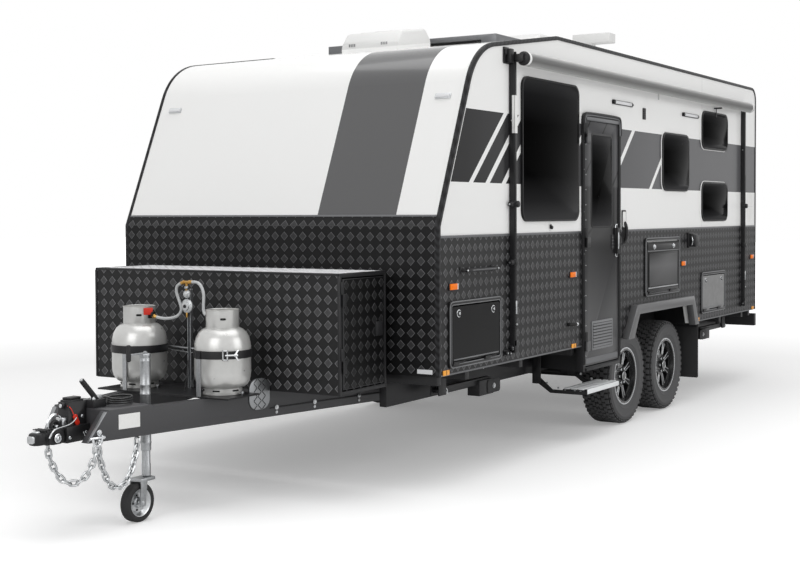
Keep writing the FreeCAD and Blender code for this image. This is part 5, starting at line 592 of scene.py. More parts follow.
# Weathered brass warms the highlights
brass = mottled("valve_brass", 0.003, ("#a27b3d", "#c79d58"), (0.24, 0.38), Metallic=1.0)
bottles = bmesh.new()
for side in (1, -1):
    bottle_outline = [(0.106, 0.036), (0.106, 0.003), (0.109, 0), (0.112, 0.002), (0.112, 0.01),
        (0.1085, 0.014), (0.1085, 0.036), (0.124, 0.041), (0.138, 0.053), (0.148, 0.07), (0.155, 0.092),
        (0.158, 0.12), (0.158, 0.203), (0.1598, 0.206), (0.1598, 0.213), (0.158, 0.216), (0.158, 0.25),
        (0.1555, 0.285), (0.147, 0.318), (0.133, 0.344), (0.114, 0.361), (0.09, 0.373), (0.06, 0.379),
        (0.03, 0.381), (0, 0.382)]
    turn_profile(bottles, bottle_outline, (BOTTLE_X, side * BOTTLE_Y, 0.64), steps=64)
    turn_profile(bottles, [(0.0895, 0.366), (0.092, 0.37), (0.092, 0.466), (0.0935, 0.468), (0.0935, 0.4715),
        (0.0905, 0.472), (0.0888, 0.47), (0.0888, 0.366)], (BOTTLE_X, side * BOTTLE_Y, 0.64), steps=64)
    for hole in range(6):
        turn = radians(20 + hole * 60)
        spot = Vector((BOTTLE_X + 0.1083 * cos(turn), side * BOTTLE_Y + 0.1083 * sin(turn), 0.665))
        rounded_panel(bottles, (-0.0012, -0.021, -0.0045), (0.0012, 0.021, 0.0045), "X", 0.004, 0, 1, 4,
            Matrix.Translation(spot) @ Matrix.Rotation(turn, 4, "Z"))
    for hole in range(2):
        turn = radians(42 + hole * 180)
        spot = Vector((BOTTLE_X + 0.0918 * cos(turn), side * BOTTLE_Y + 0.0918 * sin(turn), 1.062))
        rounded_panel(bottles, (-0.0014, -0.016, -0.006), (0.0014, 0.016, 0.006), "X", 0.0055, 0, 1, 5,
            Matrix.Translation(spot) @ Matrix.Rotation(turn, 4, "Z"))
    # Opening of the collar, with the valve in it
    spot = Vector((BOTTLE_X, side * (BOTTLE_Y - 0.0915), 1.066))
    rounded_panel(bottles, (-0.024, -0.0022, -0.024), (0.024, 0.0022, 0.024), "Y", 0.006, 0, 1, 4,
        Matrix.Translation(spot))
    bar(bottles, (BOTTLE_X, side * BOTTLE_Y, 1.018), (BOTTLE_X, side * BOTTLE_Y, 1.088), 0.016, 16, 0.002, 2)
    bar(bottles, (BOTTLE_X, side * BOTTLE_Y, 1.066), (BOTTLE_X, side * 0.212, 1.066), 0.012, 12, 0.002, 2)
    bar(bottles, (BOTTLE_X, side * 0.2245, 1.066), (BOTTLE_X, side * 0.197, 1.066), 0.018, 12, 0.003, 3)
    turn_profile(bottles, [(0, 1.084), (0.026, 1.084), (0.03, 1.088), (0.03, 1.098), (0.026, 1.102),
        (0, 1.102)], (BOTTLE_X, side * BOTTLE_Y, 0), "Z", 12, 3)
# Red blank tag on the off bottle's collar
rounded_panel(bottles, (-0.0015, -0.027, -0.02), (0.0015, 0.027, 0.02), "X", 0.004, 0.0005, 4, 3,
    set_at((3.085, -0.216, 1.083), 60, "Z"))
fit_piece("gas_bottle_shells", bottles, "caravan", [enamel, dark_hole, brass, abs_black, red_plastic],
    ["gas_bottles"])

# Gas fittings
# A galvanised centre post carries two die-cast regulators. Ribbed grey hoses loop from them to the
# bottles; black steel straps on flat uprights, with a wing-nut clamp, hold the bottles.
grey_hose = mottled("grey_rubber_hose", 0.002, ("#a2a4a5", "#c8cacb"), (0.34, 0.5), 0.0001)
# Die casting has a fine dull grain
die_cast = mottled("grey_die_casting", 0.003, ("#acaeaf", "#cfd1d2"), (0.32, 0.5), 0.0001, Metallic=0.5)
STRAP_Z = 0.8685
rack = bmesh.new()
slab(rack, (2.95, -0.486, 0.6305), (3.223, 0.486, 0.6395), 0.0015, 1, 2)
slab(rack, (2.958, -0.012, 0.636), (2.9612, 0.012, 1.212), 0.0006, 1)
slab(rack, (2.958, -0.012, 0.636), (2.982, -0.0088, 1.212), 0.0006, 1)
slab(rack, (2.958, 0.0088, 0.636), (2.982, 0.012, 1.212), 0.0006, 1)
for hole in range(9):
    bar(rack, (2.9611, 0, 0.72 + hole * 0.045), (2.9617, 0, 0.72 + hole * 0.045), 0.004, 10, 0, 3)
for height, size_m in ((1.115, 0.04), (1.184, 0.0235)):
    turn_profile(rack, [(0, -0.002), (size_m * 0.6, -0.002), (size_m * 0.62, 0.006), (size_m * 0.94, 0.008),
        (size_m, 0.011), (size_m, 0.017), (size_m * 0.9, 0.02), (size_m * 0.62, 0.023),
        (size_m * 0.58, 0.031), (size_m * 0.3, 0.0335), (0, 0.0335)], (2.982, 0, height), "X", 32, 1)
    for screw in range(6):
        turn = tau * screw / 6 + 0.3
        bar(rack, (3.001, size_m * 0.86 * cos(turn), height + size_m * 0.86 * sin(turn)),
            (3.0045, size_m * 0.86 * cos(turn), height + size_m * 0.86 * sin(turn)), 0.0026, 8, 0.0006)
bar(rack, (3.0145, 0, 1.115), (3.021, 0, 1.115), 0.01, 14, 0.002, 2)
bar(rack, (2.998, 0, 1.203), (2.998, 0, 1.256), 0.007, 6, 0.001, 4)
bar(rack, (2.998, -0.026, 1.252), (2.998, 0.026, 1.252), 0.009, 6, 0.001, 4)
bar(rack, (2.998, 0, 1.05), (2.998, 0, 1.078), 0.006, 12, 0.001, 4)
bar(rack, (2.998, -0.012, 1.222), (2.998, 0.012, 1.222), 0.0095, 14, 0.002)
for side in (1, -1):
    # Strap ring round the bottle and its flat upright
    turn_profile(rack, [(0.1592, 0.8465), (0.1628, 0.8465), (0.1632, 0.849), (0.1632, 0.888),
        (0.1628, 0.8905), (0.1592, 0.8905), (0.1592, 0.8465)], (BOTTLE_X, side * BOTTLE_Y, 0), "Z", 64, 2)
    slab(rack, *around((3.2185, side * 0.275, 0.76125), (0.0037, 0.0148, 0.12325)), 0.001, 1)
    slab(rack, *around((3.2191, side * 0.275, 0.8685), (0.0051, 0.0165, 0.0225)), 0.002, 1, 2)
    # Arms of the cross strap from the post to the rings
    arm = Vector((BOTTLE_X - 0.15, side * (BOTTLE_Y - 0.055), STRAP_Z))
    bar(rack, (2.976, side * 0.006, STRAP_Z), arm, 0.006, 4, 0.001)
    bar(rack, (2.976, side * 0.006, 0.845), arm - Vector((0, 0, 0.012)), 0.004, 4, 0)
for clamp_side, clamp_y, clamp_x in ((1, 0.4255, 3.1725), (-1, -0.4655, 3.11)):
    # Buckle plate, threaded rod and wing nut of the strap's clamp
    outward = Vector((clamp_x - BOTTLE_X, clamp_y - clamp_side * BOTTLE_Y, 0)).normalized()
    along = Vector((-outward.y, outward.x, 0)) * clamp_side
    spot = Vector((clamp_x, clamp_y, STRAP_Z))
    frame_turn = Matrix((outward, along, Vector((0, 0, 1)))).transposed().to_4x4()
    for shift in (-0.012, 0.012):
        slab(rack, *around((0.003, shift, 0), (0.005, 0.004, 0.029)), 0.001, 1, 6,
            Matrix.Translation(spot) @ frame_turn)
    for level in (-0.025, 0.025):
        slab(rack, *around((0.0045, 0, level), (0.0035, 0.016, 0.004)), 0.001, 1, 6,
            Matrix.Translation(spot) @ frame_turn)
    bar(rack, spot + outward * 0.006, spot + outward * 0.006 + along * 0.07, 0.005, 10, 0.0005, 6)
    nut = spot + outward * 0.006 + along * 0.058
    bar(rack, nut - along * 0.008, nut + along * 0.008, 0.01, 12, 0.001, 6)
    for wing in (1, -1):
        bent_bar(rack, [nut + Vector((0, 0, wing * 0.005)), nut + along * 0.006
            + Vector((0, 0, wing * 0.018)), nut + along * 0.014 + Vector((0, 0, wing * 0.028))], 0.005, 6, 3)
# Foot bolts of the bottles and the earth strap behind the near one
for across in (0.175, 0.449, -0.175, -0.449):
    bar(rack, (BOTTLE_X, across, 0.639), (BOTTLE_X, across, 0.66), 0.005, 10, 0.001)
    hex_bolt(rack, (BOTTLE_X, across, 0.652), (0, 0, 1), 0.008, 0.007)
bent_bar(rack, [(2.99, 0.01, 0.83), (3.03, 0.03, 0.79), (3.08, 0.07, 0.72), (3.105, 0.075, 0.66),
    (3.11, 0.074, 0.64)], 0.0035, 2, 5)
for route in ([(BOTTLE_X, 0.23, 1.066), (3.05, 0.19, 1.068), (3.038, 0.158, 1.09), (3.03, 0.152, 1.14),
        (3.02, 0.148, 1.19), (3.008, 0.116, 1.24), (3.0, 0.07, 1.26), (2.998, 0.018, 1.252)],
        [(BOTTLE_X, -0.205, 1.056), (3.05, -0.165, 1.044), (3.028, -0.11, 1.04), (3.008, -0.055, 1.056),
        (3.002, -0.032, 1.096), (3.0, -0.058, 1.15), (2.998, -0.082, 1.2), (2.998, -0.07, 1.24),
        (2.998, -0.018, 1.252)]):
    bent_bar(rack, route, 0.0088, 5, 7)
    # Crimped sleeves and nuts at both ends of a hose
    for end, inward in ((Vector(route[0]), Vector(route[1])), (Vector(route[-1]), Vector(route[-2]))):
        run = (inward - end).normalized()
        bar(rack, end, end + run * 0.024, 0.0102, 14, 0.001, 4)
        bar(rack, end - run * 0.002, end + run * 0.009, 0.0125, 6, 0.001, 4)
fit_piece("gas_rack", rack, "caravan", [galvanised, die_cast, powder_black, dark_hole, brass, grey_hose,
    chrome], ["gas_fittings"])

# Body shell
# Sandwich panels with a white gelcoat skin. A charcoal film is laid on the sides and the front, with
# white slashes left open in it; seams show as fine lines.
FRONT = 2.22
# The slashes lean by this much along for each metre up, and are placed at the film's foot
FILM_SLANT, FILM_FOOT = 1.018, 1.83
# The film's front end leans less
END_SLANT = 0.418


def window_of(finish, value, centre, half):
    """One inside a strip of a coordinate and nothing outside it."""
    return add_node(finish, "ShaderNodeMath", {1: centre, 2: half, 0: value}, operation="COMPARE").outputs[0]


def gelcoat_with_film(name, side):
    """White gelcoat under a grey film: a slashed band on the sides, an upright one on the front."""
    finish = new_finish(name, "#f1f1f0", 0.22, Specular_IOR_Level=0.1 if side else 0.5,
        Coat_Weight=0.04 if side else 0.25, Coat_Roughness=0.08)
    spot = add_node(finish, "ShaderNodeTexCoord").outputs["Object"]
    split = add_node(finish, "ShaderNodeSeparateXYZ", {0: spot})
    along, across, up = (split.outputs[letter] for letter in "XYZ")
    if side:
        slant = add_node(finish, "ShaderNodeMath", {1: FILM_SLANT, 0: up, 2: along},
            operation="MULTIPLY_ADD").outputs[0]
        film = window_of(finish, up, 2.052, 0.222)
        for centre, half in ((-0.3915, 0.0265), (-0.601, 0.028), (-0.815, 0.028), (-1.645, 0.027),
                (-2.51, 0.031), (-3.3145, 0.0275)):
            slash = window_of(finish, slant, centre + FRONT + FILM_SLANT * FILM_FOOT, half)
            clear = add_node(finish, "ShaderNodeMath", {0: 1.0, 1: slash}, operation="SUBTRACT")
            film = add_node(finish, "ShaderNodeMath", {0: film, 1: clear.outputs[0]},
                operation="MULTIPLY").outputs[0]
        edge = add_node(finish, "ShaderNodeMath", {1: END_SLANT, 0: up, 2: along},
            operation="MULTIPLY_ADD").outputs[0]
        behind = add_node(finish, "ShaderNodeMath", {0: edge, 1: FRONT - 0.148 + END_SLANT * FILM_FOOT},
            operation="LESS_THAN")
        film = add_node(finish, "ShaderNodeMath", {0: film, 1: behind.outputs[0]},
            operation="MULTIPLY").outputs[0]
    else:
        film = window_of(finish, across, 0.63, 0.286)
    # The print darkens from the rear of the side to its front; the front's band is one grey
    depth = add_node(finish, "ShaderNodeMapRange", {"From Min": -1.2 if side else 5.0,
        "From Max": 1.9 if side else 6.0, "Value": along})
    print_colour = add_node(finish, "ShaderNodeMix", {"A": linear_colour("#5c5c5e" if side else "#505051"),
        "B": linear_colour("#232324"), "Factor": depth.outputs["Result"]}, data_type="RGBA")
    # Joints of the sandwich panels, drawn 5 mm wide so that they show
    joint = window_of(finish, along, -2.309, 0.0025)
    skin = add_node(finish, "ShaderNodeMix", {"A": linear_colour("#efefee"), "B": linear_colour("#c9c9c8"),
        "Factor": joint}, data_type="RGBA")
    colour = add_node(finish, "ShaderNodeMix", {"Factor": film, "A": skin.outputs["Result"],
        "B": print_colour.outputs["Result"]}, data_type="RGBA")
    feed(finish, colour.outputs["Result"], "Base Color")
    # Gelcoat waves a little over about 0.4 m
    wave = add_node(finish, "ShaderNodeTexNoise", {"Scale": 2.5, "Detail": 1.0, "Vector": spot})
    height = add_node(finish, "ShaderNodeBump", {"Strength": 0.4, "Distance": 0.002,
        "Height": wave.outputs["Fac"]})
    feed(finish, height.outputs["Normal"], "Normal")
    return finish


side_skin = gelcoat_with_film("white_gelcoat_sides", True)
front_skin = gelcoat_with_film("white_gelcoat_front", False)
# The roof, the rear and the sealant are plain gloss white
plain_skin = mottled("white_gelcoat", 0.4, ("#f1f1f0", "#f1f1f0"), (0.17, 0.25), 0.001, 1.0, Coat_Weight=0.25,
    Coat_Roughness=0.08)
for node in ("near_wall_front", "near_wall_rear", "off_wall"):
    dress(node, side_skin)
dress("front_wall", front_skin)
dress("roof", plain_skin)
dress("rear_wall", plain_skin)

# Checkerplate cladding
# Black powder-coated aluminium sheet with raised square diamonds, a painted highlight on their rims and
# painted shade in the fine grooves between them. It is riveted over the lower body, with a slim trim strip
# along its top.
DIAMOND_PITCH = (0.071, 0.0705)


def checkerplate(name, first, second, first_start, second_start, tone_and_painted_light=1.0, shine=0.3, grazing_sheen=0.0):
    """The sheet's coat: a painted highlight on the diamonds' rims and painted shade in the grooves round
    them.
    """
    finish = new_finish(name, "#2c2c2d", 0.42, Specular_IOR_Level=shine, Sheen_Weight=grazing_sheen,
        Sheen_Roughness=0.4)
    spot = add_node(finish, "ShaderNodeTexCoord").outputs["Object"]
    split = add_node(finish, "ShaderNodeSeparateXYZ", {0: spot})
    away = []
    for letter, start, pitch_m in ((first, first_start, DIAMOND_PITCH[0]),
            (second, second_start, DIAMOND_PITCH[1])):
        moved = add_node(finish, "ShaderNodeMath", {1: -start, 0: split.outputs[letter]}, operation="ADD")
        folded = add_node(finish, "ShaderNodeMath", {1: pitch_m / 2, 0: moved.outputs[0]},
            operation="PINGPONG")
        away.append(add_node(finish, "ShaderNodeMath", {1: 1 / pitch_m, 0: folded.outputs[0]},
            operation="MULTIPLY").outputs[0])
    reach = add_node(finish, "ShaderNodeMath", {0: away[0], 1: away[1]}, operation="ADD").outputs[0]
    # Painted highlight on the rims and painted shade in the grooves, set by how far a point lies from a
    # diamond's centre
    ramp = add_node(finish, "ShaderNodeValToRGB", {0: reach})
    stops = ramp.color_ramp.elements
    stops[0].position = 0.0
    stops[1].position = 0.33
    for position in (0.36, 0.395, 0.415, 0.47, 0.52, 1.0):
        stops.new(position)
    for stop, code in zip(stops, ("#363637", "#3e3e3f", "#747476", "#5a5a5c", "#030303", "#040404",
            "#121213", "#151516")):
        stop.color = [share * tone_and_painted_light for share in linear_colour(code)[:3]] + [1]
    feed(finish, ramp.outputs["Color"], "Base Color")
    # The powder coat's orange peel
    peel = add_node(finish, "ShaderNodeTexNoise", {"Scale": 350, "Detail": 2.0, "Vector": spot})
    height = add_node(finish, "ShaderNodeBump", {"Strength": 0.6, "Distance": 0.0001,
        "Height": peel.outputs["Fac"]})
    feed(finish, height.outputs["Normal"], "Normal")
    return finish


def diamond_field(form, corner, across, up, out, length, height, gaps=(), finish=0):
    """Raised diamonds over a sheet, but not where a gap (low, high, low, high) lies."""
    corner, across, up = Vector(corner), Vector(across), Vector(up)
    turn = Matrix((across, up, Vector(out))).transposed().to_4x4()
    for row in range(1, int(height / DIAMOND_PITCH[1]) + 1):
        for column in range(1, int(length / DIAMOND_PITCH[0]) + 1):
            place = (column * DIAMOND_PITCH[0] - 0.03, row * DIAMOND_PITCH[1] - 0.03)
            if any(low - 0.024 < place[0] < high + 0.024 and foot - 0.024 < place[1] < head + 0.024 for low,
                    high, foot, head in gaps):
                continue
            spot = corner + across * place[0] + up * place[1]
            diamond = bmesh.new()
            bmesh.ops.create_cone(diamond, cap_ends=True, segments=4, radius1=0.0285,
                radius2=0.0262, depth=0.003)
            add_form(form, diamond, Matrix.Translation(spot) @ turn, finish)


RIVET_RADIUS = 0.0042


def rivet(form, place, finish):
    """Adds a domed rivet head on the near side."""
    bar(form, Vector(place) - Vector((0, 0.001, 0)), Vector(place) + Vector((0, 0.0022, 0)), RIVET_RADIUS, 8,
        0, finish, RIVET_RADIUS * 0.6)


BACK = FRONT - 6.085
side_plate = checkerplate("checkerplate_sides", "X", "Z", BACK + 0.041, 0.7305)
end_plate = checkerplate("checkerplate_ends", "Y", "Z", -1.166, 0.7305, 0.9, 0.2)
dress("cladding", side_plate)
# Anodised strips shine softly and evenly
trim_grey = mottled("anodised_trim", 0.004, ("#616264", "#7a7b7d"), (0.3, 0.46), Metallic=0.7)
for side, hand in (("near", 1), ("off", -1)):
    field = bmesh.new()
    side_gaps = [(5.325, 5.976, 0.038, 0.435), (0.947, 1.591, 0.063, 0.425), (1.777, 3.351, 0, 0.25)]
    if hand > 0:
        side_gaps += [(3.418, 4.095, 0, 0.9), (2.134, 2.904, 0.287, 0.752)]
    diamond_field(field, (BACK, 1.223 * hand, 0.69), (1, 0, 0), (0, 0, 1), (0, hand, 0), 6.04, 0.8, side_gaps)
    # Trim strips along the sheet's top and foot
    for start, end in (((BACK + 0.022, BACK + 3.418), (BACK + 4.095, BACK + 6.063)) if hand > 0
            else ((BACK + 0.022, BACK + 6.063),)):
        slab(field, (start, hand * 1.2215, 1.4985), (end, hand * 1.2265, 1.5135), 0.0015, 2, 1)
    for start, end in ((BACK + 0.022, BACK + 1.7), (BACK + 3.4, BACK + 3.418), (BACK + 4.095, BACK + 6.063)):
        slab(field, (start, hand * 1.2215, 0.6905), (end, hand * 1.2255, 0.7005), 0.001, 1, 1)
    fit_piece("cladding_diamonds_" + side, field, "caravan", [side_plate, trim_grey])
field = bmesh.new()
diamond_field(field, (FRONT + 0.003, -1.207, 0.69), (0, 1, 0), (0, 0, 1), (1, 0, 0), 2.44, 0.88)
diamond_field(field, (BACK - 0.003, -1.207, 0.69), (0, 1, 0), (0, 0, 1), (-1, 0, 0), 2.44, 0.8,
    [(0.381, 0.753, 0.0, 0.13), (1.14, 1.27, -0.1, 0.42), (0.05, 0.19, 0.2, 0.52), (2.225, 2.36, 0.2, 0.52)])
# Sheets over the cladding's ends, which carry the diamonds of the front and the rear
slab(field, (FRONT + 0.0028, -1.197, 0.692), (FRONT + 0.0034, 1.197, 1.568), 0, 1)
slab(field, (BACK - 0.0034, -1.197, 0.692), (BACK - 0.0028, 1.197, 1.508), 0, 1)
front_slope = radians(22.7)
slab(field, (0.0026, -1.197, 0.002), (0.0034, 1.197, 0.062), 0, 1, 0,
    Matrix.Translation((FRONT, 0, 1.57)) @ Matrix.Rotation(-front_slope, 4, "Y"))
slab(field, (0.001, -1.197, 0.058), (0.0052, 1.197, 0.07), 0.001, 1, 1,
    Matrix.Translation((FRONT, 0, 1.57)) @ Matrix.Rotation(-front_slope, 4, "Y"))
slab(field, (BACK - 0.0065, -1.197, 1.499), (BACK - 0.0015, 1.197, 1.513), 0.001, 1, 1)
fit_piece("cladding_diamonds_ends", field, "caravan", [end_plate, trim_grey])

# Toolbox
# A folded box of the same checkerplate on the drawbar, with extruded corner trims, a lid whose top is
# painted pale as a highlight, with a sheen at grazing angles, and an end door on each side with a paddle
# latch.
BOX_Y = 0.921
# Each face has its own tone: the lid's is a painted highlight, the front's a little paler, the end doors'
# darker
box_front = checkerplate("toolbox_plate_front", "Y", "Z", -0.86, 0.6705, 1.2)
box_top = checkerplate("toolbox_plate_top", "Y", "X", -0.86, FRONT + 0.1365, 6.0, 0.5, 1.0)
box_end = checkerplate("toolbox_plate_ends", "X", "Z", 2.367, 0.6805, 0.4, 0.12)
eased_copy("toolbox", 0.002, "caravan", powder_black)
chest = bmesh.new()
diamond_field(chest, (FRONT + 0.5685, -0.901, 0.63), (0, 1, 0), (0, 0, 1), (1, 0, 0), 1.83, 0.68)
slab(chest, (FRONT + 0.5675, -0.915, 0.634), (FRONT + 0.5684, 0.915, 1.304), 0, 1)
diamond_field(chest, (FRONT + 0.096, -0.901, 1.3105), (0, 1, 0), (1, 0, 0), (0, 0, 1), 1.83, 0.48, (), 1)
slab(chest, (FRONT + 0.098, -0.917, 1.3096), (FRONT + 0.564, 0.917, 1.3104), 0, 1, 1)
# Extruded trims of the corners and the seam under the lid
for side in (1, -1):
    slab(chest, (2.768, side * BOX_Y - 0.013, 0.632), (2.7925, side * BOX_Y + 0.0025, 1.3), 0.0035, 2, 2)
    slab(chest, (2.316, side * BOX_Y - 0.01, 0.632), (2.33, side * BOX_Y + 0.0015, 1.3), 0.003, 2, 2)
slab(chest, (2.776, -0.923, 1.2985), (2.7925, 0.923, 1.3125), 0.003, 2, 2)
for side in (1, -1):
    slab(chest, (2.318, side * BOX_Y - 0.008, 1.2985), (2.7925, side * BOX_Y + 0.0025, 1.3125), 0.003, 2, 2)
fit_piece("toolbox_skins", chest, "caravan", [box_front, box_top, powder_black])
for side, hand, body in (("near", 1, "toolbox_near_leaf"), ("off", -1, "toolbox_off_leaf")):
    eased_copy("toolbox_door_" + side, 0.002, body, powder_black)
    leaf = bmesh.new()
    diamond_field(leaf, (2.326, hand * 0.9212, 0.64), (1, 0, 0), (0, 0, 1), (0, hand, 0), 0.45, 0.66,
        [(0.04, 0.11, 0.297, 0.382)])
    slab(leaf, (2.35, hand * 0.9205 - 0.0004, 0.664), (2.742, hand * 0.9205 + 0.0007, 1.276), 0, 1)
    # Paddle latch in its recessed frame
    rounded_panel(leaf, *around((2.401, hand * 0.9235, 0.9795), (0.035, 0.0035, 0.0425)), "Y",
        0.012, 0.002, 1)
    rounded_panel(leaf, *around((2.401, hand * 0.9275, 0.9735), (0.025, 0.003, 0.0265)), "Y", 0.008, 0.002, 1)
    bar(leaf, (2.401, hand * 0.926, 1.01), (2.401, hand * 0.9305, 1.01), 0.006, 16, 0.001, 2)
    fit_piece("toolbox_door_skin_" + side, leaf, body, [box_end, abs_black, chrome])

# Edge mouldings
# Ribbed dark grey vinyl in an aluminium channel, over the joint of the side walls with the front, the
# roof and the rear.
moulding = new_finish("ribbed_vinyl_moulding", "#202021", 0.45, Specular_IOR_Level=0.25)
spot = add_node(moulding, "ShaderNodeTexCoord").outputs["Object"]
ribs = add_node(moulding, "ShaderNodeTexWave", {"Scale": 14.0, "Distortion": 0.0, "Vector": spot},
    wave_type="BANDS", bands_direction="DIAGONAL")
rib_mix = add_node(moulding, "ShaderNodeMix", {"A": linear_colour("#151516"), "B": linear_colour("#303032"),
    "Factor": ribs.outputs["Fac"]}, data_type="RGBA")
feed(moulding, rib_mix.outputs["Result"], "Base Color")
rib_height = add_node(moulding, "ShaderNodeBump", {"Strength": 0.7, "Distance": 0.0006,
    "Height": ribs.outputs["Fac"]})
feed(moulding, rib_height.outputs["Normal"], "Normal")
eased_copy("edge_mouldings", 0.002, "caravan", moulding)
# The vinyl also laps over the front, the roof and the rear: flat runs that follow the body's outline
lap_route = []
lap_corners = ((FRONT, 0.69, 0), (FRONT, 1.57, 0), (1.762, 2.664, 0.42), (0.62, 2.841, 0),
    (BACK, 2.841, 0.12), (BACK, 0.69, 0))
for count, (reach, height, radius) in enumerate(lap_corners):
    corner = Vector((reach, 0, height))
    if not radius:
        lap_route.append(corner)
        continue
    back = (Vector((lap_corners[count - 1][0], 0, lap_corners[count - 1][1])) - corner).normalized()
    onward = (Vector((lap_corners[count + 1][0], 0, lap_corners[count + 1][1])) - corner).normalized()
    half = back.angle(onward) / 2
    middle = corner + (back + onward).normalized() * radius / sin(half)
    leave, join = corner + back * radius / tan(half), corner + onward * radius / tan(half)
    for step in range(11):
        lap_route.append(middle + (leave - middle).normalized().slerp((join - middle).normalized(),
            step / 10) * radius)
laps = bmesh.new()
for start, end in zip(lap_route, lap_route[1:]):
    run = (end - start).normalized()
    out = Vector((run.z, 0, -run.x))
    turn = Matrix((run, out.cross(run), out)).transposed().to_4x4()
    turn.translation = start
    for hand in (1, -1):
        slab(laps, (-0.0004, hand * 1.2095 - 0.0115, -0.001), ((end - start).length + 0.0004,
            hand * 1.2095 + 0.0115, 0.0036), 0, 1, 0, turn)
        slab(laps, (-0.0004, hand * 1.2095 - 0.003, 0.003), ((end - start).length + 0.0004,
            hand * 1.2095 + 0.003, 0.005), 0, 1, 0, turn)
fit_piece("edge_moulding_laps", laps, "caravan", moulding)

# Window panes and frames
# Double acrylic panes, smoked dark and moulded with rounded rims, in slim black seals. A painted reflection
# fades over them, so they are palest at the foot and the head.


def fade_along(finish, share, stops):
    """Colours that fade along a share, from stops of (share, hex colour)."""
    ramp = add_node(finish, "ShaderNodeValToRGB", {0: share})
    for count, (position, code) in enumerate(stops):
        entries = ramp.color_ramp.elements
        stop = entries[count] if count < 2 else entries.new(position)
        stop.position, stop.color = position, linear_colour(code)
    return ramp.outputs["Color"]


def share_up(finish, low, high):
    """How high a point lies between two heights, from 0 to 1."""
    axes = add_node(finish, "ShaderNodeSeparateXYZ", {0: add_node(finish,
        "ShaderNodeTexCoord").outputs["Object"]})
    return add_node(finish, "ShaderNodeMapRange", {"From Min": low, "From Max": high,
        "Value": axes.outputs["Z"]}).outputs["Result"]


# Smoked acrylic is near black; a painted reflection makes it paler towards its foot and head
acrylic = new_finish("smoked_acrylic", "#050505", 0.1, Specular_IOR_Level=0.005)
painted_reflection_share = add_node(acrylic, "ShaderNodeAttribute", attribute_name="height_share").outputs["Fac"]
feed(acrylic, fade_along(acrylic, painted_reflection_share, ((0.0, "#3d3d3e"), (0.14, "#232324"), (0.32, "#050505"),
    (0.68, "#030303"), (0.88, "#1a1a1b"), (1.0, "#343435"))), "Base Color")
# Seal rubber is dull and even
seal_black = mottled("window_seal", 0.003, ("#19191a", "#262627"), (0.34, 0.5), 0.00005,
    Specular_IOR_Level=0.25)


def rounded_route(x_low, x_high, z_low, z_high, corner, across):
    """Points round a rounded rectangle on a side wall, for a bead that follows it."""
    route = []
    for x, z, start in ((x_high - corner, z_high - corner, 0), (x_low + corner, z_high - corner, 90),
            (x_low + corner, z_low + corner, 180), (x_high - corner, z_low + corner, 270)):
        turns = [radians(start + step * 30) for step in range(4)]
        arc = [Vector((x + corner * cos(turn), across, z + corner * sin(turn))) for turn in turns]
        onto = Vector((sin(turns[0]), 0, -cos(turns[0]))) * 0.012
        off = Vector((-sin(turns[3]), 0, cos(turns[3]))) * 0.012
        route += [arc[0] + onto] + arc + [arc[3] + off]
    return route


def share_height(item, low, high):
    """Writes how high each point of a pane is between its foot and its head."""
    heights = item.data.attributes.new("height_share", "FLOAT", "POINT")
    for vert, entry in zip(item.data.vertices, heights.data):
        entry.value = min(1.0, max(0.0, (vert.co.z - low) / (high - low)))


eased_copy("window_frames", 0.003, "caravan", seal_black)
outline = bmesh.new()
for hand, side in ((1, "near"), (-1, "off")):
    for label, rear, ahead, low, high in (("big", 0.293, 1.171, 1.587, 2.532),
            ("middle", -1.953, -1.335, 1.82, 2.295), ("bunk_upper", -2.977, -2.281, 2.199, 2.531),
            ("bunk_lower", -2.977, -2.281, 1.564, 1.91)):
        glass = bmesh.new()
        rounded_panel(glass, (rear + 0.011, hand * 1.2265 - 0.012, low + 0.011),
            (ahead - 0.011, hand * 1.2265 + 0.012, high - 0.011), "Y", 0.066, 0.006, 0, 8)
        bar(glass, ((rear + ahead) / 2 - 0.09, hand * 1.2375, high - 0.026),
            ((rear + ahead) / 2 - 0.09, hand * 1.2405, high - 0.026), 0.004, 10, 0.001)
        pane = fit_piece("pane_%s_%s" % (label, side), glass, "caravan", acrylic)
        share_height(pane, low, high)
        if label == "big" and hand > 0:
            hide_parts("window_panes")
        if label != "big":
            bent_bar(outline, rounded_route(rear - 0.005, ahead + 0.005, low - 0.005, high + 0.005, 0.078,
                hand * 1.2215), 0.0048, 0, 3, True)
# White sealant beads round the smaller windows
fit_piece("window_sealant", outline, "caravan", plain_skin)
catch = bmesh.new()
bar(catch, (0.735, 1.2245, 1.545), (0.735, 1.24, 1.545), 0.0125, 16, 0.003)
slab(catch, (0.724, 1.222, 1.535), (0.746, 1.23, 1.566), 0.003)
fit_piece("window_catch", catch, "caravan", abs_black)

# Hatches
# Boot and service lids of smooth satin sheet in cast frames whose edges are painted pale as highlights, each
# held by two chrome push locks; the boot lids are black and the service lid grey, a painted reflection.
# The fold-down table is a recessed panel with a top rail and two chrome knobs.
HATCH_FACE = 1.2335
# The cast frames' edges are painted pale grey as highlights
frame_grey = mottled("hatch_frame_edge", 0.003, ("#626264", "#787a7c"), (0.3, 0.42), 0.00008)
# Their flats keep the black coat
frame_black = mottled("hatch_frame_coat", 0.003, ("#1d1d1e", "#2a2a2b"), (0.34, 0.46), 0.00008,
    Specular_IOR_Level=0.3)
# Satin sheet ripples slowly, over about 0.2 m
lid_black = mottled("satin_black_sheet", 0.2, ("#0b0b0c", "#151516"), (0.26, 0.36), 0.0002,
    Specular_IOR_Level=0.12)
# The service lid's grey is a painted reflection, streaked light and dark
reflection_grey_lid = mottled("grey_sheet_reflection", 0.05, ("#6c6c6c", "#8e8e8e"), (0.28, 0.4), 0.0002,
    Specular_IOR_Level=0.3)


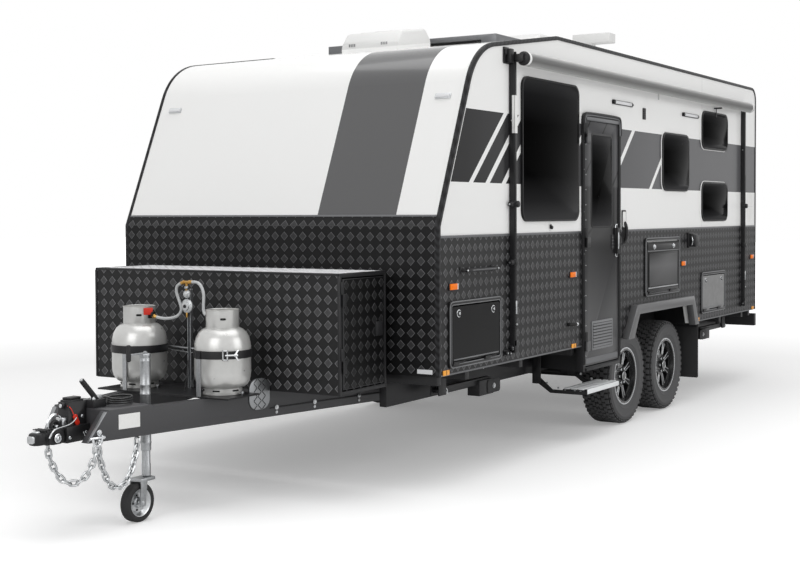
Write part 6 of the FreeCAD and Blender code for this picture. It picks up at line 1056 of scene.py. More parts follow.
def push_lock(form, place, out, finish=0, core=1):
    """Adds a chrome push lock with a black button."""
    place, out = Vector(place), Vector(out)
    bar(form, place, place + out * 0.004, 0.024, 24, 0.0015, finish)
    bar(form, place + out * 0.002, place + out * 0.008, 0.0185, 24, 0.002, core)
    bar(form, place + out * 0.006, place + out * 0.0105, 0.0085, 16, 0.0015, finish)


for node, body, hand, x_low, x_high, z_low, z_high in (("boot_hatch_near", "boot_near_lid", 1, 1.46, 2.111,
        0.728, 1.125), ("boot_hatch_off", "boot_off_lid", -1, 1.46, 2.111, 0.728, 1.125),
        ("service_hatch", "service_lid", 1, -2.918, -2.274, 0.753, 1.115)):
    eased_copy(node, 0.0025, body, reflection_grey_lid if node == "service_hatch" else lid_black)
    locks = bmesh.new()
    for reach in (x_low + 0.115, x_high - 0.105):
        push_lock(locks, (reach, hand * 1.233, z_high - 0.075), (0, hand, 0))
    rounded_panel(locks, (x_low + 0.045, hand * HATCH_FACE - 0.002, z_low + 0.045),
        (x_high - 0.045, hand * HATCH_FACE + 0.002, z_low + 0.053), "Y", 0.003, 0.001, 2)
    fit_piece(node + "_locks", locks, body, [chrome, abs_black, frame_grey])
eased_copy("picnic_table", 0.0025, "table_leaf", lid_black)
table = bmesh.new()
rounded_panel(table, (-1.672, HATCH_FACE, 1.04), (-1.02, 1.2365, 1.33), "Y", 0.02, 0.001, 1)
rounded_panel(table, (-1.655, 1.235, 1.055), (-1.037, 1.2375, 1.315), "Y", 0.014, 0.001, 3)
slab(table, (-1.69, HATCH_FACE, 1.345), (-1.002, 1.24, 1.392), 0.003, 2, 4)
slab(table, (-1.69, HATCH_FACE, 1.332), (-1.002, 1.239, 1.339), 0.001, 1)
slab(table, (-1.676, HATCH_FACE, 1.036), (-1.016, 1.2385, 1.046), 0.001, 1, 2)
for reach in (-1.56, -1.13):
    bar(table, (reach, 1.238, 1.368), (reach, 1.252, 1.368), 0.0145, 20, 0.003, 2)
    bar(table, (reach, 1.238, 1.368), (reach, 1.243, 1.368), 0.021, 20, 0.001, 2)
slab(table, (-1.69, HATCH_FACE, 0.998), (-1.002, 1.2375, 1.03), 0.003, 2, 4)
# The panel's satin sheet is paler a little above its middle and darkest at its head
panel = new_finish("satin_black_panel", "#2a2a2b", 0.34, Specular_IOR_Level=0.2)
feed(panel, fade_along(panel, share_up(panel, 1.055, 1.315), ((0.0, "#363637"), (1.0, "#1c1c1d"),
    (0.6, "#5a5a5b"))), "Base Color")
fit_piece("picnic_table_front", table, "table_leaf", [frame_grey, lid_black, chrome, panel,
    frame_black])
for node, x_low, x_high, z_low, z_high in (("boot", 1.46, 2.111, 0.728, 1.125),
        ("service", -2.918, -2.274, 0.753, 1.115), ("table", -1.731, -0.961, 0.977, 1.442)):
    for hand in (1, -1):
        if node == "table" and hand < 0:
            continue
        ring = bmesh.new()
        # Raised beads round the cast frame's outer and inner rims, painted pale grey as highlights
        bent_bar(ring, rounded_route(x_low + 0.004, x_high - 0.004, z_low + 0.004, z_high - 0.004, 0.03,
            hand * HATCH_FACE), 0.0042, 0, 3, True)
        bent_bar(ring, rounded_route(x_low + 0.022, x_high - 0.022, z_low + 0.022, z_high - 0.022, 0.014,
            hand * HATCH_FACE), 0.0034, 0, 3, True)
        # The cast frame itself, four flat sides between the beads
        for x_one, x_two, z_one, z_two in ((x_low + 0.002, x_high - 0.002, z_low + 0.002, z_low + 0.024),
                (x_low + 0.002, x_high - 0.002, z_high - 0.024, z_high - 0.002),
                (x_low + 0.002, x_low + 0.024, z_low + 0.02, z_high - 0.02),
                (x_high - 0.024, x_high - 0.002, z_low + 0.02, z_high - 0.02)):
            slab(ring, (x_one, hand * 1.2337 - 0.0022, z_one), (x_two, hand * 1.2337 + 0.0022,
                z_two), 0.0015, 2, 1)
        fit_piece("%s_frame_bead_%s" % (node, "near" if hand > 0 else "off"), ring, "caravan",
            [frame_grey, frame_black])

# Entry door
# A black caravan door: an extruded frame with a rain gutter arched over it, a riveted edge, a narrow
# dark window, a louvred vent and a chrome-rimmed lever lock with a blank keypad beside it.
door_black = new_finish("door_skin", "#1c1c1d", 0.3, Specular_IOR_Level=0.15)
door_axes = add_node(door_black, "ShaderNodeSeparateXYZ", {0: add_node(door_black,
    "ShaderNodeTexCoord").outputs["Object"]})
# Charcoal film above the band's foot; below it the satin black, which pales towards the sill
door_fade = fade_along(door_black, share_up(door_black, 0.5, 2.35),
    ((0.0, "#5c5c5d"), (0.22, "#4c4c4d"), (0.4, "#2a2a2b"), (0.5, "#131314"), (0.7185, "#19191a"),
    (0.7195, "#3e3e40"), (1.0, "#414143")))
# The slashes of the side's film run on over the door as open gaps, which show its black skin
door_slant = add_node(door_black, "ShaderNodeMath", {1: FILM_SLANT, 0: door_axes.outputs["Z"],
    2: door_axes.outputs["X"]}, operation="MULTIPLY_ADD").outputs[0]
door_gaps = None
for centre, half in ((-1.645, 0.012), (-1.945, 0.01), (-2.51, 0.014)):
    gap = window_of(door_black, door_slant, centre + FRONT + FILM_SLANT * FILM_FOOT, half)
    door_gaps = gap if door_gaps is None else add_node(door_black, "ShaderNodeMath", {0: door_gaps, 1: gap},
        operation="MAXIMUM").outputs[0]
film_foot = add_node(door_black, "ShaderNodeMath", {1: FILM_FOOT, 0: door_axes.outputs["Z"]},
    operation="GREATER_THAN").outputs[0]
door_slashes = add_node(door_black, "ShaderNodeMath", {0: door_gaps, 1: film_foot},
    operation="MULTIPLY").outputs[0]
door_colour = add_node(door_black, "ShaderNodeMix", {"B": linear_colour("#0c0c0d"), "Factor": door_slashes,
    "A": door_fade}, data_type="RGBA")
feed(door_black, door_colour.outputs["Result"], "Base Color")
eased_copy("entry_door", 0.003, "entry_door_leaf", door_black)
eased_copy("entry_door_frame", 0.003, "caravan", powder_black)
leaf = bmesh.new()
rounded_panel(leaf, (-0.302, 1.2195, 1.531), (0.086, 1.2335, 2.219), "Y", 0.032, 0.003, 3, 6)
# Louvred vent: its surround and slats
rounded_panel(leaf, (-0.3, 1.231, 0.65), (0.08, 1.237, 0.86), "Y", 0.012, 0.0018, 0, 4)
rounded_panel(leaf, (-0.284, 1.2345, 0.666), (0.064, 1.2378, 0.844), "Y", 0.006, 0.0008, 2, 3)
for slat in range(8):
    slab(leaf, (-0.28, -0.0012, -0.0085), (0.06, 0.0012, 0.0085), 0.0008, 1, 1,
        set_at((0, 1.2382, 0.678 + slat * 0.0222), 16, "X"))
# Rivets down the hinge side and the chrome-rimmed lever lock
for count in range(16):
    rivet(leaf, (0.176, 1.2325, 0.62 + count * 0.108), 4)
rounded_panel(leaf, (-0.391, 1.2315, 1.31), (-0.347, 1.2395, 1.56), "Y", 0.02, 0.003, 4, 6)
rounded_panel(leaf, (-0.385, 1.2375, 1.318), (-0.353, 1.2415, 1.552), "Y", 0.015, 0.0015, 2, 6)
bent_bar(leaf, [(-0.369, 1.238, 1.35), (-0.369, 1.2515, 1.372), (-0.369, 1.252, 1.43),
    (-0.369, 1.2515, 1.495), (-0.369, 1.238, 1.52)], 0.0075, 4)
bar(leaf, (-0.369, 1.24, 1.337), (-0.369, 1.2445, 1.337), 0.0065, 14, 0.001, 4)
rounded_panel(leaf, (-0.331, 1.2315, 1.37), (-0.279, 1.2365, 1.48), "Y", 0.006, 0.0015, 2, 4)
for row in range(4):
    for column in range(3):
        bar(leaf, (-0.32 + column * 0.015, 1.236, 1.388 + row * 0.024),
            (-0.32 + column * 0.015, 1.2378, 1.388 + row * 0.024), 0.0042, 10, 0.0006, 1)
# A slim kick strip over the door's foot
slab(leaf, (-0.395, 1.2315, 0.56), (0.178, 1.2345, 0.6), 0.001, 1, 1)
fit_piece("entry_door_hardware", leaf, "entry_door_leaf", [frame_grey, trim_grey, abs_black, seal_black,
    chrome])
door_glass = bmesh.new()
rounded_panel(door_glass, (-0.287, 1.2225, 1.546), (0.071, 1.2345, 2.204), "Y", 0.024, 0.003, 0, 6)
door_pane = fit_piece("entry_door_pane", door_glass, "entry_door_leaf", acrylic, ["entry_door_glass"])
share_height(door_pane, 1.546, 2.204)
surround = bmesh.new()
# Rain gutter arched over the frame, in two black beads over a bright strip; the strip under its top is a
# painted highlight
slab(surround, (-0.398, 1.238, 2.3), (0.18, 1.244, 2.326))
for inset, level, bulge, coat in ((0.0, 0.0, 0.0105, 1), (0.014, 0.013, 0.0065, 0)):
    arch = [(-0.44 + inset, 1.24, 2.215), (-0.44 + inset, 1.24, 2.3 - level),
        (-0.428 + inset, 1.24, 2.342 - level), (-0.392, 1.24, 2.352 - level), (-0.105, 1.24, 2.353 - level),
        (0.176, 1.24, 2.352 - level), (0.211 - inset, 1.24, 2.342 - level),
        (0.223 - inset, 1.24, 2.3 - level), (0.223 - inset, 1.24, 2.215)]
    bent_bar(surround, arch, bulge, coat, 6)
# Extruded ribs down both jambs and a bright sill
for reach in (0.205, 0.224, -0.4215, -0.4405):
    slab(surround, *around((reach, 1.2375, 1.41), (0.004, 0.0025, 0.85)), 0.0015, 2, 1)
slab(surround, (-0.4, 1.23, 0.511), (0.19, 1.246, 0.532), 0.003, 2, 1)
for level in (0.75, 1.05, 1.35, 1.65, 1.95, 2.15):
    rivet(surround, (0.2145, 1.236, level), 2)
fit_piece("entry_door_gutter", surround, "caravan", [trim_grey, powder_black, zinc])

# Entry step
# A folding step: three ribbed planks of bright aluminium with a rounded nose between black steel arms,
# which turn on bolts under the door.
mill_aluminium = mottled("mill_aluminium", 0.003, ("#e2e4e5", "#f4f6f7"), (0.26, 0.44), Metallic=0.2)
eased_copy("step_tread", 0.002, "step", powder_black)
planks = bmesh.new()
for plank in range(3):
    start = 1.09 + plank * 0.0575
    slab(planks, (-0.331, start, 0.381), (0.246, start + 0.043, 0.3895), 0.0018)
    # A black strip under each gap between the planks is painted shade
    slab(planks, (-0.331, start + 0.0425, 0.38), (0.246, start + 0.058, 0.3835), 0.0005, 1, 1)
    for rib in range(3):
        slab(planks, (-0.331, start + 0.006 + rib * 0.013, 0.389), (0.246, start + 0.011 + rib * 0.013,
            0.3905), 0.0006, 1)
slab(planks, (-0.333, 1.258, 0.353), (0.248, 1.2735, 0.388), 0.005, 3)
for groove in range(3):
    slab(planks, (-0.333, 1.2728, 0.359 + groove * 0.009), (0.248, 1.2745,
        0.3625 + groove * 0.009), 0.0008, 1)
for reach, out in ((0.2505, 1), (-0.3355, -1)):
    slab(planks, (reach - 0.006, 1.255, 0.35), (reach + 0.003, 1.276, 0.391), 0.003, 2, 1)
    for across, level in ((1.225, 0.371), (1.18, 0.371), (1.105, 0.371), (1.05, 0.389), (0.96, 0.42)):
        hex_bolt(planks, (reach, across, level), (out, 0, 0), 0.006, 0.005, 2)
fit_piece("step_planks", planks, "step", [mill_aluminium, abs_black, zinc])

# Awning
# A rolled sheet of grey acrylic canvas on an aluminium tube, in black end caps with bright rims. Black
# nested channels with knobs and catches hold it; their label is left blank.
ROLL_Y, ROLL_Z = 1.308, 2.622
canvas = new_finish("awning_canvas", "#8d8d8d", 0.85, Sheen_Weight=0.3)
canvas_spot = add_node(canvas, "ShaderNodeTexCoord").outputs["Object"]
# The canvas is painted by height round the roll: a painted highlight along its top, painted shade below its
# middle, paler again at its foot
canvas_painted_light = fade_along(canvas, share_up(canvas, 2.576, 2.668),
    ((0.0, "#a2a2a1"), (0.18, "#7c7c7b"), (0.34, "#555554"), (0.6, "#5f5f5e"), (0.8, "#8f8f8e"),
    (1.0, "#c4c4c3")))
weave = add_node(canvas, "ShaderNodeTexNoise", {"Scale": 180, "Detail": 4.0, "Vector": canvas_spot})
canvas_mix = add_node(canvas, "ShaderNodeMix", {"Factor": 0.22, "A": canvas_painted_light,
    "B": weave.outputs["Color"]}, data_type="RGBA", blend_type="SOFT_LIGHT")
feed(canvas, canvas_mix.outputs["Result"], "Base Color")
weave_height = add_node(canvas, "ShaderNodeBump", {"Strength": 0.6, "Distance": 0.0005,
    "Height": weave.outputs["Fac"]})
feed(canvas, weave_height.outputs["Normal"], "Normal")
roll = bmesh.new()
roll_outline = [(0, -3.388), (0.043, -3.388)]
for wrinkle in range(47):
    roll_outline.append((0.0445 + 0.0009 * sin(wrinkle * 2.1), -3.37 + wrinkle * 0.1))
roll_outline += [(0.043, 1.288), (0, 1.288)]
turn_profile(roll, roll_outline, (0, ROLL_Y, ROLL_Z), "X", 36)
# The loose hem of the canvas and its pull strap
slab(roll, (-3.35, 1.3235, 2.571), (1.255, 1.3255, 2.588), 0.0008, 1)
slab(roll, (-1.01, 1.324, 2.525), (-0.985, 1.3265, 2.58), 0.0008, 1)
for reach, out in ((1.29, 1), (-3.39, -1)):
    turn_profile(roll, [(radius, out * along) for radius, along in ((0, 0), (0.044, 0), (0.0452, 0.003),
        (0.0452, 0.009), (0.044, 0.011), (0.04, 0.0115), (0.036, 0.016), (0.016, 0.018), (0.014, 0.0225),
        (0, 0.0225))], (reach, ROLL_Y, ROLL_Z), "X", 36, 1)
    turn_profile(roll, [(0.043, out * -0.026), (0.0452, out * -0.025), (0.0459, out * -0.012),
        (0.0452, out * 0.001), (0.043, out * 0.002), (0.043, out * -0.026)],
        (reach, ROLL_Y, ROLL_Z), "X", 36, 3)
slab(roll, (-3.395, 1.2205, 2.645), (1.3, 1.2265, 2.659), 0.001, 1, 3)
fit_piece("awning_roll", roll, "caravan", [canvas, abs_black, zinc, plain_skin], ["awning"])
arms = bmesh.new()
for reach, ahead in ((1.315, 1), (-3.42, -1)):
    # Outer channel, the inner arm in it and the foot and head brackets on the wall
    slab(arms, *around((reach, 1.22425, 1.729), (0.019, 0.00175, 0.939)), 0.0008, 1)
    for edge in (-0.019, 0.0145):
        slab(arms, (reach + edge, 1.224, 0.79), (reach + edge + 0.0045, 1.256, 2.668), 0.0012, 1)
    slab(arms, *around((reach, 1.2445, 1.735), (0.0115, 0.0165, 0.905)), 0.003)
    slab(arms, *around((reach, 1.2609, 1.445), (0.0035, 0.0009, 0.545)), 0.0005, 1, 4)
    rounded_panel(arms, *around((reach, 1.22625, 0.777), (0.03, 0.00375, 0.035)), "Y", 0.008, 0.001)
    slab(arms, *around((reach, 1.246, 0.774), (0.022, 0.02, 0.022)), 0.004, 2, 1)
    bar(arms, (reach - 0.027, 1.248, 0.775), (reach + 0.027, 1.248, 0.775), 0.0055, 12, 0.001, 2)
    # Head bracket that holds the roll
    slab(arms, *around((reach + ahead * 0.046, 1.24075, 2.636), (0.024, 0.01925, 0.044)), 0.003, 2, 1)
    slab(arms, *around((reach, 1.271, 2.625), (0.017, 0.047, 0.025)), 0.005, 2, 1)
    # Knobs with their clamps, the bright catch and the stud
    for level in (1.7, 1.33):
        bar(arms, (reach, 1.25, level), (reach, 1.283 if level > 1.5 else 1.27, level), 0.021, 8, 0.005, 1)
        slab(arms, *around((reach, 1.244, level), (0.024, 0.02, 0.022)), 0.005, 2, 1)
        bar(arms, (reach + ahead * 0.012, 1.245, level), (reach + ahead * 0.055, 1.245, level),
            0.018, 8, 0.005, 1)
        bar(arms, (reach + ahead * 0.055, 1.245, level), (reach + ahead * 0.06, 1.245, level),
            0.006, 10, 0, 2)
    slab(arms, *around((reach, 1.263, 1.0425), (0.007, 0.003, 0.0425)), 0.002, 2, 2)
    bar(arms, (reach, 1.26, 0.934), (reach, 1.269, 0.934), 0.0065, 14, 0.0015, 2)
    bar(arms, (reach - 0.024, 1.24, 2.23), (reach + 0.024, 1.24, 2.23), 0.005, 10, 0.001, 2)
slab(arms, (1.2975, 1.261, 2.15), (1.336, 1.2628, 2.39), 0, 1, 3)
slab(arms, (1.3342, 1.244, 2.15), (1.336, 1.2628, 2.39), 0, 1, 3)
# Flag-shaped bracket at the front arm's head and the latch plate at its foot
rounded_panel(arms, (1.344, 1.2225, 2.585), (1.418, 1.229, 2.69), "Y", 0.01, 0.001, 1)
slab(arms, (1.352, 1.228, 2.64), (1.41, 1.24, 2.676), 0.004)
rounded_panel(arms, (1.296, 1.2235, 0.738), (1.428, 1.231, 0.776), "Y", 0.01, 0.001)
for reach, level in ((1.412, 0.757), (1.372, 0.752), (1.345, 0.786)):
    bar(arms, (reach, 1.23, level), (reach, 1.252, level), 0.0135, 12, 0.002, 1)
    bar(arms, (reach, 1.251, level), (reach, 1.256, level), 0.005, 10, 0.001, 2)
# Cradle that keeps the roll from swinging
slab(arms, (-2.645, 1.22, 2.565), (-2.625, 1.292, 2.578), 0.002, 1)
slab(arms, (-2.642, 1.236, 2.49), (-2.628, 1.242, 2.57), 0.002, 1)
fit_piece("awning_arms", arms, "caravan", [powder_black, abs_black, zinc, blank_label, dark_hole])

# Handles, inlet and other fittings
# Small fittings of black plastic and chrome: grab handles, a recessed handle by the door, the mains
# inlet with its hinged cover, a speaker, a door holdback, vents, a blank number plate and the camera.
HANDLE_Z = 1.303
fittings = merged_copy("fittings")
# The door's recessed handle is modelled below as the flush fitting that it is
recess = [vert for vert in fittings.verts if -0.6 < vert.co.x < -0.5 and vert.co.z > 1.38
    and vert.co.y > 1.21]
bmesh.ops.delete(fittings, geom=recess, context="VERTS")
ease_edges(fittings, [edge for edge in fittings.edges if len(edge.link_faces) == 2
    and edge.calc_face_angle() > 0.6 and edge.calc_length() > 0.004], 0.0025, 2, True)
# Recessed handle: chrome rim, white upper field, black lower cup and its grip
rounded_panel(fittings, (-0.582, 1.2195, 1.398), (-0.502, 1.2275, 1.662), "Y", 0.014, 0.003)
rounded_panel(fittings, (-0.571, 1.224, 1.532), (-0.513, 1.229, 1.65), "Y", 0.008, 0.001, 3, 4)
rounded_panel(fittings, (-0.573, 1.224, 1.407), (-0.511, 1.2285, 1.532), "Y", 0.008, 0.001, 1, 4)
bent_bar(fittings, [(-0.542, 1.226, 1.425), (-0.542, 1.244, 1.44), (-0.542, 1.248, 1.49),
    (-0.542, 1.246, 1.545), (-0.542, 1.23, 1.57)], 0.012)
# Mains inlet: base, hinged dome cover and its bright rim
rounded_panel(fittings, (-2.062, 1.2225, 1.34), (-1.928, 1.24, 1.47), "Y", 0.016, 0.004)
rounded_panel(fittings, (-2.052, 1.238, 1.348), (-1.938, 1.296, 1.452), "Y", 0.036, 0.014, 0, 6)
bar(fittings, (-2.05, 1.245, 1.455), (-1.94, 1.245, 1.455), 0.007, 12, 0.001)
bent_bar(fittings, [(-1.942, 1.262, 1.362), (-1.934, 1.28, 1.4), (-1.942, 1.262, 1.436)], 0.004, 2)
# Speaker grille under the awning
rounded_panel(fittings, (-0.985, 1.2205, 2.372), (-0.925, 1.2255, 2.462), "Y", 0.005, 0.001, 0, 4)
for row in range(5):
    for column in range(3):
        bar(fittings, (-0.973 + column * 0.018, 1.225, 2.386 + row * 0.0155),
            (-0.973 + column * 0.018, 1.2265, 2.386 + row * 0.0155), 0.0055, 10, 0.0005, 1)
# Rubber door holdback with its chrome end, and the small bolt under the roof's edge
bar(fittings, (0.48, 1.236, 0.868), (0.36, 1.243, 0.862), 0.013, 16, 0.002, 1, 0.011)
bar(fittings, (0.362, 1.243, 0.862), (0.346, 1.2435, 0.862), 0.0135, 16, 0.003, 2)
bar(fittings, (0.455, 1.223, 0.868), (0.455, 1.237, 0.868), 0.01, 12, 0.001, 1)
# Front grab handles: the thick grip and its bright bosses
for hand in (1, -1):
    bent_bar(fittings, [(1.958, hand * 1.226, HANDLE_Z), (1.955, hand * 1.262, HANDLE_Z),
        (1.9, hand * 1.268, HANDLE_Z), (1.765, hand * 1.268, HANDLE_Z), (1.63, hand * 1.268, HANDLE_Z),
        (1.575, hand * 1.262, HANDLE_Z), (1.572, hand * 1.226, HANDLE_Z)], 0.0115)
    slab(fittings, *around((1.765, hand * 1.2785, 1.3035), (0.145, 0.001, 0.0025)), 0.0005, 1, 4)
    for reach in (1.572, 1.958):
        bar(fittings, (reach, hand * 1.223, HANDLE_Z), (reach, hand * 1.23, HANDLE_Z), 0.021, 20, 0.002)
        bar(fittings, (reach, hand * 1.26, HANDLE_Z), (reach, hand * 1.2745, HANDLE_Z), 0.006, 12, 0.001, 2)
# Blank pale panel with its outline at the rear corner
for low, high in ((1.56, 1.69), (1.7, 1.83)):
    rounded_panel(fittings, (-3.785, 1.2198, low), (-3.625, 1.2206, high), "Y", 0.004, 0, 3, 3)
# Slats of the refrigerator's vents on the off side
for low in (1.53, 2.05):
    for slat in range(7):
        slab(fittings, (-0.49, -1.242, low + 0.016 + slat * 0.0185), (-0.07, -1.236,
            low + 0.024 + slat * 0.0185), 0.0012, 1, 1)
# Blank number plate and the camera's lens
slab(fittings, (-3.8735, -0.82, 0.704), (-3.8712, -0.46, 0.803), 0.0008, 1, 3)
bar(fittings, (-3.9125, 0, 2.5275), (-3.916, 0, 2.5275), 0.016, 20, 0.001, 1)
fit_piece("small_fittings", fittings, "caravan", [abs_black, dark_hole, chrome, blank_label, trim_grey],
    ["fittings"])

# Lamps
# Moulded lenses on black bases: amber side markers, amber sill lamps, clear awning lamps, clear front
# markers and reflectors, and stacked red, amber and clear tail lamps.
amber = mottled("amber_lens", 0.004, ("#fb6e06", "#ff8a1c"), (0.16, 0.26), 0.0001, Specular_IOR_Level=0.15)
yellow = mottled("yellow_lens", 0.004, ("#ef930f", "#ffb63c"), (0.1, 0.22), 0.0001)
clear_lens = mottled("clear_lens", 0.004, ("#cfd0d2", "#ebecee"), (0.1, 0.22), 0.0001)
red_lens = mottled("red_lens", 0.004, ("#9c0d14", "#c91c24"), (0.1, 0.22), 0.0001)
lamps = bmesh.new()
for hand in (1, -1):
    for reach in (2.058, 0.39, -1.826, -3.73):
        slab(lamps, *around((reach, hand * 1.2265, 1.211), (0.053, 0.0035, 0.022)), 0.002, 2, 4)
        slab(lamps, (reach - 0.038, hand * 1.2325 - 0.0045, 1.193), (reach + 0.046, hand * 1.2325 + 0.0045,
            1.229), 0.003)
        slab(lamps, (reach - 0.05, hand * 1.231 - 0.004, 1.193), (reach - 0.039, hand * 1.231 + 0.004,
            1.229), 0.002, 2, 2)
    for reach in (2.142, 0.367, -2.198, -3.78):
        slab(lamps, *around((reach, hand * 1.226, 0.71), (0.036, 0.003, 0.015)), 0.002, 2, 1)
        slab(lamps, *around((reach, hand * 1.2275, 0.71), (0.0015, 0.003, 0.014)), 0.0005, 1, 4)
    # Front markers on the slope and the clear reflectors at the foot of the front
    place = (Matrix.Translation((FRONT - (2.352 - 1.57) * tan(front_slope), hand * 1.065, 2.352))
        @ Matrix.Rotation(-front_slope, 4, "Y"))
    rounded_panel(lamps, (-0.001, -0.055, -0.018), (0.006, 0.055, 0.018), "X", 0.006, 0.001, 3, 4, place)
    rounded_panel(lamps, (0.004, -0.048, -0.012), (0.014, 0.048, 0.013), "X", 0.006, 0.003, 2, 4, place)
    slab(lamps, (FRONT + 0.003, hand * 1.13 - 0.052, 0.706), (FRONT + 0.0065, hand * 1.13 + 0.052,
        0.732), 0.001, 1, 2)
    # Tail lamps: bezel and four lenses
    rounded_panel(lamps, *around((-3.87375, hand * 1.085, 1.05), (0.00625, 0.062, 0.145)), "X",
        0.016, 0.003, 4)
    for low, high, lens in ((0.916, 0.976, 2), (0.98, 1.058, 0), (1.062, 1.12, 5), (1.124, 1.184, 5)):
        rounded_panel(lamps, (-3.8955, hand * 1.085 - 0.052, low), (-3.876, hand * 1.085 + 0.052, high), "X",
            0.01, 0.004, lens, 4)
for reach in (-0.515, -2.005):
    rounded_panel(lamps, *around((reach, 1.22525, 2.468), (0.198, 0.00375, 0.017)), "Y", 0.012, 0.002, 4, 4)
    rounded_panel(lamps, *around((reach, 1.2315, 2.468), (0.16, 0.0055, 0.012)), "Y", 0.008, 0.003, 2, 4)
    bar(lamps, (reach + 0.176, 1.226, 2.468), (reach + 0.176, 1.24, 2.468), 0.017, 16, 0.004, 4)
    slab(lamps, (reach - 0.196, 1.226, 2.46), (reach - 0.168, 1.235, 2.476), 0.003, 2, 4)
fit_piece("lamp_lenses", lamps, "caravan", [amber, yellow, clear_lens, zinc, abs_black, red_lens],
    ["lamps"])

# Tyres
# All-terrain tyres: staggered tread blocks with sipes over deep grooves, shoulder lugs and a ribbed
# sidewall without lettering.
tyre_rubber = mottled("tyre_rubber", 0.01, ("#444445", "#565657"), (0.68, 0.86), 0.0002)
# The grooves between the tread blocks are painted dark as shade
groove_shade_rubber = mottled("tyre_groove_rubber", 0.01, ("#111112", "#1c1c1d"), (0.8, 0.92), 0.0002)
TYRE_SIDE = [(0.208, 0.0936), (0.2223, 0.094), (0.226, 0.1), (0.2404, 0.1116), (0.252, 0.115),
    (0.2535, 0.1168), (0.259, 0.1175), (0.2605, 0.1162), (0.2809, 0.1188), (0.313, 0.1188), (0.3145, 0.1198),
    (0.3205, 0.1194), (0.322, 0.1178), (0.34, 0.113), (0.353, 0.103), (0.359, 0.094)]
TYRE_OUTLINE = ([(radius, -across) for radius, across in TYRE_SIDE] + [(0.3605, -0.07), (0.361, 0.07)]
    + TYRE_SIDE[::-1] + [(0.208, -0.0936)])


def add_tyre(form, centre, axis):
    """Adds a whole tyre about an axis through its centre."""
    whole = bmesh.new()
    turn_profile(whole, TYRE_OUTLINE, (0, 0, 0), "Z", 72)
    # The tread band between the blocks takes the painted groove shade
    for face in whole.faces:
        middle = face.calc_center_median()
        face.material_index = 1 if hypot(middle.x, middle.y) > 0.345 else 0
    lugs = 46
    for row, width, shift, twist in ((-0.0265, 0.0245, 0.0, 16), (0.0265, 0.0245, 0.5, 16),
            (0.0, 0.021, 0.25, -20), (-0.057, 0.026, 0.6, -8), (0.057, 0.026, 0.1, -8)):
        for count in range(lugs):
            turn = tau * (count + shift) / lugs
            place = Matrix.Rotation(turn, 4, "Z") @ set_at((0.3645, 0, row), twist, "X")
            slab(whole, (-0.005, -0.02, -width / 2), (0.0038, 0.0165, width / 2), 0.0012, 1, 0, place)
    for side in (1, -1):
        for count in range(lugs):
            turn = tau * (count + (0.5 if side > 0 else 0.0)) / lugs
            place = Matrix.Rotation(turn, 4, "Z") @ set_at((0.362, 0, side * 0.0865), -10 * side, "Y")
            slab(whole, (-0.005, -0.0185, -0.0155), (0.005, 0.015, 0.0155), 0.0015, 1, 0, place)
            low_place = Matrix.Rotation(turn, 4, "Z") @ Matrix.Translation((0.348, 0, side * 0.1085))
            reach = 0.01 if count % 2 else 0.004
            slab(whole, (-0.008 - reach, -0.015, -0.004), (0.009, 0.012, 0.004), 0.0015, 1, 0,
                low_place @ Matrix.Rotation(radians(-38 * side), 4, "Y"))
    add_form(form, whole, Matrix.Translation(centre) @ TURN_TO[axis], None)


HALF_TRACK, HUB_Z = 1.045, 0.37
wheel_places = (("front_near", -0.76, 1), ("rear_near", -1.62, 1), ("front_off", -0.76, -1),
    ("rear_off", -1.62, -1))
for corner, reach, hand in wheel_places:
    tyre = bmesh.new()
    add_tyre(tyre, (reach, hand * HALF_TRACK, HUB_Z), "Y")
    fit_piece("tyre_%s_rubber" % corner, tyre, "wheel_" + corner, [tyre_rubber, groove_shade_rubber],
        ["tyre_" + corner])

# Rims
# Cast alloy in gloss black with machined lips, bead bolts, chrome wheel nuts and a blank centre cap.
alloy = mottled("gloss_black_alloy", 0.01, ("#151516", "#232324"), (0.18, 0.3), Coat_Weight=0.6,
    Coat_Roughness=0.06)
# Bare machined lips catch the light
machined = mottled("machined_alloy", 0.002, ("#ced0d2", "#ebedef"), (0.18, 0.32), Metallic=0.4)


def add_rim_details(form, centre, axis, out):
    """Adds the lips, bolts, nuts and cap of one rim, whose outer side faces out."""
    details = bmesh.new()
    turn_profile(details, [(0.2085, 0.094), (0.2225, 0.094), (0.224, 0.0975), (0.2225, 0.104),
        (0.2185, 0.105), (0.208, 0.101), (0.206, 0.0965), (0.2085, 0.094)], (0, 0, 0), "Z", 64)
    for count in range(24):
        turn = tau * count / 24
        spot = Vector((0.2135 * cos(turn), 0.2135 * sin(turn), 0.102))
        bar(details, spot, spot + Vector((0, 0, 0.0045)), 0.0042, 6, 0.0008)
    # Machined edges of the spokes, thin fins beside each window
    for count in range(8):
        for side in (-1, 1):
            turn = tau * (count + 0.5) / 8
            place = Matrix.Rotation(turn, 4, "Z") @ set_at((0.137, side * 0.0125, 0.06), side * 5, "Z")
            slab(details, (-0.047, -0.0024, -0.003), (0.05, 0.0024, 0.003), 0.001, 1, 0, place)
    for count in range(6):
        turn = tau * count / 6
        spot = Vector((0.0585 * cos(turn), 0.0585 * sin(turn), 0.058))
        bar(details, spot, spot + Vector((0, 0, 0.024)), 0.0105, 6, 0.002, 2)
    turn_profile(details, [(0, 0.062), (0.0355, 0.062), (0.0365, 0.07), (0.0345, 0.0885), (0.03, 0.0925),
        (0.012, 0.094), (0, 0.094)], (0, 0, 0), "Z", 32, 1)
    turn_profile(details, [(0.03, 0.0915), (0.0318, 0.0935), (0.0335, 0.0915), (0.0318, 0.0895),
        (0.03, 0.0915)], (0, 0, 0), "Z", 32, 2)
    tilt = Matrix.Rotation(radians(-90 * out), 4, "X") if axis == "Y" else Matrix.Rotation(radians(90
        * out), 4, "Y")
    add_form(form, details, Matrix.Translation(centre) @ tilt, None)


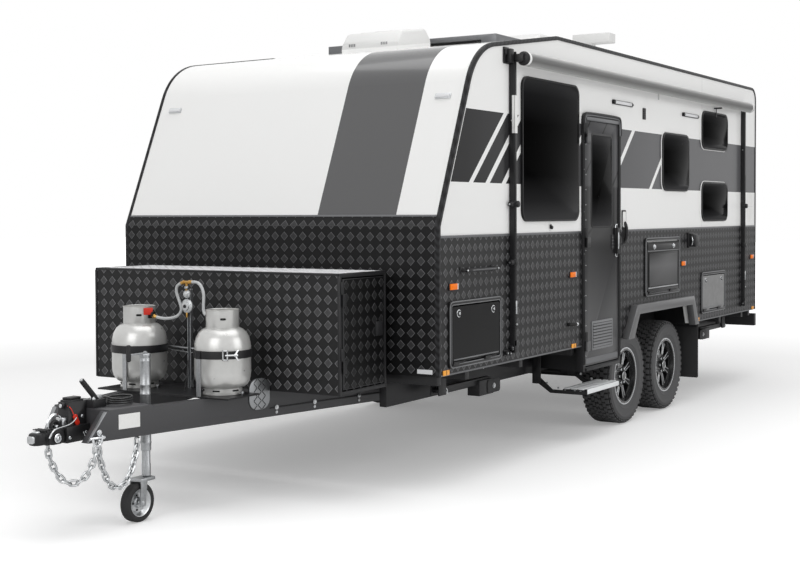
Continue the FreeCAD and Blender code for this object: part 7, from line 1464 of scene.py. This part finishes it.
for corner, reach, hand in wheel_places:
    eased_copy("rim_" + corner, 0.0022, "wheel_" + corner, alloy)
    details = bmesh.new()
    add_rim_details(details, (reach, hand * HALF_TRACK, HUB_Z), "Y", hand)
    fit_piece("rim_%s_details" % corner, details, "wheel_" + corner, [machined, alloy, chrome])

# Spare wheel and rear bumper
# The same wheel on a black carrier behind the body, on a box-section bumper with end caps.
SPARE_PLACE = (-4.038, 0, 1.018)
spare = bmesh.new()
add_tyre(spare, SPARE_PLACE, "X")
fit_piece("spare_tyre_rubber", spare, "caravan", [tyre_rubber, groove_shade_rubber], ["spare_wheel"])
spare_rim = merged_copy("rim_front_near")
bmesh.ops.transform(spare_rim, verts=spare_rim.verts, matrix=set_at(SPARE_PLACE, 90, "Z")
    @ Matrix.Translation((0.76, -HALF_TRACK, -HUB_Z)))
for face in spare_rim.faces:
    face.material_index = 1
add_rim_details(spare_rim, SPARE_PLACE, "X", -1)
fit_piece("spare_rim_details", spare_rim, "caravan", [machined, alloy, chrome])
eased_copy("rear_bumper", 0.003, "caravan", powder_black)

# Chassis, axles and springs
# Black painted channels, cross members, beam axles and leaf springs, bolted together under the floor.
# Folding steadies with rubber-edged shoes stand at the corners; two moulded water tanks hang between.
for node in ("chassis_rails", "chassis_members", "running_gear"):
    eased_copy(node, 0.002, "caravan", powder_black)
under = bmesh.new()
for hand in (1, -1):
    for reach in (1.55, 0.95, 0.35, -0.35, -2.35, -2.95, -3.45):
        hex_bolt(under, (reach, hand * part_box("chassis_rails")[1][1], 0.6), (0, hand, 0), 0.009, 0.007)
fit_piece("chassis_bolts", under, "caravan", zinc)
for end in ("front", "rear"):
    for side, hand in (("near", 1), ("off", -1)):
        node, body = "steady_%s_%s" % (end, side), "%s_%s_steady" % (end, side)
        eased_copy(node, 0.002, body, powder_black)
        stay = bmesh.new()
        pivot, foot = ((1.77, 1.13) if end == "front" else (-3.63, -2.99))
        hex_bolt(stay, (pivot, hand * 0.972, 0.545), (0, hand, 0), 0.011, 0.01)
        hex_bolt(stay, (foot, hand * 0.972, 0.52), (0, hand, 0), 0.009, 0.008)
        bent_bar(stay, [(pivot - 0.045, hand * 0.975, 0.56), (pivot - 0.06, hand * 0.984, 0.545),
            (pivot - 0.056, hand * 0.984, 0.515), (pivot - 0.045, hand * 0.975, 0.535)], 0.0028)
        # Rubber-edged shoe with its bolt
        rounded_panel(stay, *around((foot, hand * 0.9975, 0.505), (0.088, 0.0025, 0.045)), "Y",
            0.022, 0.002, 1)
        hex_bolt(stay, (foot, hand * 0.9995, 0.505), (0, hand, 0), 0.012, 0.008)
        for across in (-0.026, 0.026):
            hex_bolt(stay, (pivot - 0.02 + across, hand * 0.9725, 0.545 + across / 2),
                (0, hand, 0), 0.009, 0.009)
        fit_piece(node + "_bolts", stay, body, [zinc, solid_rubber])
# Sealed board is dull and mottled
board = mottled("sealed_floor_board", 0.02, ("#282522", "#383430"), (0.5, 0.7), 0.0002)
dress("floor", board)
dress("floor_wells", powder_black)
# Moulded polyethylene is waxy
polyethylene = mottled("black_polyethylene", 0.004, ("#181818", "#222222"), (0.42, 0.6), 0.0001)
eased_copy("water_tanks", 0.015, "caravan", polyethylene, 3)

# Arch flares and mudflaps
# Flares folded from the checkerplate sheet over each pair of wheels, with a bright worn edge, and black
# rubber mudflaps behind them on bolted bars.
flare_grey = mottled("flare_coat", 0.004, ("#4c4c4d", "#616162"), (0.3, 0.46), 0.0001, Coat_Weight=0.2)
eased_copy("arch_flares", 0.003, "caravan", flare_grey)
flaps = bmesh.new()
for hand in (1, -1):
    for route in (((-0.514, 0.68), (-0.695, 0.93), (-1.963, 0.93), (-2.088, 0.68)),
            ((-0.589, 0.68), (-0.736, 0.862), (-1.922, 0.862), (-2.013, 0.68))):
        for (x_one, z_one), (x_two, z_two) in zip(route, route[1:]):
            bar(flaps, (x_one, hand * 1.2768, z_one), (x_two, hand * 1.2768, z_two), 0.003, 8, 0, 1)
    rounded_panel(flaps, *around((-2.102, hand * 1.096, 0.452), (0.0055, 0.167, 0.238)), "X",
        0.012, 0.002, 0, 4)
    slab(flaps, *around((-2.102, hand * 1.096, 0.661), (0.009, 0.16, 0.011)), 0.002, 1, 2)
    for across in (-0.12, -0.04, 0.04, 0.12):
        hex_bolt(flaps, (-2.111, hand * 1.096 + across, 0.661), (-1, 0, 0), 0.006, 0.005, 3)
fit_piece("arch_flare_edges", flaps, "caravan", [solid_rubber, trim_grey, powder_black, zinc])

# Roof equipment
# White plastic covers: a domed skylight with ribs, an air conditioner with louvres and a folding
# antenna; dark solar cells under glass in an aluminium frame.
roof_plastic = mottled("white_asa_plastic", 0.003, ("#d2d2d1", "#e0e0df"), (0.3, 0.42), 0.00006)
DOME_EDGE = 2.955
lid = merged_copy("skylight_lid")
join_flats(lid)
# Only the dome's outer edges above its flange are rounded; height is measured square to the roof's ramp
ease_edges(lid, [edge for edge in lid.edges if edge.calc_face_angle(0) > 0.3
    and all(abs(vert.co.y) > 0.23 and vert.co.z * 0.988 + vert.co.x * 0.153 > DOME_EDGE
    for vert in edge.verts)], 0.024, 4, True)
fit_piece("skylight_dome", lid, "skylight", roof_plastic, ["skylight_lid"])
slots = bmesh.new()
# Moulded slots in the lid's front and ribs along its top
for middle in (-0.15, 0.118):
    for slot in range(4):
        slab(slots, (1.086, middle - 0.024 + slot * 0.015, 2.812), (1.0912, middle - 0.018 + slot * 0.015,
            2.832), 0.001, 1, 1)
for rib in (-0.12, 0, 0.12):
    slab(slots, *around((0, rib, 0.00025), (0.13, 0.009, 0.00225)), 0.002, 2, 0,
        set_at((0.875, 0, 2.9365), 8.8, "Y"))
fit_piece("skylight_slots", slots, "skylight", [roof_plastic, trim_grey])
eased_copy("air_conditioner", 0.03, "caravan", roof_plastic, 4)
eased_copy("tv_antenna", 0.008, "caravan", roof_plastic, 3)
vents = bmesh.new()
for hand in (1, -1):
    for slat in range(6):
        slab(vents, (-1.55, hand * 0.349 - 0.002, 2.9 + slat * 0.022),
            (-0.95, hand * 0.349 + 0.002, 2.91 + slat * 0.022), 0.001, 1)
for slat in range(7):
    slab(vents, (-1.7125, -0.22, 2.89 + slat * 0.022), (-1.7085, 0.22, 2.9 + slat * 0.022), 0.001, 1)
fit_piece("air_conditioner_louvres", vents, "caravan", trim_grey)
cells = new_finish("solar_cells", "#10131d", 0.12)
cell_spot = add_node(cells, "ShaderNodeTexCoord").outputs["Object"]
# Square cells of 156 mm with pale gaps between them
cell_bricks = add_node(cells, "ShaderNodeTexBrick", {"Color1": linear_colour("#10131d"),
    "Color2": linear_colour("#131724"), "Mortar": linear_colour("#6f747c"), "Scale": 1.0,
    "Mortar Size": 0.0015, "Brick Width": 0.156, "Row Height": 0.156, "Vector": cell_spot}, offset=0.0)
feed(cells, cell_bricks.outputs["Color"], "Base Color")
eased_copy("solar_panel", 0.003, "caravan", trim_grey)
glass_top = bmesh.new()
slab(glass_top, (-0.41, -0.7, 2.9055), (0.55, 0.7, 2.908), 0.0008, 1)
fit_piece("solar_glass", glass_top, "caravan", cells)

# Studio
# A pale seamless floor that keeps the shadow and a white background behind it. Three large soft lamps
# hang above, before the front and beside the door.
floor_form = bmesh.new()
bmesh.ops.create_grid(floor_form, x_segments=1, y_segments=1, size=60)
floor_mesh = bpy.data.meshes.new("studio_floor")
floor_form.to_mesh(floor_mesh)
floor_form.free()
floor_paper = new_finish("pale_studio_paper", "#f4f4f4", 0.9, Specular_IOR_Level=0.0,
    Emission_Color=(1, 1, 1, 1))
seen = add_node(floor_paper, "ShaderNodeLightPath").outputs["Is Camera Ray"]
# The paper runs out to the white of the background far from the caravan
far_off = add_node(floor_paper, "ShaderNodeVectorMath", {0: add_node(floor_paper,
    "ShaderNodeTexCoord").outputs["Object"]}, operation="LENGTH")
lifted = add_node(floor_paper, "ShaderNodeMapRange", {"From Min": 6.0, "From Max": 16.0, "To Min": 0.26,
    "To Max": 1.0, "Value": far_off.outputs["Value"]})
lift = add_node(floor_paper, "ShaderNodeMath", {0: seen, 1: lifted.outputs["Result"]}, operation="MULTIPLY")
feed(floor_paper, lift.outputs[0], "Emission Strength")
floor_mesh.materials.append(floor_paper)
studio_floor = bpy.data.objects.new("studio_floor", floor_mesh)
bpy.context.scene.collection.objects.link(studio_floor)
sky = bpy.data.worlds.new("studio_sky")
sky.use_nodes = True
bpy.context.scene.world = sky
sky_light = sky.node_tree.nodes["Background"]
# Seen, mirrored or through glass the sky is full white; it lights the rest with under half of that
rays = add_node(sky, "ShaderNodeLightPath").outputs
mirrored = add_node(sky, "ShaderNodeMath", {0: rays["Is Transmission Ray"], 1: rays["Is Glossy Ray"]},
    operation="ADD")
direct = add_node(sky, "ShaderNodeMath", {0: rays["Is Camera Ray"], 1: mirrored.outputs[0]}, operation="ADD")
strength = add_node(sky, "ShaderNodeMapRange", {"To Min": 0.45, "To Max": 1.0, "Value": direct.outputs[0]})
sky.node_tree.links.new(strength.outputs["Result"], sky_light.inputs["Strength"])
sky_light.inputs["Color"].default_value = (1, 1, 1, 1)
for name, place, aim, size_m, power in (("overhead", (1.0, 1.0, 9.0), (0, 0, 1), 9.0, 440),
        ("front_key", (12.0, 1.0, 5.0), (1.5, 0, 1.4), 6.0, 260), ("side_fill", (-0.4, 12.0, 5.0),
        (-0.8, 0, 1.3), 7.0, 310)):
    lamp_data = bpy.data.lights.new(name, "AREA")
    lamp_data.shape = "SQUARE"
    lamp_data.size = size_m
    lamp_data.energy = power
    lamp = bpy.data.objects.new(name, lamp_data)
    lamp.location = place
    lamp.rotation_euler = (Vector(aim) - Vector(place)).to_track_quat("-Z", "Y").to_euler()
    bpy.context.scene.collection.objects.link(lamp)
